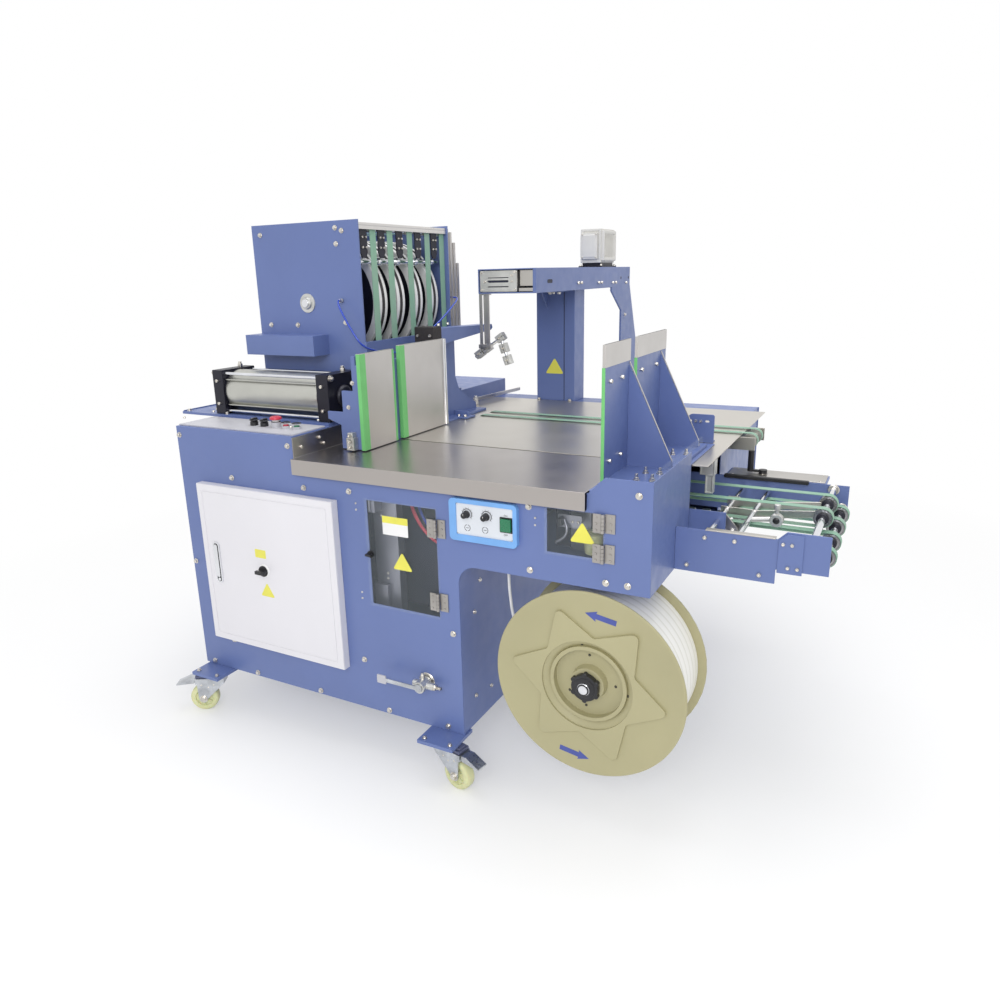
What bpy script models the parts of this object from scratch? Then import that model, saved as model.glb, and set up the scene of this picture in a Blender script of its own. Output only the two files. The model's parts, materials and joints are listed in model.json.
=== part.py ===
"""Semi automatic strapping machine, modelled in metres with +Z up.

The machine frame starts at the left end of the body, at the face of its front panel and on the floor:
+X runs along the front, +Y runs to the back and +Z points up. The last step moves the whole machine so that
the middle of its footprint is the scene's origin. Run it with: blender --background --python part.py
"""

import math

import bmesh
import bpy
from mathutils import Matrix, Vector

# Clearances and sheets
GAP = 0.0003            # between pieces that touch
SHEET = 0.003           # body sheet metal
RUNNING_GAP = 0.0003    # round a shaft in its hole

# Body
BODY_LENGTH = 1.488
BODY_DEPTH = 1.310
BODY_BOTTOM = 0.144
CABINET_LENGTH = 0.459
CABINET_TOP = 0.936
PEDESTAL_LENGTH = 0.984
ARM_BOTTOM = 0.640      # underside of the arm that overhangs the strap reel
ARM_CORNER = 0.050
END_TOP = 0.912
END_FACE_DEPTH = 0.330
TABLE_TOP = 0.875
TABLE_SHEET = 0.003
TABLE_FLANGE = 0.045
TABLE_OVERHANG = 0.012
TABLE_RIGHT = 1.333
SLOT_FRONT = 0.333      # the slot parts the front table from the rear table
SLOT_WIDTH = 0.008
REAR_TABLE_RIGHT = 1.527
REAR_TABLE_BACK = 1.195

# Castors
WHEEL_RADIUS = 0.045
WHEEL_WIDTH = 0.032
CASTOR_TRAIL = 0.050
AXLE_RADIUS = 0.006
CASTOR_PLATE = 0.111
CASTOR_PLATE_THICK = 0.010
MOUNT_PLATE_THICK = 0.004
CASTOR_OVERHANG = 0.075
LEFT_CASTOR_X = 0.0675
RIGHT_CASTOR_X = 0.9335
FORK_INSIDE = 0.0185
FORK_WALL = 0.004
PEDAL_LENGTH = 0.062

# Doors and windows, as (left, right, bottom, top) on the front face
CABINET_DOOR = (0.085, 0.604, 0.264, 0.771)
CABINET_DOOR_DEPTH = 0.025
CABINET_HOLE = (0.100, 0.589, 0.280, 0.755)
ELECTRICAL_BOX_DEPTH = 0.200
LARGE_WINDOW = (0.704, 0.922, 0.483, 0.782)
SMALL_WINDOW = (1.233, 1.374, 0.716, 0.825)
WINDOW_LAP = 0.005
CLEAR_SHEET = 0.005
DOOR_WALL = 0.002
ISOLATOR_X = 0.330
ISOLATOR_Z = 0.527
LATCH_Z = 0.632

# Operator's controls
CONTROL_BOX = (0.971, 1.160, 0.714, 0.824)
CONTROL_BOX_DEPTH = 0.014
DIAL_RADIUS = 0.010
DIAL_DEPTH = 0.018
DIAL_Z = 0.786
LEFT_DIAL_X = 1.022
RIGHT_DIAL_X = 1.077
ROCKER = (1.117, 1.145, 0.755, 0.787)
ROCKER_GAP = 0.0008
ROCKER_DEPTH = 0.009
STRIP_THICK = 0.004
STRIP_FRONT = 0.010
STRIP_BACK = 0.150
STRIP_RIGHT = 0.455
CONTROL_Y = 0.080
LEFT_SELECTOR_X = 0.245
RIGHT_SELECTOR_X = 0.285
STOP_MUSHROOM_X = 0.332
STOP_BUTTON_X = 0.370
START_BUTTON_X = 0.410
BUTTON_RADIUS = 0.0085
BUTTON_TRAVEL = 0.003
MUSHROOM_RADIUS = 0.014
MUSHROOM_TRAVEL = 0.005
COLLAR_WALL = 0.004

# Air valve on the front face
VALVE_X = 0.872
VALVE_Z = 0.283
VALVE_RADIUS = 0.017
VALVE_DEPTH = 0.045
LEVER_LENGTH = 0.135

# Stacker: base plate, hopper and turning drum
BASE_LEFT = -0.160
BASE_FRONT = 0.166
BASE_BACK = 0.950
BASE_THICK = 0.008
HOPPER_LEFT = 0.045
HOPPER_RIGHT = 0.467
HOPPER_FRONT = 0.354
HOPPER_BACK = 0.871
HOPPER_TOP = 1.524
HOPPER_WALL = 0.005
CROSSBAR = (1.100, 1.165)
COVER_FRONT = 0.280
COVER_RIGHT = 0.325
COVER = (1.125, 1.187)
DRUM_X = 0.253
DRUM_Z = 1.283
DRUM_SHAFT_RADIUS = 0.0125
DRUM_DISC_RADIUS = 0.195
DRUM_DISC_WIDTH = 0.045
DRUM_DISCS_Y = (0.490, 0.590, 0.698, 0.798)

# Pushing cylinder and pusher
CAP_FRONT = 0.175
CAP_WIDTH = 0.144
CAP_HEIGHT = 0.140
REAR_CAP_X = -0.012
REAR_CAP_THICK = 0.043
FRONT_CAP_X = 0.411
FRONT_CAP_THICK = 0.045
BORE_RADIUS = 0.0625
BARREL_WALL = 0.0035
PISTON_THICK = 0.025
PISTON_REST = 0.004
ROD_RADIUS = 0.016
PUSHER_X = 0.578
PUSHER_BACK_THICK = 0.012
PUSHER_TOP = 1.120
PUSHER_DEPTH = 0.0125
PUSHER_SHEET = 0.003
FRONT_PUSHER = (0.143, 0.308, 1.153)
REAR_PUSHER = (0.339, 0.598, 1.160)
PUSHER_LIFT = 0.0025
FIN_THICK = 0.005

# Stop brackets on the right, as (front, back) of their faces, with the rib's place
STOP_X = 1.345
STOP_PLATE = 0.005
STOP_BASE_LENGTH = 0.130
STOP_BASE_THICK = 0.008
STOP_TOP = 1.200
RIB_TOP = 1.145
RIB_LENGTH = 0.116
RIB_THICK = 0.006
FRONT_STOP = (0.063, 0.240, 0.232)
REAR_STOP = (0.295, 0.550, 0.500)
DECK_LEFT = 1.336
DECK_BACK = 0.600

# Guide arm, column and beam
ARM_POST_X = 0.545
ARM_POST_THICK = 0.008
ARM_FRONT = 0.605
ARM_TIP = 0.968
ARM_TOP = 1.192
COLUMN_LEFT = 0.657
COLUMN_WIDTH = 0.158
COLUMN_FRONT = 1.200
COLUMN_DEPTH = 0.100
BEAM_LEFT = 0.650
BEAM_WIDTH = 0.213
BEAM_FRONT = 0.750
BEAM_BACK = 1.700
BEAM_BOTTOM = 1.295
BEAM_HEIGHT = 0.079
BEAM_WALL = 0.004
LEG_FRONT = 1.597
LEG_FOOT_BACK = 1.810
LEG_THICK = 0.008
OUTRIGGER_TOP = 0.760
OUTRIGGER_HEIGHT = 0.060
MOTOR_BOX = (0.735, 0.842, 1.420, 1.600)
MOTOR_BOX_HEIGHT = 0.146

# Strap reel
REEL_X = 1.3375
REEL_Z = 0.383
REEL_RADIUS = 0.246
REEL_WIDTH = 0.198
FLANGE_THICK = 0.006
COIL_RADIUS = 0.225
CORE_RADIUS = 0.100
CORE_WALL = 0.010
SPINDLE_RADIUS = 0.015
NUT_RADIUS = 0.035
NUT_DEPTH = 0.016
HANGER_WIDTH = 0.095
HANGER_THICK = 0.008
HANGER_CLEAR = 0.003

# Outfeed conveyor
OUTFEED_FRONT = 0.200
OUTFEED_BACK = 0.705
OUTFEED_SIDE = 0.005
OUTFEED_BOTTOM = 0.642
OUTFEED_TOP = 0.752
OUTFEED_PLATE_END = 1.725
OUTFEED_END = 1.840
INNER_PLATE_Y = 0.335
ROLLER_SHAFT_RADIUS = 0.009
PULLEY_RADIUS = 0.025
PULLEY_WIDTH = 0.026
UPPER_ROLLER = (1.800, 0.752)
LOWER_ROLLER = (1.825, 0.700)
UPPER_PULLEYS_Y = (0.420, 0.550)
LOWER_PULLEYS_Y = (0.276, 0.393, 0.520, 0.639)
SHELF_BACK = 0.800
CRANK_X = 1.600
CRANK_Y = 0.750
CRANK_ARM = 0.036
TABLE_BELTS_Y = (0.790, 0.865)
TABLE_PULLEY_X = 1.552
TABLE_PULLEY_RADIUS = 0.021
LUG_SPREAD = 0.040

# Finishes: colour, metallic, roughness
BLUE_PAINT = ((0.13, 0.20, 0.50), 0.0, 0.45)
WHITE_PAINT = ((0.80, 0.81, 0.84), 0.0, 0.40)
GREY_PAINT = ((0.55, 0.56, 0.56), 0.0, 0.45)
STAINLESS = ((0.62, 0.60, 0.57), 1.0, 0.30)
ALUMINIUM = ((0.70, 0.70, 0.66), 1.0, 0.35)
ZINC = ((0.60, 0.62, 0.64), 1.0, 0.35)
CHROME = ((0.80, 0.80, 0.82), 1.0, 0.12)
BLACK_PLASTIC = ((0.02, 0.02, 0.025), 0.0, 0.40)
LIGHT_BLUE_PLASTIC = ((0.12, 0.42, 0.85), 0.0, 0.40)
GREEN_PLASTIC = ((0.02, 0.30, 0.14), 0.0, 0.35)
RED_PLASTIC = ((0.65, 0.03, 0.04), 0.0, 0.35)
CREAM_PLASTIC = ((0.80, 0.80, 0.55), 0.0, 0.45)
KHAKI_PLASTIC = ((0.55, 0.52, 0.33), 0.0, 0.50)
WHITE_PLASTIC = ((0.85, 0.85, 0.85), 0.0, 0.45)
CLEAR_PLASTIC = ((0.75, 0.85, 0.88), 0.0, 0.08)
BLUE_HOSE = ((0.05, 0.12, 0.60), 0.0, 0.35)

QUARTER_TURN = math.pi / 2


# ---------------------------------------------------------------- scene and helpers


def clear_scene():
    for old in list(bpy.data.objects):
        bpy.data.objects.remove(old, do_unlink=True)


def new_collection(name, hidden=False):
    collection = bpy.data.collections.new(name)
    bpy.context.scene.collection.children.link(collection)
    collection.hide_render = hidden
    return collection


clear_scene()
MACHINE = new_collection("strapping_machine")
CUTTERS = new_collection("cutters", hidden=True)
MACHINE_ORIGIN = bpy.data.objects.new("machine_origin", None)
MACHINE.objects.link(MACHINE_ORIGIN)


def paint(obj, finish):
    """Gives the object a Principled material of its own."""
    colour, metallic, roughness = finish
    material = bpy.data.materials.new(obj.name + "_finish")
    material.use_nodes = True
    shader = material.node_tree.nodes["Principled BSDF"]
    shader.inputs["Base Color"].default_value = (*colour, 1.0)
    shader.inputs["Metallic"].default_value = metallic
    shader.inputs["Roughness"].default_value = roughness
    obj.data.materials.append(material)


def add_piece(name, data, finish=None, pivot=(0, 0, 0)):
    """Links the data, given in the machine frame, as an object whose origin is at the pivot."""
    data.transform(Matrix.Translation(-Vector(pivot)))
    obj = bpy.data.objects.new(name, data)
    obj.location = pivot
    obj.parent = MACHINE_ORIGIN
    if finish is None:
        CUTTERS.objects.link(obj)
        obj.hide_render = True
        obj.display_type = "WIRE"
    else:
        MACHINE.objects.link(obj)
        paint(obj, finish)
    return obj


def mesh_from(build, name):
    work = bmesh.new()
    build(work)
    mesh = bpy.data.meshes.new(name)
    work.to_mesh(mesh)
    work.free()
    return mesh


def box(name, low, high, finish=None, pivot=(0, 0, 0)):
    size = Vector(high) - Vector(low)
    middle = (Vector(high) + Vector(low)) / 2

    def build(work):
        bmesh.ops.create_cube(work, size=1.0)
        bmesh.ops.scale(work, vec=size, verts=work.verts)
        bmesh.ops.translate(work, vec=middle, verts=work.verts)

    return add_piece(name, mesh_from(build, name), finish, pivot)


def rod(name, start, end, radius, finish=None, pivot=(0, 0, 0), segments=24):
    """A cylinder between two points."""
    along = Vector(end) - Vector(start)
    middle = (Vector(end) + Vector(start)) / 2
    turn = Vector((0, 0, 1)).rotation_difference(along).to_matrix().to_4x4()

    def build(work):
        bmesh.ops.create_cone(
            work, cap_ends=True, segments=segments, radius1=radius, radius2=radius, depth=along.length
        )
        bmesh.ops.transform(work, matrix=Matrix.Translation(middle) @ turn, verts=work.verts)

    mesh = mesh_from(build, name)
    mesh.shade_smooth()
    mesh.set_sharp_from_angle(angle=math.radians(40))
    return add_piece(name, mesh, finish, pivot)


def turned(name, profile, centre, direction, finish=None, steps=32):
    """A turned piece: the profile's (radius, height) points run down its outer side, height along direction."""
    mesh = bpy.data.meshes.new(name)
    points = [(radius, 0, height) for radius, height in profile]
    closed = profile[0][0] > 0 and profile[-1][0] > 0
    count = len(points)
    edges = [(i, (i + 1) % count) for i in range(count if closed else count - 1)]
    mesh.from_pydata(points, edges, [])
    obj = add_piece(name, mesh, finish)
    obj.location = centre
    obj.rotation_euler = Vector((0, 0, 1)).rotation_difference(Vector(direction)).to_euler()
    screw = obj.modifiers.new("turn", "SCREW")
    screw.axis = "Z"
    screw.steps = steps
    screw.render_steps = steps
    screw.use_merge_vertices = True
    screw.merge_threshold = 0.00005
    screw.use_smooth_shade = True
    return obj


PLANES = {
    "XY": Matrix.Identity(4),
    "XZ": Matrix.Rotation(QUARTER_TURN, 4, "X"),
    "YZ": Matrix.Rotation(QUARTER_TURN, 4, "Z") @ Matrix.Rotation(QUARTER_TURN, 4, "X"),
}


def outline_curve(name, outlines, thickness):
    """A flat curve from closed outlines; an outline inside another is a hole."""
    curve = bpy.data.curves.new(name, "CURVE")
    curve.dimensions = "2D"
    curve.fill_mode = "BOTH"
    curve.extrude = thickness / 2
    for points in outlines:
        spline = curve.splines.new("POLY")
        spline.points.add(len(points) - 1)
        for place, (u, v) in zip(spline.points, points):
            place.co = (u, v, 0, 1)
        spline.use_cyclic_u = True
    return curve


def plate(name, plane, outlines, face, thickness, finish=None, pivot=(0, 0, 0)):
    """A flat outline made solid from face to face + thickness along the plane's normal axis, as a mesh."""
    curve = outline_curve(name + "_outline", outlines, thickness)
    guide = bpy.data.objects.new(name + "_outline", curve)
    bpy.context.scene.collection.objects.link(guide)
    graph = bpy.context.evaluated_depsgraph_get()
    mesh = bpy.data.meshes.new_from_object(guide.evaluated_get(graph))
    bpy.data.objects.remove(guide, do_unlink=True)
    bpy.data.curves.remove(curve)
    work = bmesh.new()
    work.from_mesh(mesh)
    bmesh.ops.remove_doubles(work, verts=work.verts, dist=0.00001)
    bmesh.ops.recalc_face_normals(work, faces=work.faces)
    work.to_mesh(mesh)
    work.free()
    mesh.name = name
    mesh.transform(PLANES[plane])
    middle = face + thickness / 2
    move = {"XY": (0, 0, middle), "XZ": (0, middle, 0), "YZ": (middle, 0, 0)}[plane]
    mesh.transform(Matrix.Translation(move))
    return add_piece(name, mesh, finish, pivot)


def join(obj, *others):
    """Boolean unions, so that several shapes make one solid."""
    for other in others:
        union = obj.modifiers.new("join " + other.name, "BOOLEAN")
        union.operation = "UNION"
        union.object = other
    return obj


def cut(obj, *others):
    for other in others:
        difference = obj.modifiers.new("cut " + other.name, "BOOLEAN")
        difference.operation = "DIFFERENCE"
        difference.object = other
    return obj


def rectangle(left, right, bottom, top):
    return [(left, bottom), (right, bottom), (right, top), (left, top)]


def arc(centre, radius, start, end, steps=6):
    """Points on an arc, with its angles in degrees."""
    angles = [math.radians(start + (end - start) * i / steps) for i in range(steps + 1)]
    return [(centre[0] + radius * math.cos(a), centre[1] + radius * math.sin(a)) for a in angles]


# ---------------------------------------------------------------- body


def body_outline(top_right):
    """The front and rear sheets' outline, with its rounded inner corner over the strap reel."""
    table_line = TABLE_TOP - TABLE_SHEET - GAP
    corner = (PEDESTAL_LENGTH + ARM_CORNER, ARM_BOTTOM - ARM_CORNER)
    return [
        (0, BODY_BOTTOM),
        (PEDESTAL_LENGTH, BODY_BOTTOM),
        *arc(corner, ARM_CORNER, 180, 90),
        (BODY_LENGTH, ARM_BOTTOM),
        *top_right,
        (CABINET_LENGTH, table_line),
        (CABINET_LENGTH, CABINET_TOP),
        (0, CABINET_TOP),
    ]


def make_front_panel():
    table_line = TABLE_TOP - TABLE_SHEET - GAP
    rise = END_TOP - table_line
    step = [(BODY_LENGTH, END_TOP), (DECK_LEFT + rise, END_TOP), (DECK_LEFT, table_line)]
    holes = [rectangle(*CABINET_HOLE), rectangle(*LARGE_WINDOW), rectangle(*SMALL_WINDOW)]
    plate("front_panel", "XZ", [body_outline(step), *holes], 0, SHEET, BLUE_PAINT)


def make_body_shell():
    """Left wall, cabinet top, step wall, pedestal and arm underside, rear sheet, ledge, right wall and hanger."""
    front = SHEET + GAP
    table_line = TABLE_TOP - TABLE_SHEET - GAP
    arm_end = BODY_LENGTH - SHEET - GAP
    back = BODY_DEPTH - SHEET / 2
    cabinet = [
        (0, BODY_BOTTOM),
        (SHEET, BODY_BOTTOM),
        (SHEET, CABINET_TOP - SHEET),
        (CABINET_LENGTH - SHEET, CABINET_TOP - SHEET),
        (CABINET_LENGTH - SHEET, TABLE_TOP - TABLE_FLANGE),
        (CABINET_LENGTH, TABLE_TOP - TABLE_FLANGE),
        (CABINET_LENGTH, CABINET_TOP),
        (0, CABINET_TOP),
    ]
    shell = plate("body_shell", "XZ", [cabinet], front, back - front, BLUE_PAINT)
    corner = (PEDESTAL_LENGTH + ARM_CORNER, ARM_BOTTOM - ARM_CORNER)
    bend = [
        (PEDESTAL_LENGTH, BODY_BOTTOM),
        *arc(corner, ARM_CORNER, 180, 90),
        (arm_end - SHEET / 2, ARM_BOTTOM),
        (arm_end - SHEET / 2, ARM_BOTTOM + SHEET),
        *arc(corner, ARM_CORNER + SHEET, 90, 180),
        (PEDESTAL_LENGTH - SHEET, BODY_BOTTOM),
    ]
    under = plate("under_sheet", "XZ", [bend], front, back - front)
    back_outline = body_outline([(BODY_LENGTH, table_line)])
    rear = plate("rear_sheet", "XZ", [back_outline], BODY_DEPTH - SHEET, SHEET)
    ledge_low = (CABINET_LENGTH - SHEET / 2, REAR_TABLE_BACK - SLOT_WIDTH, table_line - SHEET)
    ledge = box("rear_ledge", ledge_low, (arm_end - SHEET / 2, back, table_line))
    right_low = (arm_end - SHEET, OUTFEED_BACK + SHEET, ARM_BOTTOM + SHEET / 2)
    right = box("rear_right_wall", right_low, (arm_end, back, table_line - SHEET / 2))
    outrigger_low = (BEAM_LEFT, BODY_DEPTH - SHEET, OUTRIGGER_TOP - OUTRIGGER_HEIGHT)
    outrigger_high = (BEAM_LEFT + BEAM_WIDTH, LEG_FOOT_BACK + SLOT_WIDTH, OUTRIGGER_TOP)
    outrigger = box("outrigger", outrigger_low, outrigger_high)
    join(shell, under, rear, ledge, right, outrigger, *reel_hanger())
    inset = 2 * SHEET
    hollow_low = (outrigger_low[0] + inset, outrigger_low[1] - inset, outrigger_low[2] + inset)
    hollow_high = (outrigger_high[0] - inset, outrigger_high[1] - inset, outrigger_high[2] - inset)
    cut(shell, box("outrigger_hollow", hollow_low, hollow_high), spindle_hole())


def reel_hanger():
    """The bracket that hangs from the arm behind the reel and carries its spindle."""
    face = REEL_WIDTH + HANGER_THICK + HANGER_CLEAR
    left = REEL_X - HANGER_WIDTH / 2
    right = REEL_X + HANGER_WIDTH / 2
    sunk = ARM_BOTTOM + SHEET / 2
    outline = [
        (left, sunk),
        (left, REEL_Z),
        *arc((REEL_X, REEL_Z), HANGER_WIDTH / 2, 180, 360, 10),
        (right, sunk),
    ]
    web = plate("hanger_web", "XZ", [outline], face, HANGER_THICK)
    foot_low = (left + SHEET, face + HANGER_THICK / 2, ARM_BOTTOM - HANGER_THICK)
    foot = box("hanger_foot", foot_low, (right - SHEET, face + HANGER_WIDTH, sunk - SHEET / 4))
    return web, foot


def spindle_hole():
    start = (REEL_X, REEL_WIDTH, REEL_Z)
    end = (REEL_X, REEL_WIDTH + HANGER_WIDTH / 2, REEL_Z)
    return rod("spindle_hole", start, end, SPINDLE_RADIUS + RUNNING_GAP)


def make_end_panel():
    """The right end face, bent over into the deck that carries the stop brackets."""
    front = SHEET + GAP
    face_low = (BODY_LENGTH - SHEET, front, ARM_BOTTOM)
    panel = box("end_panel", face_low, (BODY_LENGTH, END_FACE_DEPTH, END_TOP), BLUE_PAINT)
    deck_bottom = TABLE_TOP + GAP
    deck_high = (BODY_LENGTH - SHEET / 2, DECK_BACK, deck_bottom + SHEET)
    join(panel, box("end_deck", (DECK_LEFT, front, deck_bottom), deck_high))


def make_front_table():
    left = CABINET_LENGTH + GAP
    low = (left, -TABLE_OVERHANG, TABLE_TOP - TABLE_SHEET)
    table = box("front_table", low, (TABLE_RIGHT, SLOT_FRONT, TABLE_TOP), STAINLESS)
    flange_low = (left, -TABLE_OVERHANG, TABLE_TOP - TABLE_FLANGE)
    flange = box("table_flange", flange_low, (TABLE_RIGHT, TABLE_SHEET - TABLE_OVERHANG, TABLE_TOP))
    upstand_high = (left + TABLE_SHEET, SLOT_FRONT, CABINET_TOP - SHEET)
    upstand = box("table_upstand", (left, 0, TABLE_TOP - TABLE_SHEET), upstand_high)
    join(table, flange, upstand)


def make_rear_table():
    """The rear table, with the two lugs that carry its belt pulleys."""
    left = CABINET_LENGTH + GAP
    front = SLOT_FRONT + SLOT_WIDTH
    bottom = TABLE_TOP - TABLE_SHEET
    table = box("rear_table", (left, front, bottom), (REAR_TABLE_RIGHT, REAR_TABLE_BACK, TABLE_TOP), STAINLESS)
    lug_top = TABLE_TOP - TABLE_SHEET / 2
    for name, inner, side in (("front_lug", TABLE_BELTS_Y[0], -1), ("rear_lug", TABLE_BELTS_Y[1], 1)):
        near = inner + side * LUG_SPREAD
        far = near + side * HOPPER_WALL
        lug_low = (REAR_TABLE_RIGHT - LUG_SPREAD, min(near, far), TABLE_TOP - LUG_SPREAD)
        lug_high = (TABLE_PULLEY_X + TABLE_PULLEY_RADIUS, max(near, far), lug_top)
        join(table, box(name, lug_low, lug_high))


def make_base_frame():
    """The bottom pan, with a thick plate and a castor's mounting plate at each corner."""
    inside = SHEET + GAP
    plate_top = BODY_BOTTOM - GAP
    pan_low = (inside, inside, plate_top - GAP * 2)
    pan_high = (PEDESTAL_LENGTH - inside, BODY_DEPTH - inside, BODY_BOTTOM + SHEET)
    frame = box("base_frame", pan_low, pan_high, BLUE_PAINT)
    for name, (x, y) in castor_pivots().items():
        front = y - CASTOR_PLATE / 2
        plate_low = (x - CASTOR_PLATE / 2, front, plate_top - CASTOR_PLATE_THICK)
        plate_high = (x + CASTOR_PLATE / 2, front + CASTOR_PLATE, plate_top)
        bottom = plate_low[2] - MOUNT_PLATE_THICK
        half = CASTOR_PLATE / 2 - CASTOR_PLATE_THICK
        mount = box(name + "_mount", (x - half, y - half, bottom), (x + half, y + half, plate_low[2] + GAP))
        join(frame, box(name + "_plate", plate_low, plate_high), mount)


# ---------------------------------------------------------------- castors


def castor_pivots():
    front = CASTOR_PLATE / 2 - CASTOR_OVERHANG
    back = BODY_DEPTH + CASTOR_OVERHANG - CASTOR_PLATE / 2
    return {
        "front_left": (LEFT_CASTOR_X, front),
        "front_right": (RIGHT_CASTOR_X, front),
        "rear_left": (LEFT_CASTOR_X, back),
        "rear_right": (RIGHT_CASTOR_X, back),
    }


CASTOR_TURNS = {"front_left": -150, "front_right": -12, "rear_left": 165, "rear_right": 25}
BRAKED = ("front_left", "front_right")


def place_castor_piece(obj, x, y, turn):
    obj.location = (x, y, 0)
    obj.rotation_euler = (0, 0, math.radians(turn))


def make_castor(name, x, y, turn):
    """A swivel castor, modelled at its pivot with the trail along +X, then turned."""
    race_top = BODY_BOTTOM - CASTOR_PLATE_THICK - MOUNT_PLATE_THICK - 2 * GAP
    crown_top = 2 * WHEEL_RADIUS + 0.026
    crown_bottom = crown_top - 0.018
    outside = FORK_INSIDE + FORK_WALL
    crown_low = (-0.022, -outside, crown_bottom)
    crown_high = (CASTOR_TRAIL + 0.022, outside, crown_top)
    fork = box(name + "_castor_fork", crown_low, crown_high, ZINC)
    race = rod(name + "_race", (0, 0, crown_top - 0.002), (0, 0, race_top), 0.028, segments=20)
    leg_outline = [
        (-0.018, crown_top - 0.002),
        (-0.018, crown_bottom - 0.003),
        (CASTOR_TRAIL - 0.014, WHEEL_RADIUS),
        *arc((CASTOR_TRAIL, WHEEL_RADIUS), 0.014, 180, 360, 6),
        (CASTOR_TRAIL + 0.016, crown_bottom - 0.010),
        (CASTOR_TRAIL + 0.016, crown_top - 0.002),
    ]
    near_leg = plate(name + "_near_leg", "XZ", [leg_outline], -outside, FORK_WALL)
    far_leg = plate(name + "_far_leg", "XZ", [leg_outline], FORK_INSIDE, FORK_WALL)
    axle_reach = outside + 0.004
    axle_start = (CASTOR_TRAIL, -axle_reach, WHEEL_RADIUS)
    axle_end = (CASTOR_TRAIL, axle_reach, WHEEL_RADIUS)
    axle = rod(name + "_axle", axle_start, axle_end, AXLE_RADIUS, segments=12)
    join(fork, race, near_leg, far_leg, axle)
    for piece in (fork, race, near_leg, far_leg, axle):
        place_castor_piece(piece, x, y, turn)
    make_castor_wheel(name, x, y, turn)
    if name in BRAKED:
        make_castor_brake(name, x, y, turn, crown_bottom, crown_top)


def make_castor_wheel(name, x, y, turn):
    half = WHEEL_WIDTH / 2
    shoulder = 0.005
    bore = AXLE_RADIUS + RUNNING_GAP
    profile = [
        (bore, half),
        (WHEEL_RADIUS - shoulder, half),
        (WHEEL_RADIUS, half - shoulder),
        (WHEEL_RADIUS, shoulder - half),
        (WHEEL_RADIUS - shoulder, -half),
        (bore, -half),
    ]
    heading = math.radians(turn)
    centre = (x + CASTOR_TRAIL * math.cos(heading), y + CASTOR_TRAIL * math.sin(heading), WHEEL_RADIUS)
    direction = (-math.sin(heading), math.cos(heading), 0)
    turned(name + "_castor_wheel", profile, centre, direction, CREAM_PLASTIC, steps=28)


def make_castor_brake(name, x, y, turn, bottom, top):
    """The foot pedal, with its hinge line along its upper inner edge and its lower edge clear to tilt."""
    start = CASTOR_TRAIL + 0.022 + GAP
    tilt_room = 0.004
    outline = [
        (start + tilt_room, bottom + 0.001),
        (start + PEDAL_LENGTH, bottom - 0.004),
        (start + PEDAL_LENGTH, bottom),
        (start + 0.020, top),
        (start, top),
    ]
    pedal = plate(name + "_brake_pedal", "XZ", [outline], -FORK_INSIDE, 2 * FORK_INSIDE, ZINC)
    pedal.data.transform(Matrix.Translation((-start, 0, -top)))
    heading = math.radians(turn)
    pedal.location = (x + start * math.cos(heading), y + start * math.sin(heading), top)
    pedal.rotation_euler = (0, 0, heading)


# ---------------------------------------------------------------- doors


def make_electrical_box():
    """The steel box behind the white door, open to the front."""
    left, right, bottom, top = CABINET_HOLE
    low = (left + GAP, GAP, bottom + GAP)
    high = (right - GAP, ELECTRICAL_BOX_DEPTH, top - GAP)
    case = box("electrical_box", low, high, GREY_PAINT)
    inner_low = (low[0] + DOOR_WALL, -SHEET, low[2] + DOOR_WALL)
    inner_high = (high[0] - DOOR_WALL, high[1] - DOOR_WALL, high[2] - DOOR_WALL)
    cut(case, box("electrical_box_hollow", inner_low, inner_high))


def make_electrical_door():
    """A pan door whose hinge line is its front right edge."""
    left, right, bottom, top = CABINET_DOOR
    low = (left, -CABINET_DOOR_DEPTH, bottom)
    high = (right, -GAP, top)
    hinge = (right, -CABINET_DOOR_DEPTH, 0)
    door = box("electrical_door", low, high, WHITE_PAINT, hinge)
    inner_low = (left + DOOR_WALL, DOOR_WALL - CABINET_DOOR_DEPTH, bottom + DOOR_WALL)
    inner_high = (right - DOOR_WALL, SHEET, top - DOOR_WALL)
    cut(door, box("door_hollow", inner_low, inner_high))
    face = -CABINET_DOOR_DEPTH - GAP
    centre = (ISOLATOR_X, 0, ISOLATOR_Z)
    make_grip_knob("isolator_knob", centre, face, 0.017, 0.008, 0.018)


def make_grip_knob(name, centre, face, radius, base, reach):
    """A round base with a bar across it, turned about Y."""
    x, _, z = centre
    front = (x, face - base, z)
    knob = rod(name, (x, face, z), front, radius, BLACK_PLASTIC, (x, face, z), segments=20)
    bar_low = (x - radius * 0.9, face - base - reach, z - radius * 0.3)
    bar_high = (x + radius * 0.9, face - base / 2, z + radius * 0.3)
    join(knob, box(name + "_bar", bar_low, bar_high))


def make_clear_door(name, window, lap_top):
    """A clear sheet over its window, hinged at the front of its right edge."""
    left, right, bottom, top = window
    low = (left - WINDOW_LAP, -GAP - CLEAR_SHEET, bottom - WINDOW_LAP)
    high = (right + WINDOW_LAP, -GAP, top + lap_top)
    box(name, low, high, CLEAR_PLASTIC, (high[0], low[1], 0))


def make_clear_doors():
    make_clear_door("large_clear_door", LARGE_WINDOW, WINDOW_LAP)
    make_clear_door("small_clear_door", SMALL_WINDOW, WINDOW_LAP - SHEET)
    face = -2 * GAP - CLEAR_SHEET
    latch_x = LARGE_WINDOW[0] + WINDOW_LAP + 0.004
    make_grip_knob("large_door_latch", (latch_x, 0, LATCH_Z), face, 0.010, 0.005, 0.012)


# ---------------------------------------------------------------- controls


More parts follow.
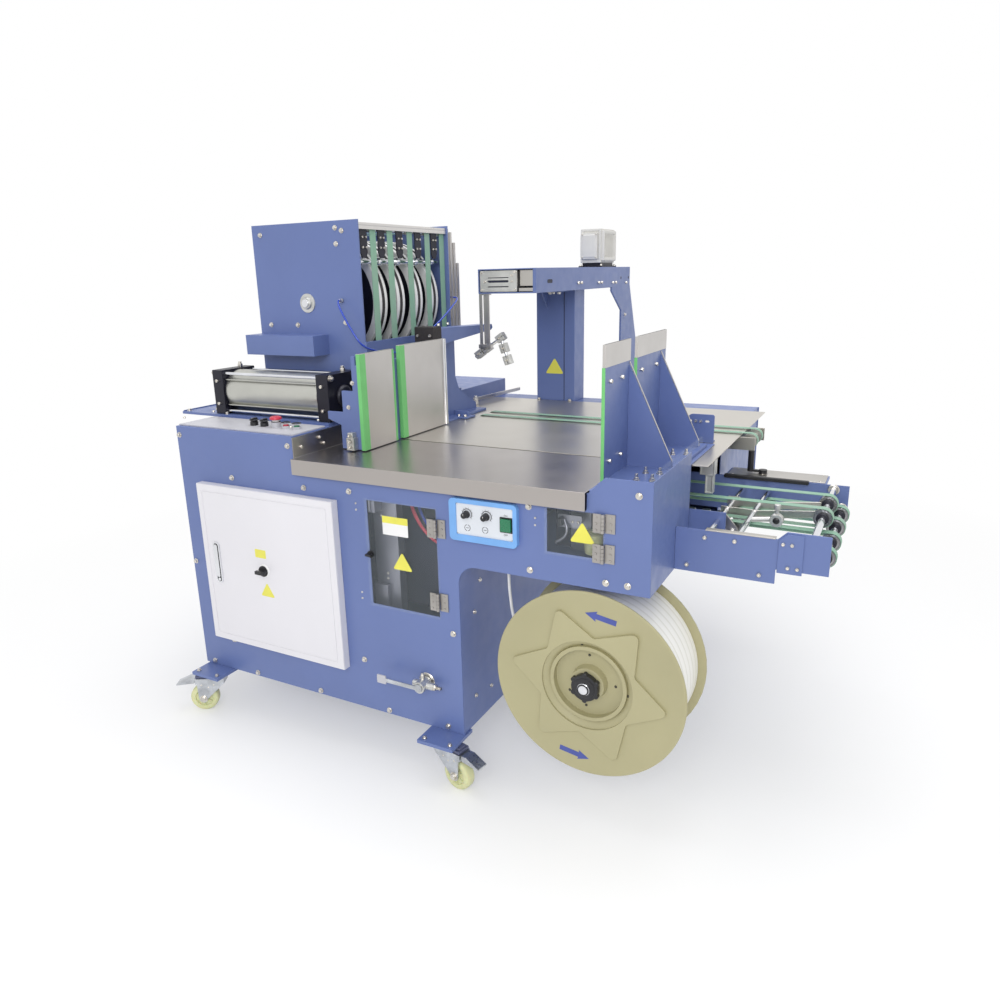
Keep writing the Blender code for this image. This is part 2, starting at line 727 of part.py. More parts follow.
def make_control_box():
    left, right, bottom, top = CONTROL_BOX
    case = box("control_box", (left, -CONTROL_BOX_DEPTH, bottom), (right, -GAP, top), LIGHT_BLUE_PLASTIC)
    pocket = ROCKER
    pocket_floor = 0.005
    cut(
        case,
        box(
            "rocker_pocket",
            (pocket[0] - ROCKER_GAP, -CONTROL_BOX_DEPTH - SHEET, pocket[2] - ROCKER_GAP),
            (pocket[1] + ROCKER_GAP, -pocket_floor, pocket[3] + ROCKER_GAP),
        ),
    )
    for name, x in (("tension_dial", LEFT_DIAL_X), ("heat_dial", RIGHT_DIAL_X)):
        start = (x, -CONTROL_BOX_DEPTH - GAP, DIAL_Z)
        end = (x, start[1] - DIAL_DEPTH, DIAL_Z)
        rod(name, start, end, DIAL_RADIUS, BLACK_PLASTIC, start, segments=20)
    middle_y = -CONTROL_BOX_DEPTH
    pivot = ((ROCKER[0] + ROCKER[1]) / 2, middle_y, (ROCKER[2] + ROCKER[3]) / 2)
    rocker_low = (ROCKER[0], middle_y - ROCKER_DEPTH / 2, ROCKER[2])
    rocker_high = (ROCKER[1], middle_y + ROCKER_DEPTH / 2, ROCKER[3])
    box("power_rocker", rocker_low, rocker_high, GREEN_PLASTIC, pivot)


def make_control_strip():
    """The strip on the cabinet top, with a collar for each button that travels."""
    bottom = CABINET_TOP + GAP
    top = bottom + STRIP_THICK
    left = SHEET + GAP
    strip = box("control_strip", (left, STRIP_FRONT, bottom), (STRIP_RIGHT, STRIP_BACK, top), GREY_PAINT)
    floor = top - STRIP_THICK / 2
    stem = MUSHROOM_RADIUS - COLLAR_WALL - GAP
    collars = (
        ("mushroom", STOP_MUSHROOM_X, stem, 0.016),
        ("stop", STOP_BUTTON_X, BUTTON_RADIUS, 0.007),
        ("start", START_BUTTON_X, BUTTON_RADIUS, 0.007),
    )
    for name, x, radius, height in collars:
        outer = rod(name + "_collar", (x, CONTROL_Y, floor), (x, CONTROL_Y, top + height), radius + COLLAR_WALL)
        join(strip, outer)
    for name, x, radius, height in collars:
        bore_top = (x, CONTROL_Y, top + height + SHEET)
        bore = rod(name + "_bore", (x, CONTROL_Y, floor), bore_top, radius + RUNNING_GAP)
        cut(strip, bore)
    rest = floor + GAP
    mushroom_low = (STOP_MUSHROOM_X, CONTROL_Y, rest + MUSHROOM_TRAVEL)
    head_low = (STOP_MUSHROOM_X, CONTROL_Y, top + 0.016 + MUSHROOM_TRAVEL + GAP)
    head_high = (STOP_MUSHROOM_X, CONTROL_Y, head_low[2] + 0.012)
    stop = rod("emergency_stop", head_low, head_high, MUSHROOM_RADIUS + 0.004, RED_PLASTIC, mushroom_low)
    join(stop, rod("mushroom_stem", mushroom_low, head_high, stem, segments=20))
    for name, x, finish in (
        ("stop_button", STOP_BUTTON_X, RED_PLASTIC),
        ("start_button", START_BUTTON_X, GREEN_PLASTIC),
    ):
        low = (x, CONTROL_Y, rest + BUTTON_TRAVEL)
        high = (x, CONTROL_Y, top + 0.007 + BUTTON_TRAVEL + GAP)
        rod(name, low, high, BUTTON_RADIUS, finish, low, segments=20)
    for name, x in (("left_selector", LEFT_SELECTOR_X), ("right_selector", RIGHT_SELECTOR_X)):
        low = (x, CONTROL_Y, top + GAP)
        knob = rod(name, low, (x, CONTROL_Y, low[2] + 0.010), 0.012, BLACK_PLASTIC, low, segments=20)
        grip_low = (x - 0.004, CONTROL_Y - 0.011, low[2] + 0.006)
        grip_high = (x + 0.004, CONTROL_Y + 0.011, low[2] + 0.022)
        join(knob, box(name + "_grip", grip_low, grip_high))


def make_air_valve():
    """A ball valve on the front face: body, two ports and a lever that turns about Y."""
    back = (VALVE_X, -GAP, VALVE_Z)
    front_y = -GAP - VALVE_DEPTH
    valve = rod("air_valve", back, (VALVE_X, front_y, VALVE_Z), VALVE_RADIUS, ZINC, segments=16)
    port_y = (front_y - GAP) / 2
    port_start = (VALVE_X - 0.030, port_y, VALVE_Z)
    port_end = (VALVE_X + 0.036, port_y, VALVE_Z)
    join(valve, rod("valve_port", port_start, port_end, 0.010, segments=12))
    lever_y = front_y - GAP
    pivot = (VALVE_X, lever_y, VALVE_Z)
    lever_front = lever_y - 0.004
    lever = rod("air_valve_lever", pivot, (VALVE_X, lever_front, VALVE_Z), 0.012, ZINC, pivot, segments=16)
    bar_low = (VALVE_X - LEVER_LENGTH, lever_front, VALVE_Z - 0.006)
    bar_high = (VALVE_X, lever_y - 0.001, VALVE_Z + 0.006)
    join(lever, box("lever_bar", bar_low, bar_high))


# ---------------------------------------------------------------- stacker


def base_top():
    return CABINET_TOP + GAP + BASE_THICK


def make_stacker_frame():
    """The base plate with the hopper's side and back sheets, crossbar and drive cover welded on it."""
    bottom = CABINET_TOP + GAP
    floor = base_top()
    low = (BASE_LEFT, BASE_FRONT, bottom)
    frame = box("stacker_frame", low, (STRIP_RIGHT, BASE_BACK, floor), BLUE_PAINT)
    sunk = floor - BASE_THICK / 2
    near_high = (HOPPER_RIGHT, HOPPER_FRONT + HOPPER_WALL, HOPPER_TOP)
    near = box("hopper_near", (HOPPER_LEFT, HOPPER_FRONT, floor), near_high)
    far_low = (HOPPER_LEFT, HOPPER_BACK - HOPPER_WALL, floor)
    far = box("hopper_far", far_low, (HOPPER_RIGHT, HOPPER_BACK, HOPPER_TOP))
    back_high = (HOPPER_LEFT + HOPPER_WALL, HOPPER_BACK, HOPPER_TOP)
    back = box("hopper_back", (HOPPER_LEFT, HOPPER_FRONT, sunk), back_high)
    bar_low = (HOPPER_RIGHT - HOPPER_WALL, HOPPER_FRONT, CROSSBAR[0])
    bar = box("crossbar", bar_low, (HOPPER_RIGHT + HOPPER_WALL, HOPPER_BACK, CROSSBAR[1]))
    cover_high = (COVER_RIGHT, HOPPER_FRONT + HOPPER_WALL / 2, COVER[1])
    cover = box("drive_cover", (HOPPER_LEFT, COVER_FRONT, COVER[0]), cover_high)
    join(frame, back, near, far, bar, cover)
    hole_start = (DRUM_X, COVER_FRONT, DRUM_Z)
    hole_end = (DRUM_X, HOPPER_FRONT + HOPPER_WALL + SHEET, DRUM_Z)
    cut(frame, rod("drum_hole", hole_start, hole_end, DRUM_SHAFT_RADIUS + RUNNING_GAP))


def make_turning_drum():
    """The shaft and the discs that carry sheets round behind the belts."""
    pivot = (DRUM_X, HOPPER_FRONT, DRUM_Z)
    start = (DRUM_X, HOPPER_FRONT - 0.016, DRUM_Z)
    end = (DRUM_X, HOPPER_BACK - HOPPER_WALL - GAP, DRUM_Z)
    drum = rod("turning_drum", start, end, DRUM_SHAFT_RADIUS, WHITE_PLASTIC, pivot)
    for number, y in enumerate(DRUM_DISCS_Y, 1):
        disc_start = (DRUM_X, y - DRUM_DISC_WIDTH / 2, DRUM_Z)
        disc_end = (DRUM_X, y + DRUM_DISC_WIDTH / 2, DRUM_Z)
        join(drum, rod(f"drum_disc_{number}", disc_start, disc_end, DRUM_DISC_RADIUS, segments=40))


def make_air_hose():
    """The air hose looped from the hopper's side sheet, under the belts, to the guide arm's far side."""
    route = hose_route()
    curve = bpy.data.curves.new("air_hose", "CURVE")
    curve.dimensions = "3D"
    curve.bevel_depth = 0.003
    curve.bevel_resolution = 2
    curve.use_fill_caps = True
    spline = curve.splines.new("POLY")
    spline.points.add(len(route) - 1)
    for place, point in zip(spline.points, route):
        place.co = (*point, 1)
    add_piece("air_hose", curve, BLUE_HOSE)


def smooth_route(points, steps):
    """Points on the smooth curve through the given points (Catmull-Rom)."""
    ends = [points[0] * 2 - points[1], *points, points[-1] * 2 - points[-2]]
    route = []
    for a, b, c, d in zip(ends, ends[1:], ends[2:], ends[3:]):
        for i in range(steps):
            t = i / steps
            route.append(
                0.5 * (2 * b + (c - a) * t + (2 * a - 5 * b + 4 * c - d) * t**2 + (3 * b - a - 3 * c + d) * t**3)
            )
    route.append(points[-1])
    return route


def hose_route():
    near_end = HOPPER_FRONT - GAP
    far_end = HOPPER_BACK + GAP
    bend_points = [
        (0.392, near_end, 1.290),
        (0.392, 0.334, 1.290),
        (0.404, 0.320, 1.272),
        (0.440, 0.316, 1.215),
        (0.476, 0.326, 1.160),
        (0.486, 0.390, 1.135),
        (0.488, 0.470, 1.122),
        (0.491, 0.550, 1.132),
        (0.500, 0.640, 1.165),
        (0.505, 0.740, 1.210),
        (0.500, 0.830, 1.252),
        (0.485, 0.890, 1.275),
        (0.462, 0.904, 1.280),
        (0.440, 0.893, 1.281),
        (0.440, far_end, 1.281),
    ]
    return smooth_route([Vector(p) for p in bend_points], 5)


# ---------------------------------------------------------------- cylinder and pusher


def cylinder_axis():
    return CAP_FRONT + CAP_WIDTH / 2, base_top() + GAP + CAP_HEIGHT / 2


def make_cylinder():
    y, z = cylinder_axis()
    bottom = base_top() + GAP
    caps = {
        "cylinder_rear_cap": (REAR_CAP_X, REAR_CAP_THICK),
        "cylinder_front_cap": (FRONT_CAP_X, FRONT_CAP_THICK),
    }
    for name, (x, thick) in caps.items():
        low = (x, CAP_FRONT, bottom)
        high = (x + thick, CAP_FRONT + CAP_WIDTH, bottom + CAP_HEIGHT)
        cap = box(name, low, high, BLACK_PLASTIC)
        if name == "cylinder_front_cap":
            hole = rod("rod_hole", (x - SHEET, y, z), (x + thick + SHEET, y, z), ROD_RADIUS + RUNNING_GAP)
            cut(cap, hole)
    start = REAR_CAP_X + REAR_CAP_THICK + GAP
    end = FRONT_CAP_X - GAP
    barrel = rod("cylinder_barrel", (start, y, z), (end, y, z), BORE_RADIUS + BARREL_WALL, ALUMINIUM, segments=48)
    bore = rod("cylinder_bore", (start - SHEET, y, z), (end + SHEET, y, z), BORE_RADIUS, segments=48)
    cut(barrel, bore)
    piston_start = start + PISTON_REST
    piston_end = piston_start + PISTON_THICK
    pivot = (piston_start, y, z)
    rod_end = PUSHER_X - GAP
    stem = rod("piston_rod", (piston_start, y, z), (rod_end, y, z), ROD_RADIUS, CHROME, pivot)
    piston = rod("piston", pivot, (piston_end, y, z), BORE_RADIUS - 0.001, segments=48)
    join(stem, piston)


def make_pusher():
    """The blue carrier on the rod's end, with the two stainless faces bolted to it."""
    _, rod_z = cylinder_axis()
    bottom = TABLE_TOP + SHEET
    face = PUSHER_X + PUSHER_BACK_THICK
    front = FRONT_PUSHER[0] + 0.007
    back_low = (PUSHER_X, front, bottom)
    back_high = (face, REAR_PUSHER[1] - 0.008, PUSHER_TOP)
    carrier = box("pusher_carrier", back_low, back_high, BLUE_PAINT)
    steps = [
        (PUSHER_X + 0.002, PUSHER_TOP + 0.025),
        (PUSHER_X - 0.012, PUSHER_TOP + 0.025),
        (PUSHER_X - 0.012, rod_z + 0.032),
        (PUSHER_X - 0.052, rod_z + 0.032),
        (PUSHER_X - 0.052, rod_z - 0.030),
        (PUSHER_X - 0.108, rod_z - 0.030),
        (PUSHER_X - 0.108, rod_z - 0.052),
        (PUSHER_X - 0.062, rod_z - 0.068),
        (PUSHER_X - 0.062, bottom),
        (PUSHER_X + 0.002, bottom),
    ]
    gusset = plate("stepped_gusset", "XZ", [steps], front, 0.008)
    slot_middle = SLOT_FRONT + SLOT_WIDTH / 2
    fin_low = (PUSHER_X, slot_middle - FIN_THICK / 2, TABLE_TOP - TABLE_FLANGE)
    fin_high = (face, slot_middle + FIN_THICK / 2, bottom + SHEET)
    join(carrier, gusset, box("slot_fin", fin_low, fin_high))
    for name, (near, far, top) in (
        ("front_pusher_plate", FRONT_PUSHER),
        ("rear_pusher_plate", REAR_PUSHER),
    ):
        low = (face + GAP, near, TABLE_TOP + PUSHER_LIFT)
        high = (face + GAP + PUSHER_DEPTH, far, top)
        pan = box(name, low, high, STAINLESS)
        hollow_low = (low[0] - SHEET, near + PUSHER_SHEET, low[2] - SHEET)
        hollow_high = (high[0] - PUSHER_SHEET, far - PUSHER_SHEET, top - PUSHER_SHEET)
        cut(pan, box(name + "_hollow", hollow_low, hollow_high))
        web_low = (low[0], (near + far) / 2 - 0.010, low[2] + 0.02)
        web_high = (high[0] - PUSHER_SHEET / 2, (near + far) / 2 + 0.010, PUSHER_TOP - 0.02)
        join(pan, box(name + "_spacer", web_low, web_high))


# ---------------------------------------------------------------- stops, arm, column and beam


def make_stop_bracket(name, place):
    """A stop face on a base plate, with a triangular rib behind it."""
    front, back, rib_y = place
    bottom = TABLE_TOP + SHEET + 2 * GAP
    base_high = (STOP_X + STOP_BASE_LENGTH, back + STOP_PLATE, bottom + STOP_BASE_THICK)
    bracket = box(name, (STOP_X, front - 0.028, bottom), base_high, BLUE_PAINT)
    face = box(name + "_face", (STOP_X, front, bottom), (STOP_X + STOP_PLATE, back, STOP_TOP))
    start = STOP_X + STOP_PLATE / 2
    rib_floor = bottom + STOP_BASE_THICK / 2
    rib_nose = bottom + 0.026
    outline = [
        (start, rib_floor),
        (start + RIB_LENGTH, rib_floor),
        (start + RIB_LENGTH, rib_nose),
        (start, RIB_TOP),
    ]
    rib = plate(name + "_rib", "XZ", [outline], rib_y, RIB_THICK)
    join(bracket, face, rib)


def make_guide_arm():
    """A post bolted to the rear table, with a tapered arm and a buffer block on it."""
    floor = TABLE_TOP + GAP
    foot = box("guide_arm", (0.530, 0.630, floor), (0.588, 0.900, floor + 0.008), BLUE_PAINT)
    post_outline = [
        (0.640, floor + 0.004),
        (0.890, floor + 0.004),
        (0.885, floor + 0.030),
        (0.770, floor + 0.090),
        (0.745, floor + 0.140),
        (0.745, ARM_TOP - 0.030),
        (0.640, ARM_TOP - 0.030),
    ]
    post = plate("arm_post", "YZ", [post_outline], ARM_POST_X, ARM_POST_THICK)
    wedge = [
        (ARM_FRONT - 0.010, ARM_TOP - 0.055),
        (ARM_TIP - 0.010, ARM_TOP - 0.030),
        (ARM_TIP, ARM_TOP - 0.022),
        (ARM_TIP - 0.006, ARM_TOP - 0.010),
        (ARM_FRONT - 0.010, ARM_TOP),
    ]
    arm = plate("arm_wedge", "YZ", [wedge], 0.530, 0.056)
    block = box("arm_block", (0.515, 0.560, ARM_TOP - 0.049), (0.588, ARM_FRONT, ARM_TOP + 0.005))
    join(foot, post, arm, block)


def make_column():
    floor = TABLE_TOP - TABLE_SHEET
    low = (COLUMN_LEFT, COLUMN_FRONT, floor)
    high = (COLUMN_LEFT + COLUMN_WIDTH, COLUMN_FRONT + COLUMN_DEPTH, BEAM_BOTTOM - GAP)
    column = box("column", low, high, BLUE_PAINT)
    hollow_low = (low[0] + BEAM_WALL, low[1] + BEAM_WALL, low[2] - BEAM_WALL)
    hollow_high = (high[0] - BEAM_WALL, high[1] - BEAM_WALL, high[2] + BEAM_WALL)
    cut(column, box("column_hollow", hollow_low, hollow_high))


def make_beam():
    """The tube over the rear table, with the leg that carries its far end."""
    right = BEAM_LEFT + BEAM_WIDTH
    top = BEAM_BOTTOM + BEAM_HEIGHT
    beam = box("beam", (BEAM_LEFT, BEAM_FRONT, BEAM_BOTTOM), (right, BEAM_BACK, top), BLUE_PAINT)
    floor = OUTRIGGER_TOP + GAP
    leg_outline = [
        (LEG_FRONT, floor),
        (LEG_FOOT_BACK, floor),
        (LEG_FOOT_BACK, floor + 0.290),
        (BEAM_BACK, BEAM_BOTTOM + 0.010),
        (LEG_FRONT - 0.120, BEAM_BOTTOM + 0.010),
        (LEG_FRONT - 0.120, BEAM_BOTTOM - 0.015),
        (LEG_FRONT, BEAM_BOTTOM - 0.095),
    ]
    leg = plate("beam_leg", "YZ", [leg_outline], right - LEG_THICK, LEG_THICK)
    foot_low = (BEAM_LEFT + COLUMN_DEPTH, LEG_FRONT, floor)
    foot = box("leg_foot", foot_low, (right, LEG_FOOT_BACK, floor + LEG_THICK))
    join(beam, leg, foot)
    hollow_low = (BEAM_LEFT + BEAM_WALL, BEAM_FRONT - BEAM_WALL, BEAM_BOTTOM + BEAM_WALL)
    hollow_high = (right - LEG_THICK - BEAM_WALL, BEAM_BACK + BEAM_WALL, top - BEAM_WALL)
    cut(beam, box("beam_hollow", hollow_low, hollow_high))
    left, box_right, front, back = MOTOR_BOX
    motor_low = (left, front, top + GAP)
    box("motor_box", motor_low, (box_right, back, top + MOTOR_BOX_HEIGHT), GREY_PAINT)


# ---------------------------------------------------------------- strap reel


def make_reel():
    """Two flanges with the strap wound between them, clamped on a spindle by a nut."""
    centre = (REEL_X, 0, REEL_Z)
    forward = (0, -1, 0)
    bore = SPINDLE_RADIUS + GAP
    front_profile = [
        (bore, 0),
        (REEL_RADIUS, 0),
        (REEL_RADIUS, -FLANGE_THICK),
        (bore, -FLANGE_THICK),
    ]
    turned("reel_front_flange", front_profile, centre, forward, KHAKI_PLASTIC, 48)
    core_front = -FLANGE_THICK - GAP
    back_face = -REEL_WIDTH
    rear_profile = [
        (CORE_RADIUS - CORE_WALL, core_front),
        (CORE_RADIUS, core_front),
        (CORE_RADIUS, back_face + FLANGE_THICK),
        (REEL_RADIUS, back_face + FLANGE_THICK),
        (REEL_RADIUS, back_face),
        (bore, back_face),
        (bore, back_face + FLANGE_THICK),
        (CORE_RADIUS - CORE_WALL, back_face + FLANGE_THICK),
    ]
    turned("reel_rear_flange", rear_profile, centre, forward, KHAKI_PLASTIC, 48)
    coil_back = back_face + FLANGE_THICK + GAP
    coil_profile = [
        (CORE_RADIUS + GAP, core_front),
        (COIL_RADIUS, core_front),
        (COIL_RADIUS, coil_back),
        (CORE_RADIUS + GAP, coil_back),
    ]
    turned("strap_coil", coil_profile, centre, forward, WHITE_PLASTIC, 48)
    clamp = HANGER_THICK
    tail = -REEL_WIDTH - HANGER_WIDTH / 2 + HANGER_CLEAR * 2
    spindle_profile = [
        (0, NUT_DEPTH + 0.010),
        (SPINDLE_RADIUS, NUT_DEPTH + 0.010),
        (SPINDLE_RADIUS, NUT_DEPTH),
        (NUT_RADIUS, NUT_DEPTH),
        (NUT_RADIUS, GAP),
        (SPINDLE_RADIUS, GAP),
        (SPINDLE_RADIUS, -REEL_WIDTH - GAP),
        (NUT_RADIUS, -REEL_WIDTH - GAP),
        (NUT_RADIUS, -REEL_WIDTH - clamp),
        (SPINDLE_RADIUS, -REEL_WIDTH - clamp),
        (SPINDLE_RADIUS, tail),
        (0, tail),
    ]
    turned("reel_spindle", spindle_profile, centre, forward, BLACK_PLASTIC, 24)


def make_strap_tube():
    """The short guide tube that takes the strap up into the arm's underside."""
    bend_points = [
        (1.094, 0.070, ARM_BOTTOM - GAP),
        (1.094, 0.070, 0.610),
        (1.094, 0.072, 0.575),
        (1.096, 0.074, 0.540),
        (1.100, 0.075, 0.505),
        (1.107, 0.075, 0.475),
    ]
    route = smooth_route([Vector(p) for p in bend_points], 4)
    curve = bpy.data.curves.new("strap_guide_tube", "CURVE")
    curve.dimensions = "3D"
    curve.bevel_depth = 0.004
    curve.bevel_resolution = 2
    curve.use_fill_caps = True
    spline = curve.splines.new("POLY")
    spline.points.add(len(route) - 1)
    for place, point in zip(spline.points, route):
        place.co = (*point, 1)
    add_piece("strap_guide_tube", curve, WHITE_PLASTIC)


# ---------------------------------------------------------------- outfeed conveyor


def make_outfeed_frame():
    """Two side plates tied together by bars, with an inner bearing plate and the crank's shelf."""
    front_outline = [
        (BODY_LENGTH + GAP, OUTFEED_BOTTOM),
        (OUTFEED_PLATE_END, OUTFEED_BOTTOM),
        (OUTFEED_PLATE_END, OUTFEED_BOTTOM + 0.036),
        (OUTFEED_END, OUTFEED_BOTTOM + 0.036),
        (OUTFEED_END, OUTFEED_TOP + 0.020),
        (OUTFEED_PLATE_END + 0.020, OUTFEED_TOP + 0.020),
        (OUTFEED_PLATE_END, OUTFEED_TOP),
        (BODY_LENGTH + GAP, OUTFEED_TOP),
    ]
    frame = plate("outfeed_frame", "XZ", [front_outline], OUTFEED_FRONT, OUTFEED_SIDE, BLUE_PAINT)
    rear_outline = rectangle(1.250, OUTFEED_END, 0.662, 0.765)
    rear = plate("outfeed_rear_side", "XZ", [rear_outline], OUTFEED_BACK - OUTFEED_SIDE, OUTFEED_SIDE)
    inner_outline = rectangle(1.250, 1.580, 0.682, 0.760)
    inner = plate("outfeed_inner_side", "XZ", [inner_outline], INNER_PLATE_Y, OUTFEED_SIDE)
    shelf_low = (BODY_LENGTH + 0.012, OUTFEED_BACK - OUTFEED_SIDE / 2, 0.757)
    shelf = box("crank_shelf", shelf_low, (1.780, SHELF_BACK, 0.765))
    join(frame, rear, inner, shelf)
    middle = OUTFEED_SIDE / 2
    ties = ((1.560, 0.735, OUTFEED_FRONT), (1.630, 0.735, OUTFEED_FRONT), (1.320, 0.700, INNER_PLATE_Y))
    for number, (x, z, front) in enumerate(ties, 1):
        start = (x, front + middle, z)
        end = (x, OUTFEED_BACK - middle, z)
        join(frame, rod(f"outfeed_tie_{number}", start, end, 0.007, segments=12))


def make_roller(name, place, pulleys, front, back):
    """A shaft along Y with a pulley for each belt."""
    x, z = place
    pivot = (x, front, z)
    roller = rod(name, pivot, (x, back, z), ROLLER_SHAFT_RADIUS, CHROME, pivot, segments=16)
    for number, y in enumerate(pulleys, 1):
        start = (x, y - PULLEY_WIDTH / 2, z)
        end = (x, y + PULLEY_WIDTH / 2, z)
        join(roller, rod(f"{name}_pulley_{number}", start, end, PULLEY_RADIUS))


def make_outfeed():
    make_outfeed_frame()
    front = OUTFEED_FRONT + OUTFEED_SIDE + GAP
    back = OUTFEED_BACK - OUTFEED_SIDE - GAP
    make_roller("outfeed_upper_roller", UPPER_ROLLER, UPPER_PULLEYS_Y, front, back)
    make_roller("outfeed_lower_roller", LOWER_ROLLER, LOWER_PULLEYS_Y, front, back)
    shelf_top = 0.765 + GAP
    pivot = (CRANK_X, CRANK_Y, shelf_top)
    crank = rod("width_crank", pivot, (CRANK_X, CRANK_Y, shelf_top + 0.014), 0.012, BLACK_PLASTIC, pivot)
    arm_low = (CRANK_X - CRANK_ARM, CRANK_Y - 0.006, shelf_top + 0.006)
    arm = box("crank_arm", arm_low, (CRANK_X, CRANK_Y + 0.006, shelf_top + 0.012))
    grip_x = CRANK_X - CRANK_ARM
    grip_start = (grip_x, CRANK_Y, shelf_top + 0.006)
    grip = rod("crank_grip", grip_start, (grip_x, CRANK_Y, shelf_top + 0.068), 0.009, segments=16)
    join(crank, arm, grip)


def make_table_pulleys():
    """The end pulleys of the two belts that run in the rear table."""
    z = TABLE_TOP + SHEET - TABLE_PULLEY_RADIUS
    front = TABLE_BELTS_Y[0] - LUG_SPREAD + GAP
    back = TABLE_BELTS_Y[1] + LUG_SPREAD - GAP
    pivot = (TABLE_PULLEY_X, front, z)
    end = (TABLE_PULLEY_X, back, z)
    roller = rod("table_belt_roller", pivot, end, ROLLER_SHAFT_RADIUS * 0.8, CHROME, pivot, segments=16)
    for number, y in enumerate(TABLE_BELTS_Y, 1):
        start = (TABLE_PULLEY_X, y - PULLEY_WIDTH / 2, z)
        stop = (TABLE_PULLEY_X, y + PULLEY_WIDTH / 2, z)
        join(roller, rod(f"table_pulley_{number}", start, stop, TABLE_PULLEY_RADIUS))


# ---------------------------------------------------------------- whole machine


def centre_on_origin():
    """Moves the machine so that the middle of its footprint is the scene's origin."""
    graph = bpy.context.evaluated_depsgraph_get()
    points = []
    for obj in MACHINE.objects:
        if obj.type != "EMPTY":
            seen = obj.evaluated_get(graph)
            mesh = seen.to_mesh()
            points += [seen.matrix_world @ vertex.co for vertex in mesh.vertices]
            seen.to_mesh_clear()
    middle_x = (min(p.x for p in points) + max(p.x for p in points)) / 2
    middle_y = (min(p.y for p in points) + max(p.y for p in points)) / 2
    MACHINE_ORIGIN.location = (-middle_x, -middle_y, 0)


def main():
    make_front_panel()
    make_body_shell()
    make_end_panel()
    make_front_table()
    make_rear_table()
    make_base_frame()
    for name, (x, y) in castor_pivots().items():
        make_castor(name, x, y, CASTOR_TURNS[name])
    make_electrical_box()
    make_electrical_door()
    make_clear_doors()
    make_control_box()
    make_control_strip()
    make_air_valve()
    make_stacker_frame()
    make_turning_drum()
    make_air_hose()
    make_cylinder()
    make_pusher()
    make_stop_bracket("front_stop_bracket", FRONT_STOP)
    make_stop_bracket("rear_stop_bracket", REAR_STOP)
    make_guide_arm()
    make_column()
    make_beam()
    make_reel()
    make_strap_tube()
    make_outfeed()
    make_table_pulleys()
    centre_on_origin()


main()
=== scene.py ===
"""Looks of the semi automatic strapping machine, laid out as an add-on.

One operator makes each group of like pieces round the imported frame, and one makes the stage. Sizes are in
metres in the machine's own frame: at(x, y, z) counts from the left end of the body, its front face and the
floor.
"""

import json
import math

import bmesh
import bpy
from bpy.props import FloatProperty, FloatVectorProperty, IntProperty, PointerProperty
from mathutils import Matrix, Vector


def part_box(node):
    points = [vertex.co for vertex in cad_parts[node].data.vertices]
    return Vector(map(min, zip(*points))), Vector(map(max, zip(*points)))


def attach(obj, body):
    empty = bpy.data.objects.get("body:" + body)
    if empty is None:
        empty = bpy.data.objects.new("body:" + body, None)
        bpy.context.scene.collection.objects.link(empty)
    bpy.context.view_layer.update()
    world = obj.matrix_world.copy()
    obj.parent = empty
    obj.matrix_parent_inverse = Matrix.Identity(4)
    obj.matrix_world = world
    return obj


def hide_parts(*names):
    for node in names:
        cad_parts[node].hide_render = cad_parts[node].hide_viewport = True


bl_info = {
    "name": "Strapping machine looks",
    "version": (1, 0, 0),
    "blender": (4, 5, 0),
    "location": "View3D > Sidebar > Strapping",
    "description": "Finishes, fittings, belts and stage of a semi automatic strapping machine",
    "category": "Object",
}

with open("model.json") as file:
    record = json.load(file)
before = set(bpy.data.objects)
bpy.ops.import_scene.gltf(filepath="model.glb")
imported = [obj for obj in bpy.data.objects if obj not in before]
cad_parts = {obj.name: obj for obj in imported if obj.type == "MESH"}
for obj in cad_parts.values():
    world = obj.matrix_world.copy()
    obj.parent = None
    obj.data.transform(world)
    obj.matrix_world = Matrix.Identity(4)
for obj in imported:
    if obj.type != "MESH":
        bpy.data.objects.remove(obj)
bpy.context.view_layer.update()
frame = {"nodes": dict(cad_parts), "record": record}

FRAME_BODY = "machine_frame"
LEFT_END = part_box("front_panel")[0]
TABLE_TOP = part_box("rear_table")[1].z
UP = Vector((0, 0, 1))
FORWARD = Vector((0, -1, 0))
RIGHT = Vector((1, 0, 0))


def at(x, y, z):
    """A point counted from the body's left end, its front face and the floor."""
    return Vector((world_x(x), world_y(y), z))


def world_x(x):
    """World x of a distance from the body's left end."""
    return LEFT_END.x + x


def world_y(y):
    """World y of a distance behind the front face."""
    return LEFT_END.y + y


# ---------------------------------------------------------------- settings


class StrapperFinish(bpy.types.PropertyGroup):
    """Colours that a user would change"""

    paint: FloatVectorProperty(
        name="Body paint", description="Powder coat of the body", subtype="COLOR", size=3,
        default=(0.122, 0.172, 0.385),
    )
    door: FloatVectorProperty(
        name="Door paint", description="Powder coat of the electrical door", subtype="COLOR", size=3,
        default=(0.73, 0.72, 0.755),
    )
    bezel: FloatVectorProperty(
        name="Bezel", description="Plastic round the operator's dials", subtype="COLOR", size=3,
        default=(0.17, 0.38, 0.74),
    )
    reel: FloatVectorProperty(
        name="Reel", description="Moulded flanges of the strap reel", subtype="COLOR", size=3,
        default=(0.41, 0.38, 0.22),
    )
    belt: FloatVectorProperty(
        name="Belts", description="Green cloth-backed belts", subtype="COLOR", size=3,
        default=(0.23, 0.42, 0.305),
    )
    tape: FloatVectorProperty(
        name="Edge tape", description="Green tape along the upright edges", subtype="COLOR", size=3,
        default=(0.16, 0.52, 0.17),
    )


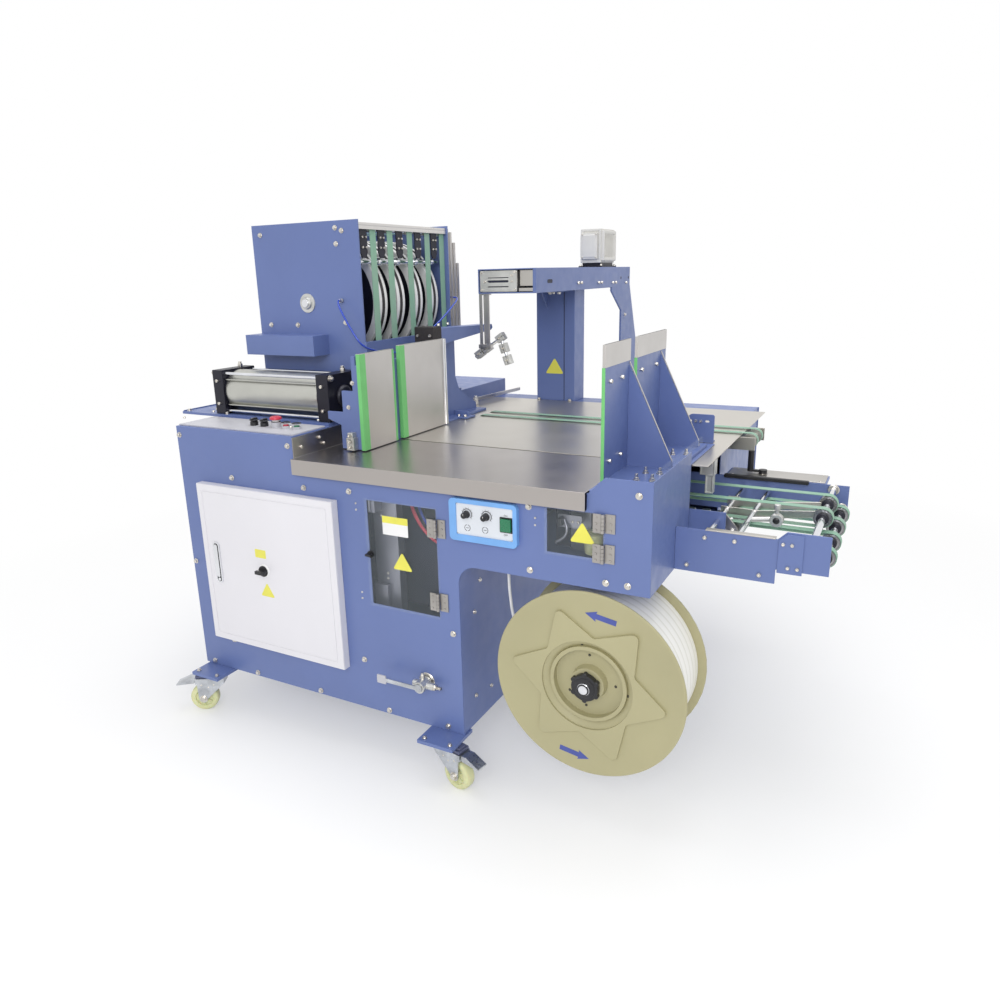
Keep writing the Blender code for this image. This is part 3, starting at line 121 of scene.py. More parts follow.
class StrapperSizes(bpy.types.PropertyGroup):
    """Sizes of the fittings that a user would change"""

    edge: FloatProperty(
        name="Edge", description="Rounding of folded and cut sheet edges", unit="LENGTH", default=0.0008
    )
    bolt: FloatProperty(
        name="Bolt head", description="Radius of a usual bolt head", unit="LENGTH", default=0.0062
    )
    belt_thickness: FloatProperty(
        name="Belt thickness", description="Thickness of a flat belt", unit="LENGTH", default=0.0016
    )
    strap_turns: IntProperty(
        name="Strap turns", description="Turns of strap that show side by side on the coil", default=14, min=4
    )
    reel_dish: FloatProperty(
        name="Reel dish", description="Depth of the dish round the reel's nut", unit="LENGTH", default=0.026
    )


class StrapperStage(bpy.types.PropertyGroup):
    """Camera and light"""

    azimuth: FloatProperty(
        name="Azimuth", description="Camera's heading, from the front", subtype="ANGLE",
        default=math.radians(28.541),
    )
    elevation: FloatProperty(
        name="Elevation", description="Camera's height angle", subtype="ANGLE", default=math.radians(15.65)
    )
    roll: FloatProperty(
        name="Roll", description="Camera's tilt to the side", subtype="ANGLE", default=math.radians(-1.43)
    )
    lens: FloatProperty(name="Lens", description="Focal length in millimetres", default=27.928)
    shift_x: FloatProperty(name="Shift X", description="Sideways lens shift", default=0.0114)
    shift_y: FloatProperty(name="Shift Y", description="Upright lens shift", default=-0.008)
    ambient: FloatProperty(name="Ambient", description="Even light from all round", default=0.73)
    key: FloatProperty(name="Key", description="Power of the large lamp in front", default=16.0)
    top: FloatProperty(name="Top", description="Power of the lamp overhead", default=74.0)
    fill: FloatProperty(name="Fill", description="Power of the small lamp on the right", default=48.0)


def finishes():
    return bpy.context.scene.strapper_finish


def sizes():
    return bpy.context.scene.strapper_sizes


# ---------------------------------------------------------------- materials


MATERIALS = {}


def node_material(name):
    material = bpy.data.materials.new(name)
    material.use_nodes = True
    tree = material.node_tree
    shader = tree.nodes["Principled BSDF"]
    place = tree.nodes.new("ShaderNodeTexCoord")
    return material, tree, shader, place.outputs["Object"]


def stretched(tree, coordinates, scale):
    mapping = tree.nodes.new("ShaderNodeMapping")
    mapping.inputs["Scale"].default_value = scale
    tree.links.new(coordinates, mapping.inputs["Vector"])
    return mapping.outputs["Vector"]


def noise(tree, coordinates, scale, detail=3.0):
    texture = tree.nodes.new("ShaderNodeTexNoise")
    texture.inputs["Scale"].default_value = scale
    texture.inputs["Detail"].default_value = detail
    tree.links.new(coordinates, texture.inputs["Vector"])
    return texture.outputs["Fac"]


def spread(tree, value, low, high, start=0.3, end=0.7):
    """Maps a noise's middle range to low..high."""
    node = tree.nodes.new("ShaderNodeMapRange")
    node.inputs["From Min"].default_value = start
    node.inputs["From Max"].default_value = end
    node.inputs["To Min"].default_value = low
    node.inputs["To Max"].default_value = high
    tree.links.new(value, node.inputs["Value"])
    return node.outputs["Result"]


def blend_colours(tree, factor, first, second):
    mix = tree.nodes.new("ShaderNodeMix")
    mix.data_type = "RGBA"
    mix.inputs["A"].default_value = (*first, 1)
    mix.inputs["B"].default_value = (*second, 1)
    tree.links.new(factor, mix.inputs["Factor"])
    return mix.outputs["Result"]


def relief(tree, shader, height, strength, distance=0.0004):
    bump = tree.nodes.new("ShaderNodeBump")
    bump.inputs["Strength"].default_value = strength
    bump.inputs["Distance"].default_value = distance
    tree.links.new(height, bump.inputs["Height"])
    tree.links.new(bump.outputs["Normal"], shader.inputs["Normal"])


def surface(name, colour, roughness=0.45, metallic=0.0, grain=(450, 450, 450), texture=0.12,
            mottle=0.1, patch=3.0, rough_spread=0.08, **constants):
    """A finish with fine grain, a slow drift of tone and an uneven gloss; made once for each name."""
    if name in MATERIALS:
        return MATERIALS[name]
    material, tree, shader, place = node_material(name)
    shader.inputs["Metallic"].default_value = metallic
    for socket, value in constants.items():
        shader.inputs[socket.replace("_", " ").title()].default_value = value
    drift = noise(tree, place, patch, 4.0)
    darker = tuple(c * (1 - mottle) for c in colour)
    lighter = tuple(min(c * (1 + mottle), 1.0) for c in colour)
    tone = blend_colours(tree, spread(tree, drift, 0, 1), darker, lighter)
    tree.links.new(tone, shader.inputs["Base Color"])
    fine = noise(tree, stretched(tree, place, grain), 1.0, 2.0)
    gloss = noise(tree, place, patch * 9, 3.0)
    tree.links.new(
        spread(tree, gloss, roughness - rough_spread, roughness + rough_spread), shader.inputs["Roughness"]
    )
    relief(tree, shader, fine, texture)
    MATERIALS[name] = material
    return material


def blue_paint():
    return surface("blue_powder_coat", finishes().paint, 0.42, texture=0.1, mottle=0.05, Coat_Weight=0.15,
                   Coat_Roughness=0.25)


def white_paint():
    return surface("door_powder_coat", finishes().door, 0.38, texture=0.1, mottle=0.02)


def grey_paint():
    return surface("grey_enamel", (0.5, 0.5, 0.54), 0.42, mottle=0.05)


def brushed(name, grain, colour=(0.5, 0.48, 0.45), roughness=0.33, mottle=0.22, patch=2.2):
    """Stainless sheet: grain is long along the brushing, and the tone drifts in soft patches: painted
    reflections together with handling smudges.
    """
    return surface(name, colour, roughness, 1.0, grain, 0.05, mottle / 2, patch, 0.04)


def steel_along_x():
    return brushed("stainless_brushed_along", (6, 1400, 1400))


def steel_upright():
    return brushed("stainless_brushed_upright", (1400, 1400, 6), (0.56, 0.54, 0.52))


def zinc():
    return surface("bright_zinc", (0.52, 0.54, 0.57), 0.34, 1.0, (220, 220, 220), 0.25, 0.22, 30, 0.1)


def bolt_zinc():
    return surface("zinc_bolts", (0.66, 0.63, 0.58), 0.28, 1.0, (500, 500, 500), 0.15, 0.15, 60, 0.08)


def chrome():
    return surface("chrome_shaft", (0.74, 0.75, 0.78), 0.12, 1.0, (900, 900, 900), 0.05, 0.06, 12, 0.04)


def aluminium():
    return surface("drawn_aluminium", (0.56, 0.56, 0.52), 0.36, 1.0, (8, 900, 900), 0.2, 0.1, 4, 0.07)


def cast_aluminium():
    return surface("cast_aluminium", (0.62, 0.62, 0.6), 0.45, 0.9, (260, 260, 260), 0.35, 0.12, 25, 0.08)


def black_plastic():
    return surface("black_moulding", (0.014, 0.014, 0.017), 0.38, texture=0.18, mottle=0.2, patch=30)


def black_anodised():
    return surface("black_anodised", (0.012, 0.012, 0.022), 0.4, 0.3, (500, 500, 500), 0.15, 0.2, 20, 0.07)


# Near black: painted shade on the plates behind the clear doors, behind and beside the beam's end block, in
# the beam's slot and holes and in the column's seam; also the electrical box's own black.
def black_and_painted_shade():
    return surface("black_and_painted_shade_interior", (0.022, 0.024, 0.045), 0.6, texture=0.1, mottle=0.25, patch=6)


def white_plastic():
    return surface("white_moulding", (0.8, 0.8, 0.8), 0.4, texture=0.08, mottle=0.04, patch=12)


def cream_nylon():
    return surface("cream_nylon", (0.66, 0.67, 0.38), 0.42, texture=0.15, mottle=0.07, patch=35,
                   Subsurface_Weight=0.1)


def bezel_plastic():
    return surface("bezel_moulding", finishes().bezel, 0.36, texture=0.1, mottle=0.05, patch=18)


def plate_white():
    return surface("printed_panel", (0.66, 0.69, 0.74), 0.35, texture=0.05, mottle=0.03, patch=20)


def red_plastic():
    return surface(
        "red_moulding", (0.56, 0.025, 0.06), 0.3, texture=0.06, mottle=0.08, patch=40, Coat_Weight=0.3
    )


def green_plastic():
    return surface("green_moulding", (0.012, 0.17, 0.075), 0.28, texture=0.06, mottle=0.08, patch=40,
                   Coat_Weight=0.3)


def yellow_vinyl():
    return surface("yellow_sticker", (0.74, 0.7, 0.1), 0.42, texture=0.05, mottle=0.05, patch=25)


def blue_vinyl():
    return surface("blue_sticker", (0.06, 0.085, 0.33), 0.42, texture=0.05, mottle=0.08, patch=25)


def khaki_plastic():
    return surface("khaki_moulding", finishes().reel, 0.46, texture=0.16, mottle=0.05, patch=4)


def tape():
    return surface("green_tape", finishes().tape, 0.42, texture=0.12, mottle=0.06, patch=15)


def blue_hose():
    return surface(
        "blue_hose", (0.018, 0.06, 0.46), 0.22, texture=0.04, mottle=0.1, patch=40, Coat_Weight=0.4
    )


def clear_sheet():
    """Acrylic: almost clear, with a faint grey tint and handling smears in its gloss."""
    if "clear_acrylic" in MATERIALS:
        return MATERIALS["clear_acrylic"]
    material = surface(
        "clear_acrylic", (0.55, 0.62, 0.68), 0.07, texture=0.03, mottle=0.05, patch=8, rough_spread=0.04
    )
    material.node_tree.nodes["Principled BSDF"].inputs["Alpha"].default_value = 0.06
    material.blend_method = "BLEND"
    return material


def belt_cloth():
    """Green belt: a fine woven face, crossed ribs under a smooth top coat."""
    if "green_belt" in MATERIALS:
        return MATERIALS["green_belt"]
    material, tree, shader, place = node_material("green_belt")
    green = finishes().belt
    weave = noise(tree, stretched(tree, place, (900, 900, 900)), 1.0, 1.0)
    soil = noise(tree, place, 11.0, 5.0)
    dusty = tuple(0.72 * c + 0.12 for c in green)
    tone = blend_colours(tree, spread(tree, soil, 0, 1, 0.42, 0.8), tuple(green), dusty)
    tree.links.new(tone, shader.inputs["Base Color"])
    tree.links.new(spread(tree, weave, 0.42, 0.62), shader.inputs["Roughness"])
    relief(tree, shader, weave, 0.35, 0.0003)
    MATERIALS["green_belt"] = material
    return material


def strap_wound():
    """Strap on the coil: side-by-side turns with thin darker lines between them that are painted shade in the
    gaps, not quite straight.
    """
    if "wound_strap" in MATERIALS:
        return MATERIALS["wound_strap"]
    material, tree, shader, place = node_material("wound_strap")
    low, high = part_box("strap_coil")
    turns = tree.nodes.new("ShaderNodeTexWave")
    turns.wave_type = "BANDS"
    turns.bands_direction = "Y"
    turns.inputs["Scale"].default_value = sizes().strap_turns / (high.y - low.y) / 20 * math.pi
    turns.inputs["Distortion"].default_value = 0.6
    turns.inputs["Detail Scale"].default_value = 1.5
    tree.links.new(place, turns.inputs["Vector"])
    # The darker colour in the thin bands between turns is painted shade of the gaps.
    tone = blend_colours(tree, spread(tree, turns.outputs["Fac"], 0, 1, 0.05, 0.25), (0.76, 0.75, 0.69),
                         (0.9, 0.89, 0.85))
    tree.links.new(tone, shader.inputs["Base Color"])
    shader.inputs["Roughness"].default_value = 0.35
    relief(tree, shader, turns.outputs["Fac"], 0.25, 0.0004)
    MATERIALS["wound_strap"] = material
    return material


# ---------------------------------------------------------------- modelling helpers


def deselect():
    bpy.ops.object.select_all(action="DESELECT")


def activate(obj):
    deselect()
    obj.select_set(True)
    bpy.context.view_layer.objects.active = obj


def settle(obj):
    """Puts the object's place into its mesh."""
    activate(obj)
    bpy.ops.object.transform_apply(location=True, rotation=True, scale=True)
    return obj


def apply_modifiers(obj):
    activate(obj)
    for modifier in list(obj.modifiers):
        bpy.ops.object.modifier_apply(modifier=modifier.name)
    return obj


def smooth(obj, degrees=35):
    activate(obj)
    bpy.ops.object.shade_smooth_by_angle(angle=math.radians(degrees))
    return obj


def round_edges(obj, width, segments=2, degrees=35):
    if width > 0:
        bevel = obj.modifiers.new("rounding", "BEVEL")
        bevel.width = width
        bevel.segments = segments
        bevel.limit_method = "ANGLE"
        bevel.angle_limit = math.radians(degrees)
        apply_modifiers(obj)
        smooth(obj, degrees)
        weighting = obj.modifiers.new("weighting", "WEIGHTED_NORMAL")
        weighting.keep_sharp = True
        return apply_modifiers(obj)
    return smooth(obj, degrees)


def edit(obj, *steps):
    """Runs edit-mode steps on the whole mesh."""
    activate(obj)
    bpy.ops.object.mode_set(mode="EDIT")
    bpy.ops.mesh.select_all(action="SELECT")
    for step in steps:
        step()
    bpy.ops.object.mode_set(mode="OBJECT")
    return obj


def tidy_normals(obj):
    return edit(
        obj,
        lambda: bpy.ops.mesh.remove_doubles(threshold=0.00001),
        lambda: bpy.ops.mesh.normals_make_consistent(inside=False),
    )


def select_faces(obj, wanted):
    """In edit mode, selects the faces for which wanted(centre, normal) is true."""
    work = bmesh.from_edit_mesh(obj.data)
    bpy.context.tool_settings.mesh_select_mode = (False, False, True)
    for face in work.faces:
        face.select_set(bool(wanted(face.calc_center_median(), face.normal)))
    work.select_flush_mode()
    bmesh.update_edit_mesh(obj.data)


def block(low, high, edge=0.0008, segments=2):
    """A box between two corners with rounded edges."""
    low, high = Vector(low), Vector(high)
    deselect()
    bpy.ops.mesh.primitive_cube_add(size=1, location=(low + high) / 2, scale=high - low)
    obj = settle(bpy.context.object)
    return round_edges(obj, min(edge, min(high - low) * 0.45), segments)


def face_panel(low, high, towards, inset, depth, edge=0.0008):
    """A box with one face inset and pressed in by depth (or out, if negative)."""
    low, high = Vector(low), Vector(high)
    deselect()
    bpy.ops.mesh.primitive_cube_add(size=1, location=(low + high) / 2, scale=high - low)
    obj = settle(bpy.context.object)
    bpy.ops.object.mode_set(mode="EDIT")
    select_faces(obj, lambda centre, normal: normal.dot(towards) > 0.9)
    bpy.ops.mesh.inset(thickness=inset, depth=0)
    bpy.ops.mesh.inset(thickness=abs(depth) * 0.6, depth=-depth)
    bpy.ops.object.mode_set(mode="OBJECT")
    return round_edges(obj, edge)


def cylinder(start, end, radius, edge=0.0006, sides=40):
    start, end = Vector(start), Vector(end)
    along = end - start
    deselect()
    turn = UP.rotation_difference(along).to_euler()
    bpy.ops.mesh.primitive_cylinder_add(
        vertices=sides, radius=radius, depth=along.length, location=(start + end) / 2, rotation=turn
    )
    obj = settle(bpy.context.object)
    return round_edges(obj, min(edge, along.length * 0.4, radius * 0.4), 2, 50)


def turned(profile, centre, axis, steps=64):
    """A turned piece from (radius, height) points that run down its outer side."""
    mesh = bpy.data.meshes.new("profile")
    closed = profile[0][0] > 0 and profile[-1][0] > 0
    count = len(profile)
    edges = [(i, (i + 1) % count) for i in range(count if closed else count - 1)]
    mesh.from_pydata([(radius, 0, height) for radius, height in profile], edges, [])
    obj = bpy.data.objects.new("profile", mesh)
    bpy.context.scene.collection.objects.link(obj)
    screw = obj.modifiers.new("turn", "SCREW")
    screw.steps = steps
    screw.render_steps = steps
    screw.use_merge_vertices = True
    screw.merge_threshold = 0.00001
    apply_modifiers(obj)
    tidy_normals(obj)
    obj.location = centre
    obj.rotation_euler = UP.rotation_difference(Vector(axis)).to_euler()
    settle(obj)
    return smooth(obj, 40)


PLANES = {
    "XY": Matrix.Identity(4),
    "XZ": Matrix.Rotation(math.pi / 2, 4, "X"),
    "YZ": Matrix.Rotation(math.pi / 2, 4, "Z") @ Matrix.Rotation(math.pi / 2, 4, "X"),
}


def plate(plane, outlines, face, thickness, edge=0.0006, segments=1):
    """A flat outline, with holes, made solid from face to face + thickness along the plane's normal axis."""
    curve = bpy.data.curves.new("outline", "CURVE")
    curve.dimensions = "2D"
    curve.fill_mode = "BOTH"
    curve.extrude = thickness / 2
    for points in outlines:
        spline = curve.splines.new("POLY")
        spline.points.add(len(points) - 1)
        for place, (u, v) in zip(spline.points, points):
            place.co = (u, v, 0, 1)
        spline.use_cyclic_u = True
    obj = bpy.data.objects.new("outline", curve)
    bpy.context.scene.collection.objects.link(obj)
    middle = face + thickness / 2
    shift = {"XY": (0, 0, middle), "XZ": (0, middle, 0), "YZ": (middle, 0, 0)}[plane]
    obj.matrix_world = Matrix.Translation(shift) @ PLANES[plane]
    activate(obj)
    bpy.ops.object.convert(target="MESH")
    obj = bpy.context.object
    settle(obj)
    tidy_normals(obj)
    return round_edges(obj, edge, segments)


def arc(centre, radius, start, end, steps=8):
    """Points on an arc, with its angles in degrees."""
    angles = [math.radians(start + (end - start) * i / steps) for i in range(steps + 1)]
    return [(centre[0] + radius * math.cos(a), centre[1] + radius * math.sin(a)) for a in angles]


def rounded_rectangle(left, right, bottom, top, radius, steps=6):
    return [
        *arc((right - radius, top - radius), radius, 0, 90, steps),
        *arc((left + radius, top - radius), radius, 90, 180, steps),
        *arc((left + radius, bottom + radius), radius, 180, 270, steps),
        *arc((right - radius, bottom + radius), radius, 270, 360, steps),
    ]


def pipe(points, radius, steps=6, sides=3):
    """A round bar or wire along a smooth curve through the points."""
    points = [Vector(p) for p in points]
    ends = [points[0] * 2 - points[1], *points, points[-1] * 2 - points[-2]]
    route = []
    for a, b, c, d in zip(ends, ends[1:], ends[2:], ends[3:]):
        for i in range(steps):
            t = i / steps
            route.append(
                0.5 * (
                    2 * b + (c - a) * t + (
                        2 * a - 5 * b + 4 * c - d
                    ) * t**2 + (3 * b - a - 3 * c + d) * t**3
                )
            )
    route.append(points[-1])
    curve = bpy.data.curves.new("route", "CURVE")
    curve.dimensions = "3D"
    curve.bevel_depth = radius
    curve.bevel_resolution = sides
    curve.use_fill_caps = True
    spline = curve.splines.new("POLY")
    spline.points.add(len(route) - 1)
    for place, point in zip(spline.points, route):
        place.co = (*point, 1)
    obj = bpy.data.objects.new("route", curve)
    bpy.context.scene.collection.objects.link(obj)
    activate(obj)
    bpy.ops.object.convert(target="MESH")
    obj = bpy.context.object
    tidy_normals(obj)
    return smooth(obj, 50)


def join(*parts):
    """Makes one object of several."""
    parts = [p for group in parts for p in (group if isinstance(group, (list, tuple)) else [group])]
    deselect()
    for obj in parts:
        obj.select_set(True)
    bpy.context.view_layer.objects.active = parts[0]
    if len(parts) > 1:
        bpy.ops.object.join()
    return bpy.context.object


def piece(obj, name, material, body=FRAME_BODY, replaces=()):
    """Names a finished piece and gives it its finish and its body."""
    obj.name = name
    obj.data.name = name
    settle(obj)
    obj.data.materials.clear()
    obj.data.materials.append(material)
    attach(obj, body)
    if replaces:
        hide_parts(*replaces)
    return obj


def body_of_node(node):
    bodies = frame["record"]["behaviour"]["bodies"]
    return next(body for body, nodes in bodies.items() if node in nodes)


def skin(node, material, edge=None):
    """A finished copy of a CAD node with clean faces and rounded edges, which stands for it."""
    source = frame["nodes"][node]
    obj = bpy.data.objects.new(node + "_skin", source.data.copy())
    bpy.context.scene.collection.objects.link(obj)
    obj.matrix_world = source.matrix_world
    activate(obj)
    edit(
        obj,
        lambda: bpy.ops.mesh.customdata_custom_splitnormals_clear(),
        lambda: bpy.ops.mesh.remove_doubles(threshold=0.00002),
        lambda: bpy.ops.mesh.dissolve_limited(angle_limit=math.radians(1.0)),
    )
    round_edges(obj, sizes().edge if edge is None else edge, 2, 38)
    return piece(obj, node + "_skin", material, body_of_node(node), (node,))


def stand(obj, direction, place):
    """Turns a piece modelled at the origin along +Z to point along direction at place."""
    obj.rotation_euler = UP.rotation_difference(Vector(direction)).to_euler()
    obj.location = place
    return settle(obj)


def copies(master, places, direction):
    """One object with a copy of the master, modelled along +Z at the origin, at each place."""
    made = []
    for place in places:
        obj = master.copy()
        obj.data = master.data.copy()
        bpy.context.scene.collection.objects.link(obj)
        made.append(stand(obj, direction, place))
    bpy.data.objects.remove(master, do_unlink=True)
    return join(*made)


def hex_bolt(radius):
    """A hexagon head on its washer, pointing up from the origin."""
    washer = cylinder((0, 0, 0), (0, 0, radius * 0.28), radius * 1.35, 0.0002, 20)
    head = cylinder((0, 0, radius * 0.2), (0, 0, radius * 1.15), radius, radius * 0.12, 6)
    socket = cylinder((0, 0, radius * 0.9), (0, 0, radius * 1.22), radius * 0.55, radius * 0.1, 12)
    return join(washer, head, socket)


def cap_bolt(radius, height=1.4):
    """A socket cap screw: a knurled-size head with a sunk hexagon."""
    profile = [
        (0, radius * (height - 0.6)),
        (radius * 0.48, radius * (height - 0.6)),
        (radius * 0.48, radius * height),
        (radius * 0.9, radius * height),
        (radius, radius * (height - 0.12)),
        (radius, 0),
        (0, 0),
    ]
    return turned(list(reversed(profile))[::-1], (0, 0, 0), UP, 20)


def pan_screw(radius):
    """A low domed head with a cross slot's dimple."""
    profile = [
        (0, radius * 0.45), (radius * 0.3, radius * 0.62), (radius * 0.75, radius * 0.5), (radius, 0),
        (0, 0),
    ]
    return turned(profile, (0, 0, 0), UP, 16)


def bolts(name, places, direction, radius=None, kind=hex_bolt, body=FRAME_BODY, material=None):
    return piece(
        copies(kind(sizes().bolt if radius is None else radius), places, direction),
        name, material or bolt_zinc(), body,
    )


def sticker(name, outline, place_y, body, material=None, thickness=0.0004):
    """A blank label on a face that looks forward; the outline is in x and z."""
    return piece(
        plate("XZ", [outline], place_y - thickness, thickness, 0.0001), name, material or yellow_vinyl(),
        body,
    )


def triangle(middle_x, bottom, width):
    """A blank triangle with rounded corners."""
    radius = width * 0.06
    height = width * 0.88
    left = (middle_x - width / 2 + radius, bottom + radius)
    right = (middle_x + width / 2 - radius, bottom + radius)
    peak = (middle_x, bottom + height - radius * 2)
    return [*arc(right, radius, -90, 30, 4), *arc(peak, radius, 30, 150, 4), *arc(left, radius, 150, 270, 4)]


def loop_band(x0, x1, top, bottom, thickness, steps=14):
    """Outer and inner outlines of a belt loop round two equal pulleys, in x and z."""
    radius = (top - bottom) / 2
    middle = (top + bottom) / 2
    outer = [*arc((x1, middle), radius, -90, 90, steps), *arc((x0, middle), radius, 90, 270, steps)]
    inner_radius = radius - thickness
    inner = [
        *arc((x1, middle), inner_radius, -90, 90, steps), *arc((x0, middle), inner_radius, 90, 270, steps)
    ]
    return [outer, inner]


# The front table's stainless is a darker copy of the rear table's: painted shade. Its slow drift of tone is
# soft painted reflection.
def front_table_steel_painted_shade():
    return surface(
        "stainless_front_table_painted_shade", (0.45, 0.42, 0.4), 0.3, 1.0, (5, 1200, 1200), 0.1, 0.05, 1.2, 0.02
    )


# The rear table's stainless is a lighter copy of the front table's: painted light. Its slow drift of tone is
# soft painted reflection.
def rear_table_steel_painted_light():
    return surface(
        "stainless_rear_table_painted_light", (0.58, 0.55, 0.5), 0.34, 1.0, (5, 1200, 1200), 0.1, 0.05, 1.2, 0.02
    )


# ---------------------------------------------------------------- stage and hose


def make_camera():
    stage = bpy.context.scene.strapper_stage
    turn, lift, roll = stage.azimuth, stage.elevation, stage.roll
    forward = Vector((-math.sin(turn) * math.cos(lift), math.cos(turn) * math.cos(lift), -math.sin(lift)))
    level = Vector((math.cos(turn), math.sin(turn), 0))
    upright = level.cross(forward)
    across = level * math.cos(roll) + upright * math.sin(roll)
    upward = upright * math.cos(roll) - level * math.sin(roll)
    data = bpy.data.cameras.new("camera")
    data.lens = stage.lens
    data.shift_x = stage.shift_x
    data.shift_y = stage.shift_y
    camera = bpy.data.objects.new("camera", data)
    bpy.context.scene.collection.objects.link(camera)
    axes = Matrix((across, upward, -forward)).transposed().to_4x4()
    camera.matrix_world = Matrix.Translation(at(1.94868, -1.6, 1.3563)) @ axes
    bpy.context.scene.camera = camera


def make_lamp(name, place, target, size, power):
    data = bpy.data.lights.new(name, "AREA")
    data.shape = "DISK"
    data.size = size
    data.energy = power
    lamp = bpy.data.objects.new(name, data)
    bpy.context.scene.collection.objects.link(lamp)
    lamp.location = place
    lamp.rotation_euler = (target - place).to_track_quat("-Z", "Y").to_euler()


def seen_directly(tree):
    """1 where the camera, a reflection or clear sheet looks, and 0 for the light that falls on the object."""
    path = tree.nodes.new("ShaderNodeLightPath")
    total = path.outputs["Is Camera Ray"]
    for ray in ("Is Glossy Ray", "Is Transmission Ray"):
        either = tree.nodes.new("ShaderNodeMath")
        either.operation = "MAXIMUM"
        tree.links.new(total, either.inputs[0])
        tree.links.new(path.outputs[ray], either.inputs[1])
        total = either.outputs[0]
    return total


def make_sky():
    world = bpy.data.worlds.new("studio")
    bpy.context.scene.world = world
    world.use_nodes = True
    tree = world.node_tree
    sky = tree.nodes["Background"]
    sky.inputs["Color"].default_value = (1, 1, 1, 1)
    tree.links.new(
        spread(tree, seen_directly(tree), bpy.context.scene.strapper_stage.ambient, 1.0, 0, 1),
        sky.inputs["Strength"],
    )


def make_floor():
    """A pale floor that takes the shadow near the machine and is plain white further off."""
    deselect()
    bpy.ops.mesh.primitive_circle_add(vertices=96, radius=30, fill_type="NGON", location=(0, 0, -0.0005))
    floor = settle(bpy.context.object)
    floor.name = "floor"
    material, tree, shader, place = node_material("pale_floor")
    shader.inputs["Base Color"].default_value = (0.93, 0.93, 0.93, 1)
    shader.inputs["Roughness"].default_value = 0.9
    shader.inputs["Specular IOR Level"].default_value = 0.1
    relief(tree, shader, noise(tree, place, 40.0), 0.02)
    distance = tree.nodes.new("ShaderNodeVectorMath")
    distance.operation = "LENGTH"
    tree.links.new(place, distance.inputs[0])
    far = spread(tree, distance.outputs["Value"], 0.35, 1, 1.2, 3.0)
    plain = tree.nodes.new("ShaderNodeMath")
    plain.operation = "MULTIPLY"
    tree.links.new(far, plain.inputs[0])
    tree.links.new(seen_directly(tree), plain.inputs[1])
    glow = tree.nodes.new("ShaderNodeEmission")
    glow.inputs["Color"].default_value = (1, 1, 1, 1)
    mix = tree.nodes.new("ShaderNodeMixShader")
    tree.links.new(plain.outputs[0], mix.inputs["Fac"])
    tree.links.new(shader.outputs["BSDF"], mix.inputs[1])
    tree.links.new(glow.outputs["Emission"], mix.inputs[2])
    tree.links.new(mix.outputs["Shader"], tree.nodes["Material Output"].inputs["Surface"])
    floor.data.materials.append(material)


class STRAPPER_OT_stage(bpy.types.Operator):
    """Sets the camera, the lamps, the sky and the floor"""

    bl_idname = "strapper.stage"
    bl_label = "Stage"

    def execute(self, context):
        stage = context.scene.strapper_stage
        context.scene.view_settings.view_transform = "Standard"
        make_camera()
        middle = at(0.75, 0.5, 0.8)
        make_lamp("key_lamp", at(1.0, -3.3, 3.3), middle, 3.0, stage.key)
        make_lamp("top_lamp", at(0.8, 0.9, 4.2), middle, 3.2, stage.top)
        make_lamp("fill_lamp", at(2.3, -3.0, 2.5), at(0.8, 1.1, 1.1), 1.6, stage.fill)
        make_sky()
        make_floor()
        return {"FINISHED"}


HOSE_RADIUS = 0.003
HOSE_ROUTE = [
    (0.392, 0.3537, 1.29), (0.392, 0.334, 1.29), (0.404, 0.32, 1.272), (0.44, 0.316, 1.215),
    (0.476, 0.326, 1.16), (0.486, 0.39, 1.135), (0.488, 0.47, 1.122), (0.491, 0.55, 1.132),
    (0.5, 0.64, 1.165), (0.505, 0.74, 1.21), (0.5, 0.83, 1.252), (0.485, 0.89, 1.275),
    (0.462, 0.904, 1.28), (0.44, 0.893, 1.281), (0.44, 0.8713, 1.281),
]


def rounded_route(points, steps):
    """A smooth run through the points, the first and last of them doubled."""
    ends = [points[0], *points, points[-1]]
    run = []
    for a, b, c, d in zip(ends, ends[1:], ends[2:], ends[3:]):
        for i in range(steps):
            t = i / steps
            run.append(
                0.5 * (
                    2 * b + (c - a) * t + (
                        2 * a - 5 * b + 4 * c - d
                    ) * t**2 + (3 * b - a - 3 * c + d) * t**3
                )
            )
    return [*run, points[-1]]


def push_in_fitting(name, place, direction, reach=0.02):
    """A hexagon body with a release ring, on the end of the hose."""
    body = cylinder((0, 0, 0), (0, 0, reach * 0.55), 0.0068, 0.0005, 6)
    ring = turned([(0.0034, reach * 0.5), (0.0056, reach * 0.5), (0.006, reach * 0.8), (0.0052, reach),
                   (0.0034, reach)], (0, 0, 0), UP, 24)
    obj = stand(join(body, ring), direction, place)
    return piece(obj, name, bolt_zinc())


class STRAPPER_OT_hose(bpy.types.Operator):
    """Lays the blue air hose round the hopper's mouth"""

    bl_idname = "strapper.hose"
    bl_label = "Air hose"

    def execute(self, context):
        route = rounded_route([at(*p) for p in HOSE_ROUTE], 5)
        curve = bpy.data.curves.new("air_hose_run", "CURVE")
        curve.dimensions = "3D"
        curve.bevel_depth = HOSE_RADIUS
        curve.bevel_resolution = 4
        curve.use_fill_caps = True
        spline = curve.splines.new("POLY")
        spline.points.add(len(route) - 1)
        for place, point in zip(spline.points, route):
            place.co = (*point, 1)
        hose = bpy.data.objects.new("air_hose_run", curve)
        context.scene.collection.objects.link(hose)
        curve.materials.append(blue_hose())
        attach(hose, FRAME_BODY)
        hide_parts("air_hose")
        push_in_fitting("hose_front_fitting", at(0.392, 0.354, 1.29), FORWARD, 0.016)
        push_in_fitting("hose_rear_fitting", at(0.44, 0.871, 1.281), -FORWARD, 0.016)
        return {"FINISHED"}


# ---------------------------------------------------------------- body front


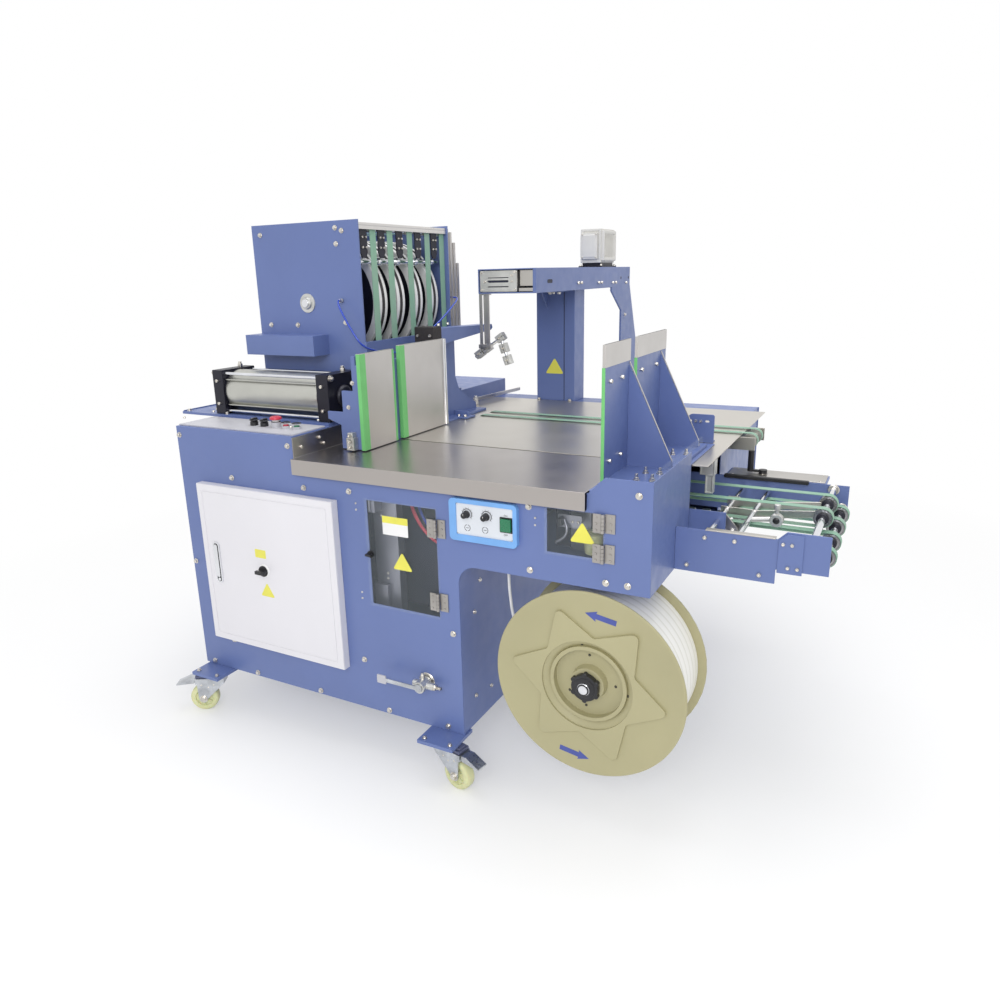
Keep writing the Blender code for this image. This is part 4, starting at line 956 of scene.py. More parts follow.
FRONT_BOLTS = [
    (0.012, 0.909), (0.213, 0.794), (0.489, 0.793), (0.648, 0.8), (0.443, 0.909), (0.04, 0.156),
    (0.142, 0.252), (0.229, 0.156), (0.485, 0.156), (0.737, 0.156), (1.186, 0.822), (1.188, 0.661),
    (1.382, 0.66), (1.456, 0.878), (0.962, 0.443), (0.934, 0.158), (1.435, 0.661), (0.012, 0.5), (0.66, 0.3),
]
SCREW_PAIRS = [(1.203, 0.787), (0.668, 0.76), (0.668, 0.501)]


class STRAPPER_OT_front_bolts(bpy.types.Operator):
    """Sets the bolts and screws of the front panel, the leg side and the castor plates"""

    bl_idname = "strapper.front_bolts"
    bl_label = "Front bolts"

    def execute(self, context):
        bolts("front_panel_bolts", [at(x, 0, z) for x, z in FRONT_BOLTS], FORWARD)
        screws = [at(x, 0, z + step) for x, z in SCREW_PAIRS for step in (-0.009, 0.009)]
        bolts("front_panel_screws", screws, FORWARD, 0.0032, pan_screw)
        side = [at(0.984, y, z) for y, z in ((0.075, 0.48), (0.07, 0.23), (0.16, 0.215), (0.11, 0.56))]
        bolts("leg_side_bolts", side, RIGHT, 0.0045)
        plates = [
            at(x + dx, y + dy, 0.144)
            for x in (0.0675, 0.9335)
            for y, dy in ((-0.0195, -0.04),)
            for dx in (-0.04, 0.04)
        ]
        bolts("castor_plate_bolts", [p + UP * 0.0003 for p in plates], UP, 0.0052)
        return {"FINISHED"}


class STRAPPER_OT_electrical_door(bpy.types.Operator):
    """Makes the white door with its bead, pull, isolator and blank stickers, and the gear behind it"""

    bl_idname = "strapper.electrical_door"
    bl_label = "Electrical door"

    def execute(self, context):
        low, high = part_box("electrical_door")
        face = low.y
        skin("electrical_door", white_paint(), 0.0015)
        groove = self.bead(low, high, face)
        piece(groove, "door_bead", white_paint(), "electrical_door")
        self.make_pull(face)
        self.make_isolator(face)
        label = rounded_rectangle(world_x(0.3), world_x(0.342), 0.566, 0.592, 0.002)
        sticker("door_name_plate", label, face - 0.0012, "electrical_door")
        sticker("door_sign", triangle(world_x(0.3345), 0.445, 0.05), face - 0.0012, "electrical_door")
        self.make_gear()
        return {"FINISHED"}

    def bead(self, low, high, face):
        """A raised field inside a narrow groove, as a pressed door has."""
        inset = 0.02
        outer = rounded_rectangle(low.x + inset, high.x - inset, low.z + inset, high.z - inset, 0.004)
        inner = rounded_rectangle(
            low.x + inset + 0.0035, high.x - inset - 0.0035, low.z + inset + 0.0035,
            high.z - inset - 0.0035, 0.003,
        )
        rim = plate(
            "XZ",
            [rounded_rectangle(low.x + 0.001, high.x - 0.001, low.z + 0.001, high.z - 0.001, 0.003), outer],
            face - 0.0012, 0.0014, 0.0005, 2,
        )
        field = plate("XZ", [inner], face - 0.0012, 0.0014, 0.0005, 2)
        return join(rim, field)

    def make_pull(self, face):
        """An upright chrome pull sunk in an oval frame."""
        x = world_x(0.142)
        bottom, top = 0.458, 0.592
        frame_outline = rounded_rectangle(x - 0.013, x + 0.013, bottom, top, 0.0125, 8)
        hollow = rounded_rectangle(x - 0.0085, x + 0.0085, bottom + 0.005, top - 0.005, 0.008, 8)
        rim = plate("XZ", [frame_outline, hollow], face - 0.0052, 0.004, 0.0012, 3)
        piece(rim, "door_pull_frame", chrome(), "electrical_door")
        well = plate("XZ", [hollow], face - 0.0016, 0.0004, 0)
        piece(well, "door_pull_well", black_plastic(), "electrical_door")
        grip = rounded_rectangle(x - 0.0065, x + 0.0065, bottom + 0.02, top - 0.008, 0.006, 8)
        lever = plate("XZ", [grip], face - 0.007, 0.005, 0.0018, 3)
        lock = cylinder(
            (x, face - 0.0062, bottom + 0.012), (x, face - 0.0016, bottom + 0.012), 0.0055, 0.0008, 32
        )
        piece(join(lever, lock), "door_pull_lever", chrome(), "electrical_door")

    def make_isolator(self, face):
        centre = at(0.33, 0, 0.527)
        centre.y = face
        base = turned([(0, 0.006), (0.015, 0.006), (0.019, 0.0045), (0.0205, 0.0015), (0.0205, 0), (0, 0)],
                      centre, FORWARD, 48)
        piece(base, "isolator_base", white_plastic(), "electrical_door")
        skin("isolator_knob", black_plastic(), 0.0012)
        low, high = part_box("isolator_knob")
        mark = block(
            (centre.x - 0.0008, low.y - 0.0003, high.z - 0.008),
            (centre.x + 0.0008, low.y + 0.0004, high.z - 0.002), 0.0001,
        )
        piece(mark, "isolator_mark", white_plastic(), "isolator_knob")

    def make_gear(self):
        """Rails with blank switchgear, seen when the door is open."""
        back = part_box("electrical_box")[1].y - 0.006
        rails = [
            block(
                at(0.12, 0, z - 0.0175) + Vector((0, back - LEFT_END.y - 0.008, 0)),
                at(0.57, 0, z + 0.0175) + Vector((0, back - LEFT_END.y - 0.001, 0)),
            )
            for z in (0.4, 0.56)
        ]
        piece(join(rails), "gear_rails", bolt_zinc())
        units, levers, wires = [], [], []
        for row, z in enumerate((0.4, 0.56)):
            for column in range(7):
                x = 0.145 + column * 0.058
                width = 0.052 if (row + column) % 3 else 0.036
                depth = 0.06 if column % 2 else 0.075
                low = at(x, 0, z - 0.04)
                low.y = back - 0.008 - depth
                high = at(x + width, 0, z + 0.04)
                high.y = back - 0.008
                units.append(face_panel(low, high, FORWARD, 0.01, -0.006))
                lever_low = Vector((low.x + width / 2 - 0.004, low.y - 0.014, z - 0.006))
                levers.append(block(lever_low, lever_low + Vector((0.008, 0.009, 0.014)), 0.0015))
                wires.append(
                    pipe(
                        [
                            (low.x + width / 2, back - 0.03, z + 0.04),
                            (low.x + width / 2, back - 0.045, z + 0.06),
                            (low.x + width / 2 + 0.012, back - 0.03, z + 0.078),
                        ],
                        0.0014, 4, 2,
                    )
                )
        piece(join(units), "gear_units", grey_paint())
        piece(join(levers), "gear_levers", black_plastic())
        piece(join(wires), "gear_wires", red_plastic())
        ducts = [
            face_panel(
                Vector((world_x(0.115), back - 0.045, z - 0.018)),
                Vector((world_x(0.575), back - 0.001, z + 0.018)), FORWARD, 0.005, 0.003,
            )
            for z in (0.318, 0.48, 0.665)
        ]
        piece(join(ducts), "gear_ducts", white_plastic())


def butt_hinge(name, x, z, height, face, moving_body):
    """Two leaves and a knuckle at the window's right edge: one on the panel, one on the clear door."""
    y = world_y(0)
    fixed = block((x + 0.004, y - 0.0032, z - height / 2), (x + 0.028, y - 0.0002, z + height / 2), 0.0006)
    moving = block(
        (x - 0.024, face - 0.0032, z - height / 2), (x - 0.004, face - 0.0002, z + height / 2), 0.0006
    )
    knuckles = []
    for i in range(5):
        start = z - height / 2 + i * height / 5
        pin = cylinder(
            (x, face - 0.003, start + 0.0003), (x, face - 0.003, start + height / 5 - 0.0003), 0.0048,
            0.0006, 24,
        )
        knuckles.append(pin)
    screws_fixed = copies(
        pan_screw(0.0032), [Vector((x + 0.018, y - 0.0032, z + s * height / 3)) for s in (-1, 0, 1)],
        FORWARD,
    )
    screws_moving = copies(
        pan_screw(0.0032), [Vector((x - 0.016, face - 0.0032, z + s * height / 3)) for s in (-1, 0, 1)],
        FORWARD,
    )
    piece(join(fixed, screws_fixed, knuckles[0::2]), name + "_fixed_leaf", hinge_steel())
    piece(
        join(moving, screws_moving, knuckles[1::2]), name + "_moving_leaf", hinge_steel(),
        moving_body,
    )


def hinge_steel():
    return surface("hinge_steel", (0.4, 0.38, 0.36), 0.38, 0.9, (700, 700, 30), 0.2, 0.1, 20, 0.08)


def dim_steel():
    return surface("dim_inner_steel", (0.3, 0.305, 0.35), 0.4, 0.85, (700, 700, 8), 0.2, 0.12, 5, 0.08)


class STRAPPER_OT_windows(bpy.types.Operator):
    """Fits the two clear doors with hinges, latch and blank stickers, and what shows behind them"""

    bl_idname = "strapper.windows"
    bl_label = "Clear doors"

    def execute(self, context):
        for node in ("large_clear_door", "small_clear_door"):
            skin(node, clear_sheet(), 0.0008)
        large_low, large_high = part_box("large_clear_door")
        small_low, small_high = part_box("small_clear_door")
        butt_hinge("large_hinge_top", large_high.x - 0.004, 0.732, 0.05, large_low.y, "large_clear_door")
        butt_hinge("large_hinge_foot", large_high.x - 0.004, 0.528, 0.05, large_low.y, "large_clear_door")
        butt_hinge("small_hinge_top", small_high.x - 0.004, 0.805, 0.046, small_low.y, "small_clear_door")
        butt_hinge("small_hinge_foot", small_high.x - 0.004, 0.732, 0.046, small_low.y, "small_clear_door")
        skin("large_door_latch", black_plastic(), 0.0012)
        label = rounded_rectangle(world_x(0.757), world_x(0.838), 0.695, 0.747, 0.001)
        strip = rounded_rectangle(world_x(0.757), world_x(0.838), 0.728, 0.747, 0.001)
        sticker("window_label", label, large_low.y, "large_clear_door", white_plastic())
        sticker("window_label_band", strip, large_low.y - 0.0004, "large_clear_door", thickness=0.0002)
        sticker("window_sign", triangle(world_x(0.815), 0.6, 0.058), large_low.y, "large_clear_door")
        sticker("small_window_sign", triangle(world_x(1.325), 0.752, 0.058), small_low.y, "small_clear_door")
        self.large_inside()
        self.small_inside()
        return {"FINISHED"}

    def large_inside(self):
        """A bright mounting strip at the left, a dark back plate that is painted shade of the interior, and
        the wiring loom.
        """
        # The dark back plate is painted shade of the interior behind the clear door.
        back = block(at(0.64, 0.15, 0.43), at(0.965, 0.156, 0.85), 0.001)
        piece(back, "window_back_plate", black_and_painted_shade())
        strip = plate(
            "XZ",
            [
                [
                    (world_x(0.69), 0.44), (world_x(0.768), 0.44), (world_x(0.768), 0.812),
                    (world_x(0.75), 0.835), (world_x(0.69), 0.835),
                ]
            ],
            world_y(0.045), 0.0025, 0.0006,
        )
        folded = block(at(0.766, 0.045, 0.44), at(0.7685, 0.075, 0.812), 0.0006)
        lower = block(at(0.69, 0.03, 0.44), at(0.735, 0.044, 0.53), 0.0012)
        upper = face_panel(at(0.7, 0.01, 0.745), at(0.722, 0.044, 0.8), FORWARD, 0.003, 0.002)
        piece(join(strip, folded, lower, upper), "window_inner_strip", dim_steel())
        screws = [at(x, 0.045, z) for x, z in ((0.716, 0.728), (0.716, 0.744), (0.728, 0.545), (0.728, 0.56))]
        bolts("window_inner_screws", screws, FORWARD, 0.0042, pan_screw)
        box_unit = face_panel(at(0.82, 0.09, 0.69), at(0.905, 0.148, 0.8), FORWARD, 0.006, 0.004)
        piece(box_unit, "window_inner_unit", black_plastic())
        reds, blues = [], []
        for i in range(3):
            side = 0.004 * i
            reds.append(
                pipe(
                    [
                        at(0.778 + side, 0.1, 0.8), at(0.79 + side, 0.08, 0.76), at(0.83 + side, 0.07, 0.7),
                        at(0.88 + side, 0.08, 0.655), at(0.935, 0.11, 0.635 - side),
                    ],
                    0.0018, 6, 2,
                )
            )
        for i in range(2):
            side = 0.005 * i
            blues.append(
                pipe(
                    [
                        at(0.8 + side, 0.11, 0.812), at(0.812 + side, 0.085, 0.76),
                        at(0.845 + side, 0.078, 0.705), at(0.89 + side, 0.088, 0.665),
                        at(0.938, 0.115, 0.648 - side),
                    ],
                    0.0018, 6, 2,
                )
            )
        piece(join(reds), "window_red_wires", red_plastic())
        piece(join(blues), "window_blue_wires", blue_hose())

    def small_inside(self):
        """A steel lever on its bracket and a pale tension cup over a dark plate that is painted shade of the
        interior.
        """
        # The dark back plate is painted shade of the interior behind the small clear door.
        back = block(at(1.205, 0.12, 0.69), at(1.44, 0.126, 0.85), 0.001)
        piece(back, "small_window_back_plate", black_and_painted_shade())
        bracket = plate("XZ", [rounded_rectangle(world_x(1.24), world_x(1.302), 0.765, 0.797, 0.003)],
                        world_y(0.05), 0.003, 0.0006)
        tall = block(at(1.262, 0.08, 0.7), at(1.315, 0.084, 0.845), 0.0008)
        arm = pipe(
            [
                at(1.258, 0.048, 0.785), at(1.268, 0.04, 0.765), at(1.262, 0.038, 0.745),
                at(1.24, 0.036, 0.728),
            ],
            0.0038, 6, 4,
        )
        piece(join(bracket, tall, arm), "small_window_lever", dim_steel())
        bolts(
            "small_window_screws", [at(1.278, 0.05, 0.781), at(1.293, 0.05, 0.781)], FORWARD, 0.004,
            pan_screw,
        )
        knob = block(at(1.246, 0.03, 0.772), at(1.258, 0.05, 0.792), 0.003)
        piece(knob, "small_window_knob", black_plastic())
        cup = turned(
            [
                (0.01, 0), (0.022, 0), (0.024, 0.006), (0.026, 0.042), (0.03, 0.044), (0.03, 0.05),
                (0.026, 0.052), (0.01, 0.052),
            ],
            at(1.33, 0.062, 0.706), UP, 40,
        )
        piece(cup, "small_window_cup", cream_nylon())


class STRAPPER_OT_control_box(bpy.types.Operator):
    """Makes the operator's panel: bezel, face, dials with scales and the power rocker"""

    bl_idname = "strapper.control_box"
    bl_label = "Control box"

    def execute(self, context):
        low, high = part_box("control_box")
        y = world_y(0)
        outer = rounded_rectangle(low.x, high.x, low.z, high.z, 0.012, 8)
        inner = rounded_rectangle(world_x(0.991), world_x(1.149), 0.731, 0.813, 0.003)
        bezel = plate("XZ", [outer, inner], low.y, y - 0.0002 - low.y, 0.0045, 4)
        piece(bezel, "control_bezel", bezel_plastic(), replaces=("control_box",))
        rocker_low, rocker_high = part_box("power_rocker")
        hole = rounded_rectangle(
            rocker_low.x - 0.0008, rocker_high.x + 0.0008, rocker_low.z - 0.0008, rocker_high.z + 0.0008,
            0.001,
        )
        face = plate("XZ", [rounded_rectangle(world_x(0.99), world_x(1.15), 0.73, 0.814, 0.003), hole],
                     low.y + 0.003, 0.002, 0.0003)
        piece(face, "control_face", plate_white())
        front = low.y + 0.003
        surround = rounded_rectangle(rocker_low.x - 0.0035, rocker_high.x + 0.0035, rocker_low.z - 0.0035,
                                     rocker_high.z + 0.0035, 0.002)
        piece(
            plate("XZ", [surround, hole], front - 0.0016, 0.0014, 0.0005, 2), "rocker_surround",
            black_plastic(),
        )
        skin("power_rocker", green_plastic(), 0.0012)
        for node, x in (("tension_dial", 1.022), ("heat_dial", 1.077)):
            self.make_dial(node, at(x, 0, 0.786), front)
        self.make_marks(front)
        corners = [Vector((world_x(x), front, z)) for x in (0.9935, 1.1465) for z in (0.7335, 0.8105)]
        bolts("control_face_screws", corners, FORWARD, 0.002, pan_screw)
        return {"FINISHED"}

    def make_dial(self, node, centre, front):
        low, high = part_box(node)
        body = "tension_dial" if node == "tension_dial" else "heat_dial"
        base = Vector((centre.x, high.y, centre.z))
        reach = high.y - low.y
        radius = (high.x - low.x) / 2
        skirt = turned(
            [
                (0, reach - 0.0005), (radius * 0.62, reach - 0.0005), (radius * 0.68, reach - 0.0015),
                (radius * 0.74, 0.0045), (radius * 0.96, 0.0025), (radius, 0.0012), (radius, 0), (0, 0),
            ],
            base, FORWARD, 40,
        )
        ribs = []
        for i in range(14):
            angle = 2 * math.pi * i / 14
            place = base + Vector((math.cos(angle), 0, math.sin(angle))) * radius * 0.7
            ribs.append(
                cylinder(place + FORWARD * 0.0045, place + FORWARD * (reach - 0.001), 0.0007, 0.0002, 8)
            )
        piece(join(skirt, ribs), node + "_knob", black_plastic(), body, (node,))
        tip = base + FORWARD * reach
        mark = block(
            tip + Vector((-0.0005, 0.0002, radius * 0.15)), tip + Vector((0.0005, 0.0008, radius * 0.6)),
            0.0001,
        )
        piece(mark, node + "_mark", white_plastic(), body)
        ring = plate(
            "XZ",
            [
                [
                    *arc((centre.x, centre.z), radius * 1.42, -45, 190, 30),
                    *reversed(arc((centre.x, centre.z), radius * 1.24, -45, 190, 30)),
                ]
            ],
            front - 0.0002, 0.0003, 0,
        )
        ticks = []
        for i in range(9):
            angle = math.radians(-40 + i * 28)
            out = Vector((math.cos(angle), 0, math.sin(angle)))
            middle = Vector((centre.x, front, centre.z)) + out * radius * 1.62
            tick = block((-0.0013, -0.0002, -0.0003), (0.0013, 0.0001, 0.0003), 0)
            tick.rotation_euler = (0, -angle, 0)
            tick.location = middle
            ticks.append(settle(tick))
        piece(join(ring, ticks), node + "_scale", black_plastic())

    def make_marks(self, front):
        """Ring marks under the dials and short plain bars beside the rocker."""
        marks = []
        for x in (1.022, 1.072):
            centre = (world_x(x), 0.75)
            marks.append(
                plate(
                    "XZ",
                    [arc(centre, 0.0085, 100, 260, 20) + list(reversed(arc(centre, 0.0072, 100, 260, 20)))],
                    front - 0.0002, 0.0003, 0,
                )
            )
            marks.append(
                plate(
                    "XZ",
                    [arc(centre, 0.0085, -80, 80, 20) + list(reversed(arc(centre, 0.0072, -80, 80, 20)))],
                    front - 0.0002, 0.0003, 0,
                )
            )
            marks.append(
                block(
                    Vector((centre[0] - 0.004, front - 0.0002, 0.7494)),
                    Vector((centre[0] + 0.004, front + 0.0001, 0.7506)), 0,
                )
            )
        piece(join(marks), "control_face_marks", black_plastic())
        words = []
        for word, x, z in (("ON", 1.1245, 0.7925), ("OFF", 1.1235, 0.743)):
            data = bpy.data.curves.new("word", "FONT")
            data.body = word
            data.size = 0.0062
            data.extrude = 0.0001
            obj = bpy.data.objects.new("word", data)
            bpy.context.scene.collection.objects.link(obj)
            obj.rotation_euler = (math.pi / 2, 0, 0)
            obj.location = Vector((world_x(x), front - 0.0001, z))
            activate(obj)
            bpy.ops.object.convert(target="MESH")
            words.append(settle(bpy.context.object))
        piece(join(words), "rocker_words", black_plastic())


class STRAPPER_OT_control_strip(bpy.types.Operator):
    """Makes the grey strip on the cabinet with its selectors, mushroom button and push buttons"""

    bl_idname = "strapper.control_strip"
    bl_label = "Control strip"

    def execute(self, context):
        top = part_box("control_strip")[1].z
        skin("control_strip", grey_paint(), 0.0006)
        corners = [at(x, y, 0) + UP * top for x in (0.016, 0.442) for y in (0.022, 0.138)]
        bolts("control_strip_screws", corners, UP, 0.0038, cap_bolt)
        rings = []
        for x in (0.245, 0.285, 0.332, 0.37, 0.41):
            rings.append(
                turned(
                    [(0.0085, 0.002), (0.0125, 0.002), (0.0142, 0.0008), (0.0142, 0), (0.0085, 0)],
                    at(x, 0.08, 0) + UP * top, UP, 36,
                )
            )
        piece(join(rings), "push_button_rings", black_plastic())
        for node in ("left_selector", "right_selector"):
            skin(node, black_plastic(), 0.0012)
            low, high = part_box(node)
            middle = (low + high) / 2
            mark = block(
                (middle.x - 0.0006, low.y + 0.001, high.z - 0.0003),
                (middle.x + 0.0006, low.y + 0.007, high.z + 0.0003), 0.0001,
            )
            piece(mark, node + "_mark", white_plastic(), node)
        self.make_mushroom()
        for node, finish, slot in (
            ("stop_button", red_plastic, "red_plastic"), ("start_button", green_plastic, "green_plastic")
        ):
            skin(node, finish(), 0.001)
        return {"FINISHED"}

    def make_mushroom(self):
        low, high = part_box("emergency_stop")
        radius = (high.x - low.x) / 2
        height = high.z - low.z
        centre = Vector(((low.x + high.x) / 2, (low.y + high.y) / 2, low.z))
        collar = turned([(0, 0), (radius * 0.62, 0), (radius * 0.62, height * 0.67), (0, height * 0.67)],
                        centre, UP, 40)
        piece(collar, "emergency_stop_collar", white_plastic(), "emergency_stop")
        cap = turned(
            [
                (0, height * 0.662), (radius * 0.92, height * 0.662), (radius, height * 0.71),
                (radius, height * 0.79), (radius * 0.88, height * 0.92), (radius * 0.6, height * 0.98),
                (0, height),
            ],
            centre, UP, 48,
        )
        piece(cap, "emergency_stop_cap", red_plastic(), "emergency_stop", ("emergency_stop",))


# ---------------------------------------------------------------- hopper


HOPPER_BELTS_Y = (0.443, 0.533, 0.645, 0.752, 0.846)
HOPPER_BELT_BACK = 0.06
HOPPER_BELT_FRONT = 0.455
HOPPER_BELT_LEVELS = (1.0, 1.506)
HOPPER_BELT_WIDTH = 0.03
DRUM_DISCS_Y = (0.49, 0.59, 0.698, 0.798)
DRUM_X = 0.253
DRUM_Z = 1.283


def mouth_belt(y, thickness):
    """A belt loop that runs up the hopper's mouth and back behind the drum, round four corner pulleys."""
    back, front = at(HOPPER_BELT_BACK, y, 0), at(HOPPER_BELT_FRONT, y, 0)
    bottom, top = HOPPER_BELT_LEVELS
    outer = rounded_rectangle(back.x, front.x, bottom, top, 0.0095, 8)
    inner = rounded_rectangle(
        back.x + thickness, front.x - thickness, bottom + thickness, top - thickness, 0.0079, 8
    )
    return plate("XZ", [outer, inner], front.y - HOPPER_BELT_WIDTH / 2, HOPPER_BELT_WIDTH, 0.0003)


def grooved_pulley(centre, radius, width, bore=0.006):
    """A crowned pulley with two rims, along Y."""
    half = width / 2
    profile = [
        (bore, -half), (radius * 0.55, -half), (radius * 0.6, -half + 0.002),
        (radius * 0.86, -half + 0.002), (radius * 0.9, -half), (radius - 0.0006, -half), (radius, 0),
        (radius - 0.0006, half), (radius * 0.9, half), (radius * 0.86, half - 0.002),
        (radius * 0.6, half - 0.002), (radius * 0.55, half), (bore, half),
    ]
    return turned(profile, centre, FORWARD, 40)


class STRAPPER_OT_hopper(bpy.types.Operator):
    """Fits the hopper's belts, rails, brackets, end plates, bolts and shaft boss"""

    bl_idname = "strapper.hopper"
    bl_label = "Hopper"

    def execute(self, context):
        skin("stacker_frame", blue_paint(), 0.001)
        thick = context.scene.strapper_sizes.belt_thickness
        belts = [mouth_belt(y, thick) for y in HOPPER_BELTS_Y]
        piece(join(belts), "hopper_belts", belt_cloth())
        pulleys = [
            grooved_pulley(at(0.4455, y, z), 0.0078, 0.034, 0.0044)
            for y in HOPPER_BELTS_Y
            for z in (1.4965, 1.0095)
        ]
        piece(join(pulleys), "hopper_belt_pulleys", aluminium())
        shafts = [
            cylinder(at(0.4455, 0.3592, z), at(0.4455, 0.8658, z), 0.0045, 0.0005, 20)
            for z in (1.4965, 1.0095)
        ]
        shafts.append(cylinder(at(0.432, 0.3592, 1.404), at(0.432, 0.8658, 1.404), 0.008, 0.0005, 28))
        shafts += [
            turned(
                [
                    (0.008, -0.01), (0.013, -0.01), (0.014, -0.007), (0.014, 0.007), (0.013, 0.01),
                    (0.008, 0.01),
                ],
                at(0.432, y, 1.404), FORWARD, 32,
            )
            for y in DRUM_DISCS_Y
        ]
        piece(join(shafts), "hopper_cross_shafts", chrome())
        rail = face_panel(at(0.416, 0.3592, 1.5085), at(0.462, 0.8658, 1.5165), UP, 0.004, 0.0015)
        lip = block(at(0.4575, 0.3592, 1.497), at(0.462, 0.8658, 1.5085), 0.0008)
        piece(join(rail, lip), "hopper_top_rail", steel_along_y())
        hangers = []
        for y in (0.398, *DRUM_DISCS_Y):
            web = plate(
                "YZ",
                [
                    [
                        (world_y(y - 0.018), 1.5085), (world_y(y - 0.018), 1.43),
                        (world_y(y - 0.01), 1.414), (world_y(y + 0.01), 1.414), (world_y(y + 0.018), 1.43),
                        (world_y(y + 0.018), 1.5085),
                    ]
                ],
                world_x(0.449), 0.004, 0.0008,
            )
            foot = block(at(0.42, y - 0.016, 1.502), at(0.45, y + 0.016, 1.5083), 0.0008)
            hangers += [web, foot]
        piece(join(hangers), "hopper_rail_hangers", black_anodised())
        heads = [
            at(0.453, y + s, z)
            for y in (0.398, *DRUM_DISCS_Y)
            for s in (-0.009, 0.009)
            for z in (1.445, 1.475)
        ]
        bolts("hopper_hanger_screws", heads, RIGHT, 0.0032, cap_bolt)
        panel_bolts = [
            at(x, 0.354, z)
            for x, z in (
                (0.08, 1.494), (0.382, 1.503), (0.406, 1.494), (0.382, 1.457), (0.092, 1.215),
                (0.205, 1.215), (0.398, 1.224),
            )
        ]
        bolts("hopper_panel_bolts", panel_bolts, FORWARD, 0.0058)
        boss = turned(
            [
                (0.0125, 0.0105), (0.0165, 0.0105), (0.0185, 0.0085), (0.0195, 0.0045), (0.029, 0.0035),
                (0.03, 0.002), (0.03, 0), (0.0125, 0),
            ],
            at(DRUM_X, 0.354, DRUM_Z), FORWARD, 48,
        )
        piece(boss, "drum_bearing_cover", cast_aluminium())
        self.end_plates()
        self.tray_and_base()
        self.drum()
        return {"FINISHED"}

    def end_plates(self):
        """Bright guide plates at the far end of the hopper's mouth."""
        far = 0.8713
        tops = ((0.88, 1.515), (0.903, 1.505), (0.926, 1.47), (0.948, 1.4))
        strips = []
        for y, top in tops:
            strips.append(block(at(0.44, y, 1.175), at(0.462, y + 0.0022, top), 0.0005))
            strips.append(block(at(0.4595, y - 0.011, 1.175), at(0.4615, y + 0.0005, top), 0.0005))
        ties = [
            cylinder(at(0.448, far, z), at(0.448, 0.952, z), 0.004, 0.0005, 16)
            for z in (1.205, 1.3, 1.385)
        ]
        flange = block(at(0.385, far + 0.0002, 1.19), at(0.455, far + 0.0024, 1.515), 0.0005)
        piece(join(strips, ties, flange), "hopper_end_plates", steel_upright())
        bolts("hopper_end_bolts", [at(0.398, far + 0.0024, z) for z in (1.215, 1.35, 1.49)], -FORWARD, 0.0045)

    def tray_and_base(self):
        base = [
            at(x, y, 0.9443)
            for x, y in (
                (-0.142, 0.18), (-0.142, 0.93), (0.03, 0.93), (0.17, 0.93), (0.425, 0.93), (-0.142, 0.56),
                (0.03, 0.18),
            )
        ]
        bolts("hopper_base_bolts", base, UP, 0.0062)
        lip = block(at(-0.158, 0.168, 0.9444), at(-0.155, 0.948, 0.9475), 0.0008)
        piece(lip, "hopper_base_lip", blue_paint())
        valve = join(
            block(at(0.06, 0.7, 0.9444), at(0.14, 0.78, 0.985), 0.003),
            face_panel(at(0.066, 0.706, 0.985), at(0.134, 0.774, 1.005), UP, 0.008, 0.004),
            cylinder(at(0.045, 0.74, 0.965), at(0.062, 0.74, 0.965), 0.007, 0.001, 6),
        )
        piece(valve, "air_manifold", black_anodised())

    def drum(self):
        """White discs with a dark rubber tyre in the middle of each rim, on their shaft."""
        low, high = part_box("turning_drum")
        radius = (high.z - low.z) / 2 - 0.0002
        discs, webs, tyres = [], [], []
        for y in DRUM_DISCS_Y:
            centre = at(DRUM_X, y, DRUM_Z)
            half = 0.0223
            groove = 0.0078
            profile = [
                (radius - 0.027, -half + 0.004), (radius - 0.025, -half), (radius - 0.0012, -half),
                (radius, -half + 0.0012), (radius, -groove), (radius - 0.004, -groove),
                (radius - 0.004, groove), (radius, groove), (radius, half - 0.0012),
                (radius - 0.0012, half), (radius - 0.025, half), (radius - 0.027, half - 0.004),
            ]
            discs.append(turned(profile, centre, FORWARD, 120))
            # The webs are dark: the drum's own dark hub parts, and painted shade on the recessed sides of the
            # discs.
            web = [(0.0126, -half), (0.034, -half), (0.036, 0.007 - half), (radius - 0.0265, 0.007 - half),
                   (radius - 0.0265, half - 0.007), (0.036, half - 0.007), (0.034, half), (0.0126, half)]
            webs.append(turned(web, centre, FORWARD, 96))
            ring = [
                (radius - 0.0036, -groove + 0.0002), (radius + 0.0001, -groove + 0.0002),
                (radius + 0.0001, groove - 0.0002), (radius - 0.0036, groove - 0.0002),
            ]
            tyres.append(turned(ring, centre, FORWARD, 120))
        piece(join(discs), "drum_discs", white_plastic(), "turning_drum", ("turning_drum",))
        piece(join(webs), "drum_webs", black_anodised(), "turning_drum")
        piece(join(tyres), "drum_tyres", rubber(), "turning_drum")
        shaft = cylinder(
            (world_x(DRUM_X), low.y, DRUM_Z), (world_x(DRUM_X), high.y, DRUM_Z), 0.0125, 0.0012, 40
        )
        keys = [
            block(
                at(DRUM_X - 0.003, y - 0.03, DRUM_Z + 0.009),
                at(DRUM_X + 0.003, y - 0.0225, DRUM_Z + 0.0165), 0.0004,
            )
            for y in DRUM_DISCS_Y
        ]
        piece(join(shaft, keys), "drum_shaft", chrome(), "turning_drum")


def rubber():
    return surface("dark_rubber", (0.03, 0.026, 0.028), 0.72, texture=0.35, mottle=0.2, patch=25)


def steel_along_y():
    return brushed("stainless_brushed_across", (1200, 6, 1200), (0.66, 0.64, 0.62), 0.3, 0.1)


# ---------------------------------------------------------------- cylinder and pusher


